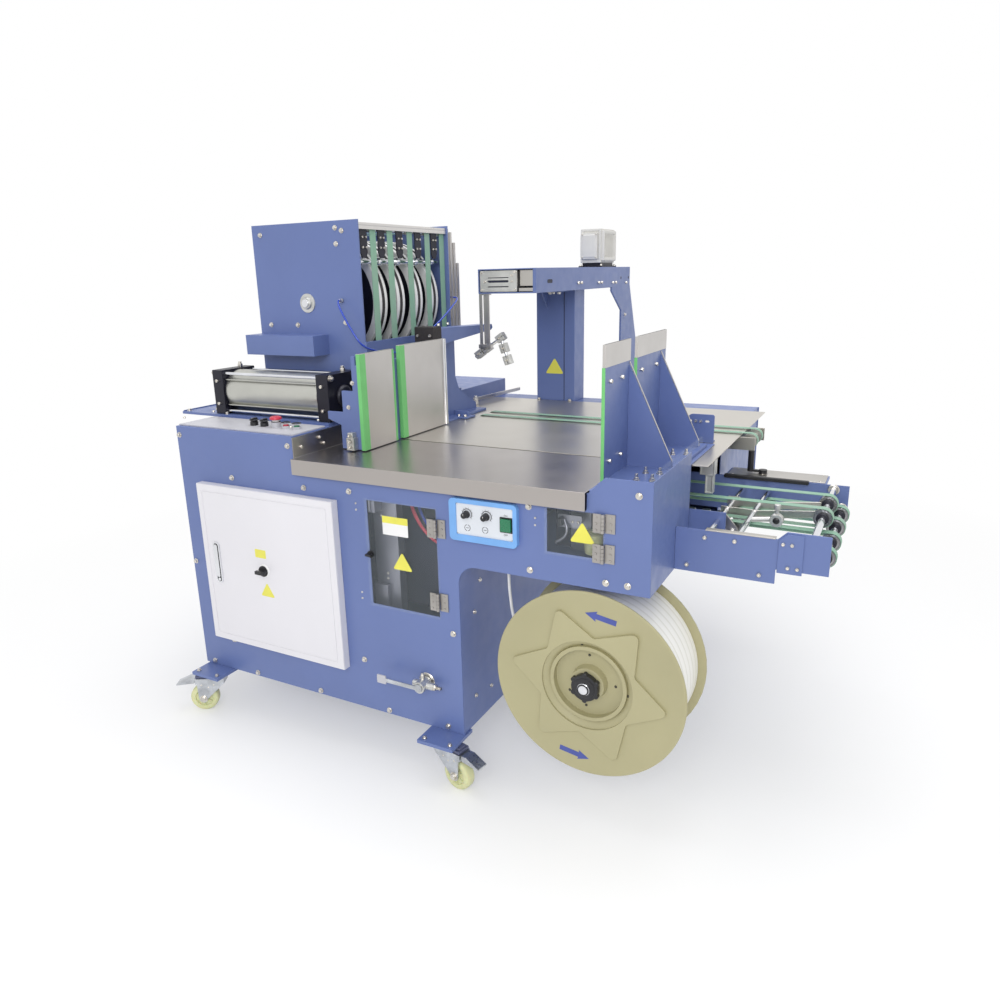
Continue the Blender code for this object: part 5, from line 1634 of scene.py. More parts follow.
class STRAPPER_OT_cylinder(bpy.types.Operator):
    """Makes the pusher's air cylinder: caps, barrel, tie rods, nuts and fittings"""

    bl_idname = "strapper.cylinder"
    bl_label = "Air cylinder"

    def execute(self, context):
        for node in ("cylinder_rear_cap", "cylinder_front_cap"):
            skin(node, black_anodised(), 0.0022)
        skin("cylinder_barrel", aluminium(), 0.0006)
        skin("piston_rod", chrome(), 0.0006)
        rear_low, rear_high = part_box("cylinder_rear_cap")
        front_low, front_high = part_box("cylinder_front_cap")
        middle_y = (rear_low.y + rear_high.y) / 2
        middle_z = (rear_low.z + rear_high.z) / 2
        rods, nuts, washers = [], [], []
        for sy in (-1, 1):
            for sz in (-1, 1):
                y = middle_y + sy * 0.059
                z = middle_z + sz * 0.059
                rods.append(
                    cylinder((rear_high.x - 0.001, y, z), (front_low.x + 0.001, y, z), 0.0048, 0.0002, 20)
                )
                for x, way in ((rear_low.x, -1), (front_high.x, 1)):
                    nuts.append(cylinder((x, y, z), (x + way * 0.0075, y, z), 0.009, 0.0009, 6))
                    nuts.append(
                        cylinder((x + way * 0.006, y, z), (x + way * 0.0125, y, z), 0.0045, 0.0006, 16)
                    )
                    washers.append(cylinder((x, y, z), (x + way * 0.0012, y, z), 0.0105, 0.0002, 24))
        piece(join(rods), "cylinder_tie_rods", chrome())
        piece(join(nuts, washers), "cylinder_nuts", bolt_zinc())
        gland = turned(
            [(0.0165, 0.012), (0.026, 0.012), (0.03, 0.009), (0.034, 0.004), (0.034, 0), (0.0165, 0)],
            (front_high.x, middle_y, middle_z), RIGHT, 48,
        )
        piece(gland, "cylinder_gland", black_anodised())
        seams = []
        for x in (rear_high.x, front_low.x):
            way = 1 if x == rear_high.x else -1
            ring = turned(
                [(0.0662, 0), (0.068, 0), (0.068, 0.004), (0.0662, 0.004)], (x, middle_y, middle_z),
                RIGHT * way, 72,
            )
            seams.append(ring)
        piece(join(seams), "cylinder_barrel_collars", black_anodised())
        rails = [
            block(
                (rear_high.x + 0.004, middle_y - 0.062 - 0.0008, middle_z + s * 0.04 - 0.0016),
                (front_low.x - 0.004, middle_y - 0.052, middle_z + s * 0.04 + 0.0016), 0.0006,
            )
            for s in (-1, 1)
        ]
        piece(join(rails), "cylinder_switch_rails", aluminium())
        ports = []
        for x in ((rear_low.x + rear_high.x) / 2, (front_low.x + front_high.x) / 2):
            top = Vector((x, middle_y + 0.03, rear_high.z))
            ports += [cylinder(top, top + UP * 0.01, 0.0085, 0.0008, 6),
                      cylinder(top + UP * 0.009, top + UP * 0.017, 0.0055, 0.001, 24)]
        piece(join(ports), "cylinder_ports", bolt_zinc())
        pockets = copies(
            cap_bolt(0.0052),
            [
                Vector((x, rear_low.y, middle_z + s * 0.036))
                for x in ((rear_low.x + rear_high.x) / 2, (front_low.x + front_high.x) / 2)
                for s in (-1, 1)
            ],
            FORWARD,
        )
        piece(pockets, "cylinder_cap_screws", bolt_zinc())
        return {"FINISHED"}


class STRAPPER_OT_pusher(bpy.types.Operator):
    """Finishes the pusher's carrier and its two faces with tape, bolts and a foot block"""

    bl_idname = "strapper.pusher"
    bl_label = "Pusher"

    def execute(self, context):
        skin("pusher_carrier", blue_paint(), 0.0008)
        for node in ("front_pusher_plate", "rear_pusher_plate"):
            low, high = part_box(node)
            skin(node, steel_upright(), 0.0012)
            band = join(
                block(
                    (low.x + 0.0004, low.y - 0.0007, low.z + 0.001),
                    (high.x + 0.0006, low.y + 0.0002, high.z - 0.0015), 0.0003,
                ),
                block(
                    (high.x - 0.0001, low.y - 0.0007, low.z + 0.001),
                    (high.x + 0.0008, low.y + 0.026, high.z - 0.0015), 0.0003,
                ),
            )
            piece(band, node + "_tape", tape(), "pusher")
            far_band = block(
                (high.x - 0.0001, high.y - 0.009, low.z + 0.001),
                (high.x + 0.0007, high.y + 0.0003, high.z - 0.0015), 0.0003,
            )
            piece(
                far_band, node + "_edge_tape", tape() if node.startswith("front") else steel_upright(),
                "pusher",
            )
        low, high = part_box("rear_pusher_plate")
        end = Vector((high.x + 0.001, high.y - 0.007, low.z + 0.001))
        roll = cylinder(end, (end.x, end.y, high.z - 0.001), 0.007, 0.001, 28)
        piece(roll, "pusher_end_roll", chrome(), "pusher")
        back = world_x(0.578)
        heads = [Vector((back, world_y(y), z)) for y in (0.21, 0.27, 0.39, 0.47, 0.55) for z in (0.93, 1.095)]
        bolts("pusher_back_bolts", heads, -RIGHT, 0.0055, body="pusher")
        gusset = [
            Vector((world_x(x), world_y(0.15), z))
            for x, z in ((0.548, 0.905), (0.566, 0.905), (0.567, 1.07), (0.548, 1.0))
        ]
        bolts("pusher_gusset_bolts", gusset, FORWARD, 0.0048, body="pusher")
        foot = join(
            face_panel(at(0.548, 0.128, 0.879), at(0.574, 0.1495, 0.915), FORWARD, 0.004, 0.002),
            block(at(0.552, 0.13, 0.9145), at(0.57, 0.1495, 0.93), 0.0015),
        )
        piece(foot, "pusher_foot_block", cast_aluminium(), "pusher")
        bolts(
            "pusher_foot_bolts", [at(0.561, 0.128, z) for z in (0.889, 0.904, 0.922)], FORWARD, 0.004,
            cap_bolt, "pusher",
        )
        nut = join(cylinder(at(0.562, 0.247, 1.0146), at(0.5775, 0.247, 1.0146), 0.0235, 0.0014, 6),
                   cylinder(at(0.5555, 0.247, 1.0146), at(0.5625, 0.247, 1.0146), 0.0205, 0.001, 32))
        piece(nut, "rod_end_nut", bolt_zinc(), "pusher")
        return {"FINISHED"}


# ---------------------------------------------------------------- stop brackets


STOP_X = 1.345
STOP_PLATES = {"front_stop_bracket": (0.063, 0.24, 0.232), "rear_stop_bracket": (0.295, 0.55, 0.5)}


class STRAPPER_OT_stops(bpy.types.Operator):
    """Finishes the stop brackets with bright faces, tape, ribs' edges and bolts"""

    bl_idname = "strapper.stops"
    bl_label = "Stop brackets"

    def execute(self, context):
        for node, (near, far, rib_y) in STOP_PLATES.items():
            skin(node, blue_paint(), 0.0008)
            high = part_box(node)[1]
            blue_top = 1.148
            face = block(at(STOP_X - 0.0022, near, 0.883), at(STOP_X - 0.0001, far, 1.199), 0.0005)
            crown = block(
                at(STOP_X - 0.001, near - 0.0006, blue_top), at(STOP_X + 0.0058, far + 0.0006, high.z),
                0.0006,
            )
            piece(join(face, crown), node + "_steel", steel_upright())
            band = join(
                block(
                    at(STOP_X - 0.0028, near - 0.001, 0.8835), at(STOP_X + 0.0052, near - 0.0001, blue_top),
                    0.0003,
                ),
                block(
                    at(STOP_X - 0.003, near - 0.001, 0.8835), at(STOP_X - 0.0021, near + 0.024, blue_top),
                    0.0003,
                ),
            )
            piece(band, node + "_tape", tape())
            self.rib_edge(node, rib_y)
            seam = block(
                at(STOP_X + 0.005, rib_y - 0.0015, 0.895), at(STOP_X + 0.0062, rib_y + 0.0055, 1.135),
                0.0005,
            )
            piece(seam, node + "_weld", blue_paint())
            middle = near + (far - near) * 0.62
            heads = [at(STOP_X + 0.005, middle, z) for z in (0.928, 1.115)] + [
                at(STOP_X + 0.005, near + 0.03, z)
                for z in (0.928, 1.115)
            ]
            bolts(node + "_face_bolts", heads, RIGHT, 0.005, cap_bolt)
        base = [
            (1.433, 0.047), (1.467, 0.047), (1.417, 0.171), (1.451, 0.175), (1.423, 0.389), (1.456, 0.402),
            (1.454, 0.526), (1.417, 0.1), (1.452, 0.109),
        ]
        top = self.base_top()
        bolts("stop_base_bolts", [at(x, y, 0) + UP * top for x, y in base], UP, 0.0062)
        studs = [
            cylinder(at(x, y, 0) + UP * (top + 0.004), at(x, y, 0) + UP * (top + 0.016), 0.0036, 0.0006, 14)
            for x, y in base
        ]
        piece(join(studs), "stop_base_studs", bolt_zinc())
        strip = block(at(1.4815, 0.004, 0.9122), at(1.4878, 0.445, 0.9285), 0.0006)
        piece(strip, "clear_edge_strip", clear_sheet())
        return {"FINISHED"}

    def base_top(self):
        """The height of the stop brackets' base plates."""
        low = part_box("front_stop_bracket")[0]
        heights = sorted({round(v.co.z, 5) for v in frame["nodes"]["front_stop_bracket"].data.vertices})
        return next(h for h in heights if h > low.z + 0.001)

    def rib_edge(self, node, rib_y):
        """The rib's bare cut edge, which catches the light along its slope."""
        start = at(STOP_X + 0.005, 0, 1.145)
        end = at(STOP_X + 0.1185, 0, 0.905)
        along = (end - start).normalized()
        out = Vector((-along.z, 0, along.x))
        width = 0.0012
        points = [start, end, end + out * width, start + out * width]
        edge = plate("XZ", [[(p.x, p.z) for p in points]], world_y(rib_y) - 0.0004, 0.0052, 0.0003)
        piece(edge, node + "_rib_edge", steel_upright())


# ---------------------------------------------------------------- tables


class STRAPPER_OT_tables(bpy.types.Operator):
    """Finishes the two tables with belts, upstand bolts, guides and blocks"""

    bl_idname = "strapper.tables"
    bl_label = "Tables"

    def execute(self, context):
        skin("front_table", front_table_steel_painted_shade(), 0.0022)
        skin("rear_table", rear_table_steel_painted_light(), 0.0016)
        thick = context.scene.strapper_sizes.belt_thickness
        low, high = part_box("table_belt_roller")
        centre_x = (low.x + high.x) / 2
        centre_z = (low.z + high.z) / 2
        radius = (high.z - low.z) / 2
        belts = []
        for y in (0.79, 0.865):
            loop = loop_band(
                world_x(0.64), centre_x, centre_z + radius + thick, centre_z - radius - thick, thick
            )
            belts.append(plate("XZ", loop, world_y(y - 0.01), 0.02, 0.0003))
        piece(join(belts), "table_belts", belt_cloth())
        skin("table_belt_roller", aluminium(), 0.0006)
        upstand = [
            Vector((world_x(0.463), world_y(y), z))
            for y, z in ((0.03, 0.903), (0.11, 0.915), (0.127, 0.895), (0.285, 0.903))
        ]
        bolts("table_upstand_bolts", upstand, RIGHT, 0.0045, cap_bolt)
        start, end = at(0.492, 0.976, 0), at(0.531, 1.3, 0)
        side = Vector((end.y - start.y, start.x - end.x, 0)).normalized() * 0.003
        outline = [(p.x, p.y) for p in (start - side, start + side, end + side, end - side)]
        bar = plate("XY", [outline], 0.89, 0.013, 0.0012)
        turn = join(cylinder(at(0.494, 0.99, 0.8752), at(0.494, 0.99, 0.8985), 0.0105, 0.001, 28),
                    cylinder(at(0.494, 0.99, 0.898), at(0.494, 0.99, 0.909), 0.0075, 0.0008, 6))
        piece(join(bar, turn), "side_guide_bar", steel_along_y())
        self.blue_fence()
        self.pillow_block()
        return {"FINISHED"}

    def blue_fence(self):
        """The rounded, slotted fence plate past the stop brackets."""
        x0, x1 = world_x(1.4), world_x(1.478)
        outline = [
            (x0, 0.8755), (x1, 0.8755), *arc((x1 - 0.006, 0.951), 0.006, 0, 90, 6),
            *arc((x0 + 0.018, 0.939), 0.018, 90, 180, 8),
        ]
        slots = [
            rounded_rectangle(x0 + a, x0 + b, 0.934, 0.94, 0.0028, 6)
            for a, b in ((0.004, 0.014), (0.052, 0.064))
        ]
        fence = plate("XZ", [outline, *slots], world_y(0.62), 0.004, 0.0008)
        foot = block((x0 + 0.004, world_y(0.6235), 0.8754), (x1 - 0.002, world_y(0.65), 0.8794), 0.0008)
        piece(join(fence, foot), "slotted_fence", blue_paint())
        bolts(
            "slotted_fence_bolts", [Vector((x0 + s, world_y(0.62), 0.937)) for s in (0.026, 0.04)], FORWARD,
            0.0042, cap_bolt,
        )
        bolts(
            "slotted_fence_foot_bolts", [Vector((x0 + s, world_y(0.638), 0.8794)) for s in (0.016, 0.06)],
            UP, 0.0045, cap_bolt,
        )

    def pillow_block(self):
        """The pale block and post that carry the rear table's end."""
        y = 0.425
        body = face_panel(at(1.4885, y, 0.83), at(1.527, y + 0.03, 0.8715), FORWARD, 0.003, 0.001)
        post = face_panel(at(1.503, y + 0.002, 0.78), at(1.524, y + 0.026, 0.831), FORWARD, 0.003, 0.002)
        piece(join(body, post), "table_end_block", cast_aluminium())
        ring = turned(
            [(0.0028, 0.003), (0.0055, 0.003), (0.0062, 0.0022), (0.0062, 0), (0.0028, 0)],
            at(1.5165, y, 0.86), FORWARD, 24,
        )
        piece(ring, "table_end_block_screw", bolt_zinc())


# ---------------------------------------------------------------- arm, column and beam


class STRAPPER_OT_guide_arm(bpy.types.Operator):
    """Finishes the guide arm with its dark buffer block, bolts and foot bracket"""

    bl_idname = "strapper.guide_arm"
    bl_label = "Guide arm"

    def execute(self, context):
        skin("guide_arm", blue_paint(), 0.0012)
        buffer = block(at(0.514, 0.557, 1.142), at(0.5892, 0.606, 1.198), 0.003)
        piece(buffer, "guide_arm_buffer", rubber())
        bolts("guide_arm_screws", [at(x, 0.557, 1.17) for x in (0.528, 0.575)], FORWARD, 0.0045, cap_bolt)
        ground = TABLE_TOP + 0.004
        bolts("guide_arm_top_bolts", [at(0.556, y, 1.197) for y in (0.64, 0.7)], UP, 0.005, cap_bolt)
        bracket = join(
            block(at(0.5545, 0.7, ground - 0.003), at(0.62, 0.76, ground + 0.003), 0.0012),
            block(at(0.5545, 0.727, ground), at(0.61, 0.733, ground + 0.02), 0.001),
        )
        piece(bracket, "guide_arm_foot", blue_paint())
        bolts(
            "guide_arm_foot_bolts",
            [at(x, y, ground + 0.003) for x, y in ((0.58, 0.714), (0.605, 0.714), (0.58, 0.748))], UP,
            0.0058,
        )
        return {"FINISHED"}


class STRAPPER_OT_column(bpy.types.Operator):
    """Finishes the column and beam with the bright end block, slots, screws and gusset"""

    bl_idname = "strapper.column"
    bl_label = "Column and beam"

    def execute(self, context):
        skin("column", blue_paint(), 0.002)
        skin("beam", blue_paint(), 0.0016)
        # A dark strip down the column's seam: painted shade of the gap.
        seam = block(at(0.771, 1.1992, 0.8752), at(0.7738, 1.2002, 1.294), 0.0003)
        piece(seam, "column_seam", black_and_painted_shade())
        face = world_y(1.2)
        sticker("column_sign", triangle(world_x(0.7325), 0.978, 0.07), face, FRAME_BODY)
        x = world_x(0.7)
        gusset = plate(
            "YZ",
            [
                [
                    (face + 0.001, 1.2945), (face - 0.055, 1.2945), (face - 0.055, 1.288), (face, 1.225),
                    (face + 0.001, 1.225),
                ]
            ],
            x, 0.005, 0.0008,
        )
        lug = block(at(0.69, 1.13, 1.288), at(0.79, 1.199, 1.2946), 0.001)
        piece(join(gusset, lug), "column_gusset", blue_paint())
        bolts(
            "column_head_bolts",
            [at(px, py, 1.288) for px, py in ((0.735, 1.15), (0.772, 1.15), (0.735, 1.182))], -UP, 0.007,
        )
        base = [at(px, py, 0.876) for px, py in ((0.67, 1.19), (0.8, 1.19))]
        bolts("column_base_bolts", base, UP, 0.006)
        self.end_block()
        self.beam_side()
        self.motor()
        self.curtain()
        return {"FINISHED"}

    def end_block(self):
        """The grooved aluminium block in the beam's near end, with dark plates of painted shade behind its
        slots and in the bay beside it.
        """
        y = 0.7504
        x0, x1 = world_x(0.658), world_x(0.794)
        outline = rounded_rectangle(x0, x1, 1.301, 1.368, 0.002)
        slots = [
            rounded_rectangle(x0 + 0.028, x1 - 0.03, z, z + h, h * 0.45, 6)
            for z, h in ((1.33, 0.0075), (1.344, 0.0028), (1.315, 0.0035))
        ]
        front = plate("XZ", [outline, *slots], world_y(y), 0.005, 0.0008)
        body = block((x0 + 0.002, world_y(y + 0.008), 1.302), (x1 - 0.002, world_y(y + 0.06), 1.367), 0.001)
        piece(join(front, body), "beam_end_block", cast_aluminium())
        # A dark plate behind the slots: painted shade of the slots.
        ground = block(
            (x0 + 0.003, world_y(y + 0.0045), 1.303), (x1 - 0.003, world_y(y + 0.0085), 1.366), 0.0005
        )
        piece(ground, "beam_end_slots", black_and_painted_shade())
        spots = [
            (0.664, 1.362), (0.664, 1.307), (0.788, 1.362), (0.788, 1.307), (0.676, 1.3335),
            (0.776, 1.3335), (0.776, 1.352),
        ]
        bolts("beam_end_screws", [at(px, y, pz) for px, pz in spots], FORWARD, 0.0034, cap_bolt)
        side = join(
            block(at(0.798, 0.765, 1.318), at(0.855, 0.77, 1.368), 0.0008),
            block(at(0.798, 0.757, 1.301), at(0.856, 0.766, 1.312), 0.001),
        )
        piece(side, "beam_end_bracket", steel_along_x())
        # A dark plate in the bay: painted shade of the opening.
        bay = block(at(0.797, 0.8, 1.3), at(0.857, 0.803, 1.369), 0.0005)
        piece(bay, "beam_end_bay", black_and_painted_shade())

    def beam_side(self):
        side = world_x(0.863)
        y0, y1 = world_y(0.84), world_y(0.882)
        # Dark plates on the beam's side: painted shade of a slot and two holes.
        slot = plate("YZ", [rounded_rectangle(y0, y1, 1.3245, 1.3365, 0.0055, 8)], side - 0.0002, 0.0006, 0)
        holes = [
            plate("YZ", [arc((world_y(y), 1.331), 0.0055, 0, 360, 24)[:-1]], side - 0.0002, 0.0006, 0)
            for y in (1.585, 1.68)
        ]
        piece(join(slot, holes), "beam_side_slot", black_and_painted_shade())
        heads = [
            at(0.863, y, z)
            for y, z in (
                (1.11, 1.32), (1.14, 1.32), (1.319, 1.317), (1.35, 1.317), (1.48, 1.314), (1.515, 1.314),
                (1.644, 1.311),
            )
        ]
        bolts("beam_side_bolts", heads, RIGHT, 0.0052, cap_bolt)
        leg = [
            at(0.863, y, z)
            for y, z in ((1.64, 1.18), (1.69, 1.05), (1.74, 0.9), (1.72, 0.76), (1.79, 0.76))
        ]
        bolts("beam_leg_bolts", leg, RIGHT, 0.0058)

    def motor(self):
        """An off-white geared motor on its dark foot."""
        low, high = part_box("motor_box")
        x0, y0, z0 = low + Vector((0.0002, 0.0002, 0))
        x1, y1, z1 = high - Vector((0.0002, 0.0002, 0.0002))
        foot_top = z0 + 0.018
        feet = [block((x0 + 0.004, y0 + 0.004, z0), (x1 - 0.004, y1 - 0.004, z0 + 0.006), 0.001),
                block((x0 + 0.014, y0 + 0.02, z0 + 0.005), (x1 - 0.014, y1 - 0.02, foot_top), 0.002)]
        piece(join(feet), "motor_foot", black_anodised())
        body = face_panel(
            (x0 + 0.01, y0 + 0.01, foot_top - 0.001), (x1 - 0.012, y1 - 0.01, z1), FORWARD, 0.008, 0.003,
            0.0035,
        )
        cover = face_panel(
            (x0 + 0.016, y0, foot_top + 0.014), (x1 - 0.024, y0 + 0.012, z1 - 0.016), FORWARD, 0.006,
            -0.002, 0.002,
        )
        lug = block((x0, y0 + 0.03, foot_top + 0.02), (x0 + 0.012, y1 - 0.06, z1 - 0.022), 0.004)
        side = face_panel(
            (x1 - 0.013, y0 + 0.016, foot_top + 0.006), (x1, y1 - 0.022, z1 - 0.006), RIGHT, 0.011, 0.006,
            0.0025,
        )
        fins = [
            block(
                (x1 - 0.01, y0 + 0.04 + i * 0.012, foot_top + 0.02),
                (x1 - 0.003, y0 + 0.0425 + i * 0.012, z1 - 0.022), 0.0006,
            )
            for i in range(8)
        ]
        piece(
            join(body, cover, lug, side, fins), "motor_case", grey_white(),
            replaces=("motor_box",),
        )
        glow = block(
            (x1 - 0.0085, y0 + 0.034, foot_top + 0.014), (x1 - 0.0065, y1 - 0.04, z1 - 0.016), 0.0004
        )
        piece(glow, "motor_side_recess", dim_steel())
        spots = [Vector((x, y0, z)) for x in (x0 + 0.021, x1 - 0.029) for z in (foot_top + 0.019, z1 - 0.021)]
        bolts("motor_cover_screws", spots, FORWARD, 0.0028, cap_bolt)
        spots = [Vector((x, y, z0 + 0.006)) for x in (x0 + 0.01, x1 - 0.01) for y in (y0 + 0.012, y1 - 0.012)]
        bolts("motor_foot_bolts", spots, UP, 0.0042, cap_bolt)
        gland = pipe(
            [
                (x1 - 0.03, y1 - 0.012, z0 + 0.05), (x1 - 0.03, y1 - 0.002, z0 + 0.048),
                (x1 - 0.031, y1 - 0.001, z0 + 0.03), (x1 - 0.032, y1 - 0.012, z0 + 0.001),
            ],
            0.004, 6, 4,
        )
        piece(gland, "motor_cable", black_plastic())

    def curtain(self):
        """Bright guide strips that hang from the beam's end, with the split clamps and rods at their foot."""
        strips = [
            block(
                at(0.64 + i * 0.0135, 0.772 + (i % 2) * 0.006, 1.118),
                at(0.652 + i * 0.0135, 0.7745 + (i % 2) * 0.006, 1.3005), 0.0005,
            )
            for i in range(3)
        ]
        head = block(at(0.652, 0.77, 1.29), at(0.682, 0.784, 1.3005), 0.001)
        tail = block(at(0.636, 0.768, 1.112), at(0.684, 0.786, 1.126), 0.0015)
        piece(join(strips, head, tail), "curtain_strips", steel_upright())
        start, knee, end = at(0.612, 0.79, 1.08), at(0.712, 0.79, 1.148), at(0.742, 0.79, 1.062)
        rods = [cylinder(start, knee + (knee - start).normalized() * 0.012, 0.0052, 0.0008, 24),
                cylinder(knee - (end - knee).normalized() * 0.012, end, 0.0052, 0.0008, 24),
                cylinder(at(0.66, 0.776, 1.119), at(0.66, 0.8, 1.113), 0.006, 0.0008, 24)]
        piece(join(rods), "clamp_rods", chrome())
        clamps = []
        for place, along in (
            (start.lerp(knee, 0.18), knee - start), (start.lerp(knee, 0.47), knee - start),
            (knee, knee - start), (knee.lerp(end, 0.4), end - knee), (knee.lerp(end, 0.86), end - knee),
        ):
            clamps.append(self.split_clamp(place, along))
        piece(join(clamps), "clamp_blocks", cast_aluminium())
        heads = [
            place + FORWARD * 0.0125
            for place in (
                start.lerp(knee, 0.18), start.lerp(knee, 0.47), knee, knee.lerp(end, 0.4),
                knee.lerp(end, 0.86),
            )
        ]
        bolts("clamp_screws", heads, FORWARD, 0.0036, cap_bolt)

    def split_clamp(self, place, along):
        """A small block with a saw cut, centred on its rod."""
        half = (0.0155, 0.0125, 0.0125)
        lower = block((-half[0], -half[1], -half[2]), (half[0], half[1], -0.0008), 0.0014)
        upper = block((-half[0], -half[1], 0.0008), (half[0], half[1], half[2]), 0.0014)
        spine = block((-half[0], half[1] - 0.006, -0.002), (half[0], half[1], 0.002), 0.0004)
        obj = join(lower, upper, spine)
        obj.rotation_euler = (0, -math.atan2(along.z, along.x), 0)
        obj.location = place
        return settle(obj)


def grey_white():
    return surface("off_white_enamel", (0.66, 0.65, 0.62), 0.42, texture=0.1, mottle=0.04, patch=12)


# ---------------------------------------------------------------- reel


REEL_X = 1.3375
REEL_Z = 0.383


class STRAPPER_OT_reel(bpy.types.Operator):
    """Makes the strap reel: starred flange, dish, nut, arrows and the wound strap"""

    bl_idname = "strapper.reel"
    bl_label = "Strap reel"

    def execute(self, context):
        low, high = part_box("reel_front_flange")
        radius = (high.z - low.z) / 2
        back = high.y
        dish = context.scene.strapper_sizes.reel_dish
        centre = at(REEL_X, 0, REEL_Z)
        centre.y = back
        floor = back - low.y - dish
        profile = [
            (0.0155, floor - 0.003), (0.088, floor - 0.003), (0.094, floor - 0.0015), (0.115, 0.0002),
            (radius - 0.002, 0.0002), (radius, 0.0015), (radius, 0.004), (radius - 0.0018, 0.0058),
            (radius - 0.0085, 0.0058), (radius - 0.011, 0.0044), (0.1185, 0.0044), (0.115, 0.0034),
            (0.091, floor + 0.0016), (0.0865, floor), (0.051, floor), (0.046, floor + 0.0012),
            (0.0425, 0.001), (0.04, 0.0022), (0.0155, 0.0022),
        ]
        flange = turned(profile, centre, FORWARD, 160)
        piece(
            flange, "reel_starred_flange", khaki_plastic(), "strap_reel",
            ("reel_front_flange",),
        )
        star = plate(
            "XZ", [self.star_outline(), list(reversed(arc((centre.x, REEL_Z), 0.1178, 0, 360, 96)[:-1]))],
            back - 0.0092, 0.0056, 0.0046, 3,
        )
        piece(star, "reel_star", khaki_plastic(), "strap_reel")
        arrows = [self.arrow(centre, 80, 0.188, back - 0.0048), self.arrow(centre, 261, 0.201, back - 0.0048)]
        piece(join(arrows), "reel_arrows", blue_vinyl(), "strap_reel")
        # Small black rings stand for holes in the dish: painted shade of the holes.
        dots = []
        for angle, distance in ((100, 0.104), (92, 0.07), (0, 0.066), (-6, 0.102), (215, 0.066), (262, 0.07)):
            a = math.radians(angle)
            depth = dish - 0.001 if distance < 0.085 else dish * 0.5
            place = Vector(
                (centre.x + distance * math.cos(a), low.y + depth, REEL_Z + distance * math.sin(a))
            )
            dots.append(
                turned([(0.0012, 0.0008), (0.003, 0.0008), (0.0034, 0), (0.0012, 0)], place, FORWARD, 20)
            )
        piece(join(dots), "reel_dish_holes", black_plastic(), "strap_reel")
        skin("reel_rear_flange", khaki_plastic(), 0.001)
        coil_low, coil_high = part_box("strap_coil")
        wide, outer = coil_high.y - coil_low.y, (coil_high.z - coil_low.z) / 2
        coil = turned(
            [
                (0.09, 0.0005), (0.12, 0.0), (outer - 0.003, 0.0), (outer, 0.003), (outer, wide - 0.003),
                (outer - 0.003, wide), (0.12, wide), (0.119, wide - 0.034), (0.09, wide - 0.034),
            ],
            Vector((centre.x, coil_high.y, REEL_Z)), FORWARD, 128,
        )
        piece(coil, "wound_coil", strap_wound(), "strap_reel", ("strap_coil",))
        skin("reel_spindle", black_plastic(), 0.0018)
        self.nut(centre)
        skin("strap_guide_tube", white_plastic(), 0.0)
        clip = join(
            block(at(1.084, 0.06, 0.63), at(1.104, 0.08, 0.6385), 0.0015),
            turned(
                [(0.0042, 0.012), (0.007, 0.012), (0.0075, 0.01), (0.0075, 0), (0.0042, 0)],
                at(1.094, 0.07, 0.6302), -UP, 24,
            ),
        )
        piece(clip, "guide_tube_clip", white_plastic())
        hanger = [
            at(REEL_X + s, 0.209, 0.383 + t)
            for s, t in ((-0.03, 0.2), (0.03, 0.2), (-0.03, 0.235), (0.03, 0.235))
        ]
        bolts("reel_hanger_bolts", [p + Vector((0, 0.008, 0)) for p in hanger], -FORWARD, 0.006)
        return {"FINISHED"}

    def star_outline(self):
        """Six points with rounded tips and soft inner corners."""
        points = []
        for k in range(6):
            tip = 52 + 60 * k
            for angle, distance in (
                (tip - 3.4, 0.1925), (tip - 1.4, 0.1985), (tip + 1.4, 0.1985), (tip + 3.4, 0.1925),
                (tip + 28.6, 0.1315), (tip + 31.4, 0.1315),
            ):
                a = math.radians(angle)
                points.append((world_x(REEL_X) + distance * math.cos(a), REEL_Z + distance * math.sin(a)))
        return points

    def arrow(self, centre, angle, distance, face):
        """A flat arrow that follows the reel's turning direction."""
        a = math.radians(angle)
        out = Vector((math.cos(a), 0, math.sin(a)))
        along = Vector((-math.sin(a), 0, math.cos(a)))
        shape = [
            (-0.04, -0.007), (0.012, -0.007), (0.01, -0.0135), (0.04, 0.0), (0.01, 0.0135), (0.012, 0.007),
            (-0.04, 0.007),
        ]
        points = [centre + out * distance + along * u + out * v for u, v in shape]
        return plate("XZ", [[(p.x, p.z) for p in points]], face, 0.0004, 0.0001)

    def nut(self, centre):
        rim = world_y(-0.016)
        lugs = []
        for k in range(6):
            a = math.radians(30 + 60 * k)
            place = Vector((centre.x + 0.0335 * math.cos(a), rim + 0.0002, REEL_Z + 0.0335 * math.sin(a)))
            lugs.append(
                turned(
                    [(0, 0.0006), (0.0045, 0.0006), (0.0065, -0.001), (0.0065, -0.012), (0, -0.012)], place,
                    FORWARD, 24,
                )
            )
        ring = turned([(0.016, 0.003), (0.02, 0.003), (0.026, 0.0008), (0.026, -0.001), (0.016, -0.001)],
                      Vector((centre.x, rim, REEL_Z)), FORWARD, 48)
        piece(join(lugs, ring), "reel_nut_lugs", black_plastic(), "strap_reel")
        tip = turned([(0, 0.0112), (0.006, 0.011), (0.0125, 0.0098), (0.0158, 0.007), (0.0159, 0), (0, 0)],
                     Vector((centre.x, rim, REEL_Z)), FORWARD, 40)
        piece(tip, "spindle_end_cap", chrome(), "strap_reel")


# ---------------------------------------------------------------- outfeed


PULLEY_RADIUS = 0.023


def turned_steel():
    return surface("turned_steel", (0.36, 0.36, 0.37), 0.32, 1.0, (300, 300, 300), 0.08, 0.12, 20, 0.06)


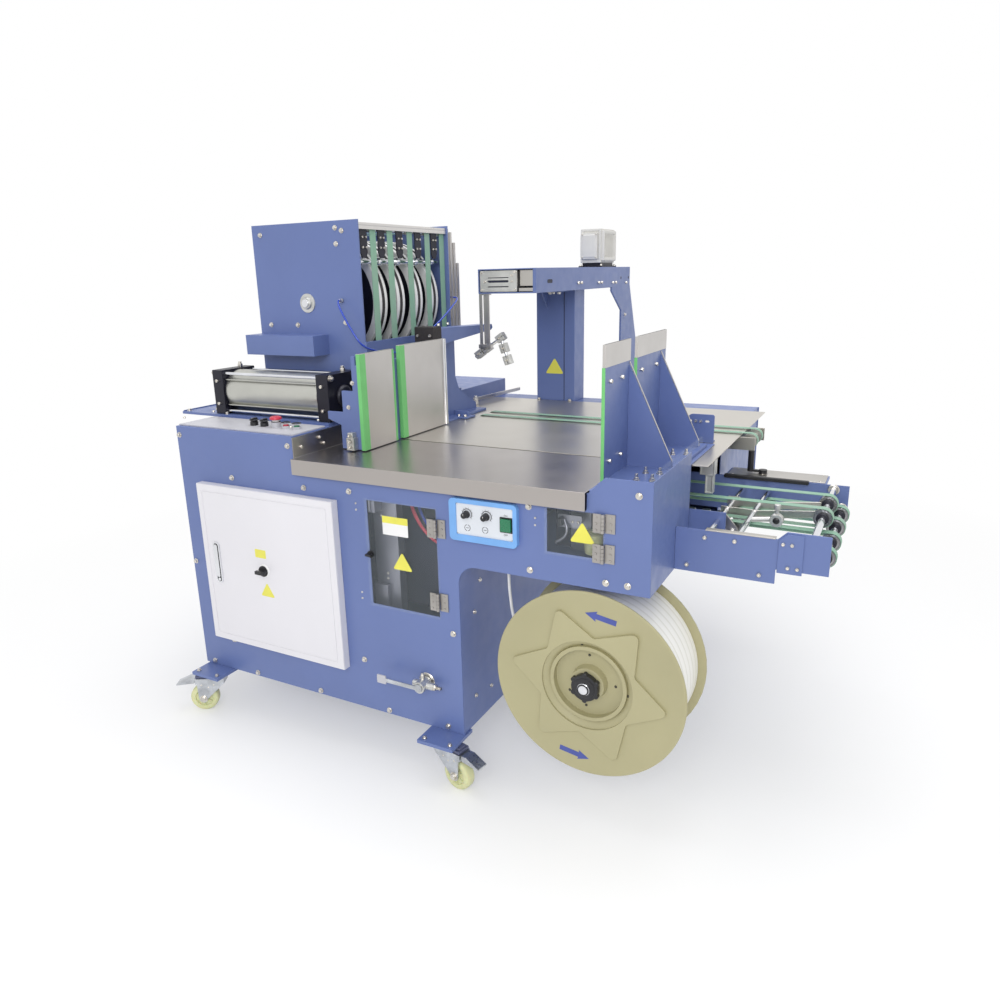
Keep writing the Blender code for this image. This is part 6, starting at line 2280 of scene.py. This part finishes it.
class STRAPPER_OT_outfeed(bpy.types.Operator):
    """Fits the outfeed's belts, tray, pads, clamp, tie rods and bolts"""

    bl_idname = "strapper.outfeed"
    bl_label = "Outfeed"

    def execute(self, context):
        skin("outfeed_frame", blue_paint(), 0.001)
        self.roller("outfeed_upper_roller", 1.8, 0.752, (0.42, 0.55))
        self.roller("outfeed_lower_roller", 1.825, 0.7, (0.276, 0.393, 0.52, 0.639))
        skin("width_crank", black_plastic(), 0.001)
        thick = context.scene.strapper_sizes.belt_thickness + 0.0002
        pulley = PULLEY_RADIUS + 0.0001
        belts = []
        for y in (0.42, 0.55):
            loop = loop_band(
                world_x(1.362), world_x(1.8), 0.752 + pulley + thick, 0.752 - pulley - thick, thick
            )
            belts.append(plate("XZ", loop, world_y(y - 0.0115), 0.023, 0.0004))
        for y in (0.276, 0.393, 0.52, 0.639):
            start = 1.59 if y in (0.393, 0.52) else 1.64
            loop = loop_band(
                world_x(start), world_x(1.825), 0.7 + pulley + thick, 0.7 - pulley - thick, thick
            )
            belts.append(plate("XZ", loop, world_y(y - 0.0115), 0.023, 0.0004))
        piece(join(belts), "outfeed_belts", belt_cloth())
        inner = [grooved_pulley(at(1.362, y, 0.752), PULLEY_RADIUS, 0.026, 0.009) for y in (0.42, 0.55)]
        inner += [grooved_pulley(at(x, y, 0.7), PULLEY_RADIUS, 0.026, 0.009) for x, y in
                  ((1.64, 0.276), (1.59, 0.393), (1.59, 0.52), (1.64, 0.639))]
        piece(join(inner), "outfeed_inner_pulleys", turned_steel())
        shafts = [cylinder(at(1.362, 0.342, 0.752), at(1.362, 0.698, 0.752), 0.0088, 0.0008, 28),
                  cylinder(at(1.59, 0.352, 0.7), at(1.59, 0.56, 0.7), 0.0085, 0.0008, 28),
                  cylinder(at(1.64, 0.207, 0.7), at(1.64, 0.3, 0.7), 0.0085, 0.0008, 28),
                  cylinder(at(1.64, 0.61, 0.7), at(1.64, 0.698, 0.7), 0.0085, 0.0008, 28)]
        for x in (1.56, 1.63):
            shafts.append(cylinder(at(x, 0.2055, 0.735), at(x, 0.6995, 0.735), 0.0074, 0.0008, 28))
        piece(join(shafts), "outfeed_tie_rods", chrome())
        self.arms()
        self.sides()
        self.tray()
        return {"FINISHED"}

    def roller(self, name, x, z, places):
        """A bright shaft with its crowned pulleys and the dark clamp ring beside each."""
        low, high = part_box(name)
        centre = at(x, 0, z)
        shaft = cylinder((centre.x, low.y, z), (centre.x, high.y, z), 0.0088, 0.001, 32)
        piece(shaft, name + "_shaft", chrome(), name, (name,))
        wheels = [grooved_pulley(at(x, y, z), PULLEY_RADIUS, 0.026, 0.0084) for y in places]
        piece(join(wheels), name + "_pulleys", turned_steel(), name)
        rings = []
        for y in places:
            for side in (-1, 1):
                profile = [
                    (0.0086, 0), (0.0135, 0), (0.015, 0.0012), (0.015, 0.0052), (0.0135, 0.0064),
                    (0.0086, 0.0064),
                ]
                rings.append(turned(profile, at(x, y + side * 0.0125, z), (0, side, 0), 32))
        piece(join(rings), name + "_clamp_rings", black_anodised(), name)

    def arms(self):
        """The plates that carry the short belts' inner pulleys, and the round clamp on its bar."""
        webs = []
        for y in (0.364, 0.5375):
            outline = [
                (world_x(1.545), 0.722), (world_x(1.545), 0.748), (world_x(1.575), 0.748),
                (world_x(1.606), 0.712), (world_x(1.606), 0.69), (world_x(1.578), 0.69),
            ]
            webs.append(plate("XZ", [outline], world_y(y), 0.005, 0.0008))
        long_arm = [
            (world_x(1.545), 0.726), (world_x(1.545), 0.746), (world_x(1.64), 0.744),
            (world_x(1.785), 0.76), (world_x(1.785), 0.742), (world_x(1.65), 0.722),
        ]
        webs += [plate("XZ", [long_arm], world_y(y), 0.004, 0.0008) for y in (0.442, 0.528)]
        slats = [
            block(at(1.395 + i * 0.042, 0.44, 0.7), at(1.418 + i * 0.042, 0.526, 0.708), 0.0015)
            for i in range(4)
        ]
        rails = [block(at(1.38, y, 0.692), at(1.56, y + 0.008, 0.703), 0.0012) for y in (0.446, 0.512)]
        piece(join(webs, slats, rails), "outfeed_carriers", steel_along_x())
        ring = turned(
            [
                (0.0085, -0.01), (0.015, -0.01), (0.0165, -0.008), (0.0165, 0.008), (0.015, 0.01),
                (0.0085, 0.01),
            ],
            at(1.7, 0.352, 0.752), FORWARD, 40,
        )
        bar = cylinder(at(1.64, 0.358, 0.744), at(1.7, 0.358, 0.752), 0.0065, 0.0006, 24)
        hub = turned(
            [(0, 0.0115), (0.0055, 0.0115), (0.0085, 0.0095), (0.0085, -0.01), (0, -0.01)],
            at(1.7, 0.352, 0.752), FORWARD, 28,
        )
        top = join(cylinder(at(1.7, 0.352, 0.766), at(1.7, 0.352, 0.778), 0.0045, 0.0006, 20),
                   cylinder(at(1.7, 0.352, 0.777), at(1.7, 0.352, 0.792), 0.008, 0.0018, 28))
        piece(join(ring, bar, top), "outfeed_clamp", cast_aluminium())
        piece(hub, "outfeed_clamp_hub", black_plastic())
        dark = [
            block(at(1.5, 0.687, 0.76), at(1.735, 0.699, 0.772), 0.003),
            block(at(1.5, 0.207, 0.7), at(1.575, 0.213, 0.745), 0.0015),
        ]
        piece(join(dark), "outfeed_guide_pads", black_plastic())

    def sides(self):
        flange = block(at(1.56, 0.1975, 0.7522), at(1.721, 0.216, 0.755), 0.0008)
        piece(flange, "outfeed_top_flange", steel_along_x())
        extension = plate(
            "XZ",
            [
                [
                    (world_x(1.728), 0.672), (world_x(1.783), 0.672), (world_x(1.783), 0.768),
                    (world_x(1.746), 0.768), (world_x(1.728), 0.752),
                ]
            ],
            world_y(0.1962), 0.0037, 0.0008,
        )
        piece(extension, "outfeed_extension_plate", blue_paint())
        heads = [
            at(x, 0.1962, z)
            for x, z in ((1.7385, 0.744), (1.758, 0.744), (1.752, 0.688), (1.773, 0.688))
        ]
        bolts("outfeed_plate_bolts", heads, FORWARD, 0.0042, cap_bolt)
        bearings = []
        for x, z in ((1.8, 0.752), (1.825, 0.7)):
            bearings.append(
                turned(
                    [(0.0092, 0.0045), (0.0135, 0.0045), (0.0155, 0.0025), (0.0155, 0), (0.0092, 0)],
                    at(x, 0.2055, z), -FORWARD, 32,
                )
            )
            bearings.append(
                turned(
                    [(0.0092, 0.0045), (0.0135, 0.0045), (0.0155, 0.0025), (0.0155, 0), (0.0092, 0)],
                    at(x, 0.6995, z), FORWARD, 32,
                )
            )
        piece(join(bearings), "outfeed_bearings", bolt_zinc())
        rear = [at(x, 0.705, z) for x, z in ((1.56, 0.7), (1.63, 0.7), (1.8, 0.725), (1.51, 0.69))]
        bolts("outfeed_rear_bolts", rear, -FORWARD, 0.005)
        tips = [at(x, 0.2, z) for x, z in ((1.56, 0.735), (1.63, 0.735), (1.52, 0.66), (1.69, 0.66))]
        bolts("outfeed_front_bolts", tips, FORWARD, 0.005, cap_bolt)

    def tray(self):
        low, high = at(1.506, 0.7062, 0.7653), at(1.776, 0.799, 0.7672)
        hole = arc((world_x(1.6), world_y(0.75)), 0.013, 0, 360, 32)[:-1]
        sheet = plate(
            "XY",
            [[(low.x, low.y), (high.x, low.y), (high.x, high.y), (low.x, high.y)], list(reversed(hole))],
            low.z, 0.0018, 0.0006,
        )
        piece(sheet, "outfeed_tray", steel_along_x())
        collar = turned(
            [(0.007, 0.004), (0.01, 0.004), (0.012, 0.0025), (0.012, 0), (0.007, 0)], at(1.6, 0.75, 0.7657),
            UP, 32,
        )
        piece(collar, "crank_collar", bolt_zinc())
        bolts(
            "outfeed_tray_screws", [at(x, y, 0.7671) for x in (1.52, 1.762) for y in (0.716, 0.789)], UP,
            0.003, pan_screw,
        )


# ---------------------------------------------------------------- castors


CASTORS = {
    "front_left": (0.0675, -0.0195, -150),
    "front_right": (0.9335, -0.0195, -12),
    "rear_left": (0.0675, 1.3295, 165),
    "rear_right": (0.9335, 1.3295, 25),
}
WHEEL_RADIUS = 0.045
CASTOR_TRAIL = 0.05


class STRAPPER_OT_castors(bpy.types.Operator):
    """Finishes the four castors: forks, races, nuts, wheels and brakes"""

    bl_idname = "strapper.castors"
    bl_label = "Castors"

    def execute(self, context):
        for name, (x, y, turn) in CASTORS.items():
            heading = math.radians(turn)
            self.turn = Matrix.Translation(at(x, y, 0)) @ Matrix.Rotation(heading, 4, "Z")
            fork = name + "_castor"
            skin(name + "_castor_fork", zinc(), 0.001)
            self.wheel(name)
            nuts = []
            for way in (-1, 1):
                nuts.append(
                    self.put(
                        cylinder(
                            (CASTOR_TRAIL, way * 0.0225, 0.045), (CASTOR_TRAIL, way * 0.03, 0.045), 0.0095,
                            0.001, 6,
                        )
                    )
                )
                nuts.append(
                    self.put(
                        cylinder(
                            (CASTOR_TRAIL, way * 0.0222, 0.045), (CASTOR_TRAIL, way * 0.024, 0.045), 0.0125,
                            0.0004, 24,
                        )
                    )
                )
            for radius, low, high in ((0.0335, 0.117, 0.1215), (0.0305, 0.1215, 0.1275)):
                nuts.append(
                    self.put(
                        turned(
                            [
                                (0.027, low), (radius - 0.001, low), (radius, low + 0.001),
                                (radius, high - 0.001), (radius - 0.001, high), (0.027, high),
                            ],
                            (0, 0, 0), UP, 40,
                        )
                    )
                )
            rivets = [
                self.put(
                    turned([(0, 0.0012), (0.0022, 0.0008), (0.003, 0), (0, 0)], place, (0, way, 0), 14)
                )
                for way in (-1, 1)
                for place in (
                    (0.012, way * 0.0226, 0.094), (0.03, way * 0.0226, 0.086), (0.052, way * 0.0226, 0.094)
                )
            ]
            piece(join(nuts, rivets), name + "_castor_fittings", bolt_zinc(), fork)
            if name.startswith("front"):
                self.brake(name, fork)
        return {"FINISHED"}

    def put(self, obj):
        """Moves a piece modelled at the castor's pivot, with the trail along +X, to its place."""
        obj.matrix_world = self.turn @ obj.matrix_world
        return settle(obj)

    def wheel(self, name):
        centre = (CASTOR_TRAIL, 0, WHEEL_RADIUS)
        r, half = WHEEL_RADIUS - 0.0001, 0.0158
        tread = turned(
            [
                (0.0066, -half + 0.001), (0.014, -half + 0.001), (0.015, -half + 0.0045),
                (0.027, -half + 0.0045), (0.029, -half + 0.0008), (r - 0.007, -half),
                (r - 0.003, -half + 0.0015), (r - 0.0006, -half + 0.005), (r, 0),
                (r - 0.0006, half - 0.005), (r - 0.003, half - 0.0015), (r - 0.007, half),
                (0.029, half - 0.0008), (0.027, half - 0.0045), (0.015, half - 0.0045),
                (0.014, half - 0.001), (0.0066, half - 0.001),
            ],
            centre, (0, 1, 0), 64,
        )
        spokes = [
            block((-0.0012, -half + 0.0015, 0.0135), (0.0012, half - 0.0015, 0.0285), 0.0004)
            for _ in range(6)
        ]
        for k, spoke in enumerate(spokes):
            spoke.rotation_euler = (0, math.radians(60 * k), 0)
            spoke.location = centre
            settle(spoke)
        wheel = self.put(join(tread, spokes))
        piece(
            wheel, name + "_wheel_tread", cream_nylon(), name + "_wheel",
            (name + "_castor_wheel",),
        )

    def brake(self, name, fork):
        """The brake's dark cam box behind the crown, and the zinc pedal with its ribbed end."""
        skin(name + "_brake_pedal", zinc(), 0.0014)
        cover = self.put(join(
            block((0.026, -0.0205, 0.1162), (0.07, 0.0205, 0.1262), 0.0022),
            block((0.03, -0.015, 0.125), (0.066, 0.015, 0.132), 0.0022),
        ))
        piece(cover, name + "_brake_cover", brake_enamel(), fork)
        grips = [
            self.put(
                block(
                    (0.095 + i * 0.0068, -0.0165, 0.1068 - i * 0.0026),
                    (0.0975 + i * 0.0068, 0.0165, 0.1092 - i * 0.0026), 0.0006,
                )
            )
            for i in range(5)
        ]
        piece(join(grips), name + "_pedal_ribs", zinc(), name + "_brake")


def brake_enamel():
    return surface("brake_enamel", (0.085, 0.095, 0.17), 0.45, texture=0.15, mottle=0.1, patch=30)


# ---------------------------------------------------------------- air valve and covers


class STRAPPER_OT_air_valve(bpy.types.Operator):
    """Finishes the air cock with its ports, nipple and lever"""

    bl_idname = "strapper.air_valve"
    bl_label = "Air valve"

    def execute(self, context):
        skin("air_valve", cast_aluminium(), 0.0018)
        skin("air_valve_lever", zinc(), 0.001)
        low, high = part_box("air_valve")
        y = (low.y + high.y) / 2
        z = 0.283
        nipple = turned(
            [
                (0.003, 0.022), (0.0052, 0.022), (0.004, 0.017), (0.0056, 0.017), (0.0042, 0.012),
                (0.0058, 0.012), (0.0044, 0.007), (0.008, 0.007), (0.009, 0.005), (0.009, 0), (0.003, 0),
            ],
            Vector((high.x, y, z)), RIGHT, 28,
        )
        flange = turned(
            [(0.018, 0.0035), (0.0235, 0.0035), (0.025, 0.002), (0.025, 0), (0.018, 0)], at(0.872, 0, z),
            FORWARD, 40,
        )
        stem = cylinder(
            at(0.872, 0, z + 0.016) + Vector((0, y - LEFT_END.y, 0)),
            at(0.872, 0, z + 0.03) + Vector((0, y - LEFT_END.y, 0)), 0.006, 0.0008, 6,
        )
        cap = cylinder(
            at(0.872, 0, z + 0.029) + Vector((0, y - LEFT_END.y, 0)),
            at(0.872, 0, z + 0.035) + Vector((0, y - LEFT_END.y, 0)), 0.004, 0.0008, 20,
        )
        piece(join(nipple, flange, stem, cap), "air_valve_fittings", bolt_zinc())
        grip_low, grip_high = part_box("air_valve_lever")
        end = block((grip_low.x + 0.0004, grip_low.y - 0.0008, grip_low.z - 0.0008),
                    (grip_low.x + 0.03, grip_high.y + 0.0004, grip_high.z + 0.0008), 0.002)
        piece(end, "air_valve_lever_sleeve", grey_paint(), "air_valve_lever")
        return {"FINISHED"}


class STRAPPER_OT_covers(bpy.types.Operator):
    """Adds the plain rear and left covers with screws and louvres"""

    bl_idname = "strapper.covers"
    bl_label = "Covers"

    def execute(self, context):
        rear = world_y(1.31)
        left = world_x(0)
        x0, x1 = world_x(0.06), world_x(0.9)
        cover = plate("XZ", [rounded_rectangle(x0, x1, 0.2, 0.8, 0.012)], rear + 0.0002, 0.002, 0.0008)
        y0, y1 = world_y(0.12), world_y(1.19)
        side = plate("YZ", [rounded_rectangle(y0, y1, 0.21, 0.86, 0.012)], left - 0.0022, 0.002, 0.0008)
        piece(join(cover, side), "service_covers", blue_paint())
        back_screws = [
            Vector((x, rear + 0.0022, z))
            for x in (x0 + 0.018, (x0 + x1) / 2, x1 - 0.018)
            for z in (0.218, 0.782)
        ]
        bolts("rear_cover_bolts", back_screws, -FORWARD, 0.0052)
        side_screws = [
            Vector((left - 0.0022, y, z))
            for y in (y0 + 0.018, (y0 + y1) / 2, y1 - 0.018)
            for z in (0.228, 0.842)
        ]
        bolts("left_cover_bolts", side_screws, -RIGHT, 0.0052)
        louvres = []
        for row in range(8):
            z = 0.3 + row * 0.026
            for start in (0.18, 0.62):
                louvres.append(self.hood((world_x(start), rear + 0.0021, z), (0.16, 0, 0), (0, 0.007, 0)))
            louvres.append(self.hood((left - 0.0021, world_y(0.3), z), (0, 0.16, 0), (-0.007, 0, 0)))
            louvres.append(self.hood((left - 0.0021, world_y(0.84), z), (0, 0.16, 0), (-0.007, 0, 0)))
        piece(join(louvres), "cover_louvres", blue_paint())
        return {"FINISHED"}

    def hood(self, place, along, out):
        """One pressed louvre: a sloped lip open below."""
        place, along, out = Vector(place), Vector(along), Vector(out)
        rise = Vector((0, 0, 0.014))
        deselect()
        bpy.ops.mesh.primitive_cube_add(size=1, location=place + along / 2 + out / 2 + rise / 2,
                                        scale=[abs(v) for v in (along + out + rise)])
        obj = settle(bpy.context.object)
        for vertex in obj.data.vertices:
            offset = vertex.co - place
            if offset.dot(out) > out.length_squared * 0.5 and offset.z > 0.007:
                vertex.co -= out * 0.92
        return round_edges(obj, 0.0008, 2)


# ---------------------------------------------------------------- plain skins


class STRAPPER_OT_skins(bpy.types.Operator):
    """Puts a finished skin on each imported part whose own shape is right"""

    bl_idname = "strapper.skins"
    bl_label = "Skins"

    def execute(self, context):
        for node, (finish, slot, edge) in SKINS.items():
            skin(node, finish(), edge)
        return {"FINISHED"}


SKINS = {
    "front_panel": (blue_paint, "blue_paint", 0.0008),
    "body_shell": (blue_paint, "blue_paint", 0.0012),
    "end_panel": (blue_paint, "blue_paint", 0.0012),
    "base_frame": (blue_paint, "blue_paint", 0.0008),
    "electrical_box": (black_and_painted_shade, "black_plastic", 0.0006),
}


# ---------------------------------------------------------------- panel and registration


class STRAPPER_PT_panel(bpy.types.Panel):
    """Lists the machine's settings and its making steps"""

    bl_idname = "STRAPPER_PT_panel"
    bl_label = "Strapping machine"
    bl_space_type = "VIEW_3D"
    bl_region_type = "UI"
    bl_category = "Strapping"

    def draw(self, context):
        layout = self.layout
        for settings in (
            context.scene.strapper_finish, context.scene.strapper_sizes, context.scene.strapper_stage
        ):
            for name in settings.__annotations__:
                layout.prop(settings, name)
        for operator in OPERATORS:
            layout.operator(operator.bl_idname)


OPERATORS = (
    STRAPPER_OT_stage,
    STRAPPER_OT_hose,
    STRAPPER_OT_front_bolts,
    STRAPPER_OT_electrical_door,
    STRAPPER_OT_windows,
    STRAPPER_OT_control_box,
    STRAPPER_OT_control_strip,
    STRAPPER_OT_hopper,
    STRAPPER_OT_cylinder,
    STRAPPER_OT_pusher,
    STRAPPER_OT_stops,
    STRAPPER_OT_tables,
    STRAPPER_OT_guide_arm,
    STRAPPER_OT_column,
    STRAPPER_OT_reel,
    STRAPPER_OT_outfeed,
    STRAPPER_OT_castors,
    STRAPPER_OT_air_valve,
    STRAPPER_OT_covers,
    STRAPPER_OT_skins,
)


SETTINGS = (StrapperFinish, StrapperSizes, StrapperStage)


def register():
    for settings in (*SETTINGS, *OPERATORS, STRAPPER_PT_panel):
        bpy.utils.register_class(settings)
    bpy.types.Scene.strapper_finish = PointerProperty(type=StrapperFinish)
    bpy.types.Scene.strapper_sizes = PointerProperty(type=StrapperSizes)
    bpy.types.Scene.strapper_stage = PointerProperty(type=StrapperStage)


def unregister():
    del bpy.types.Scene.strapper_stage
    del bpy.types.Scene.strapper_sizes
    del bpy.types.Scene.strapper_finish
    for settings in reversed((*SETTINGS, *OPERATORS, STRAPPER_PT_panel)):
        bpy.utils.unregister_class(settings)


def main():
    register()
    for operator in OPERATORS:
        group, name = operator.bl_idname.split(".")
        getattr(getattr(bpy.ops, group), name)()


if __name__ == "__main__":
    main()
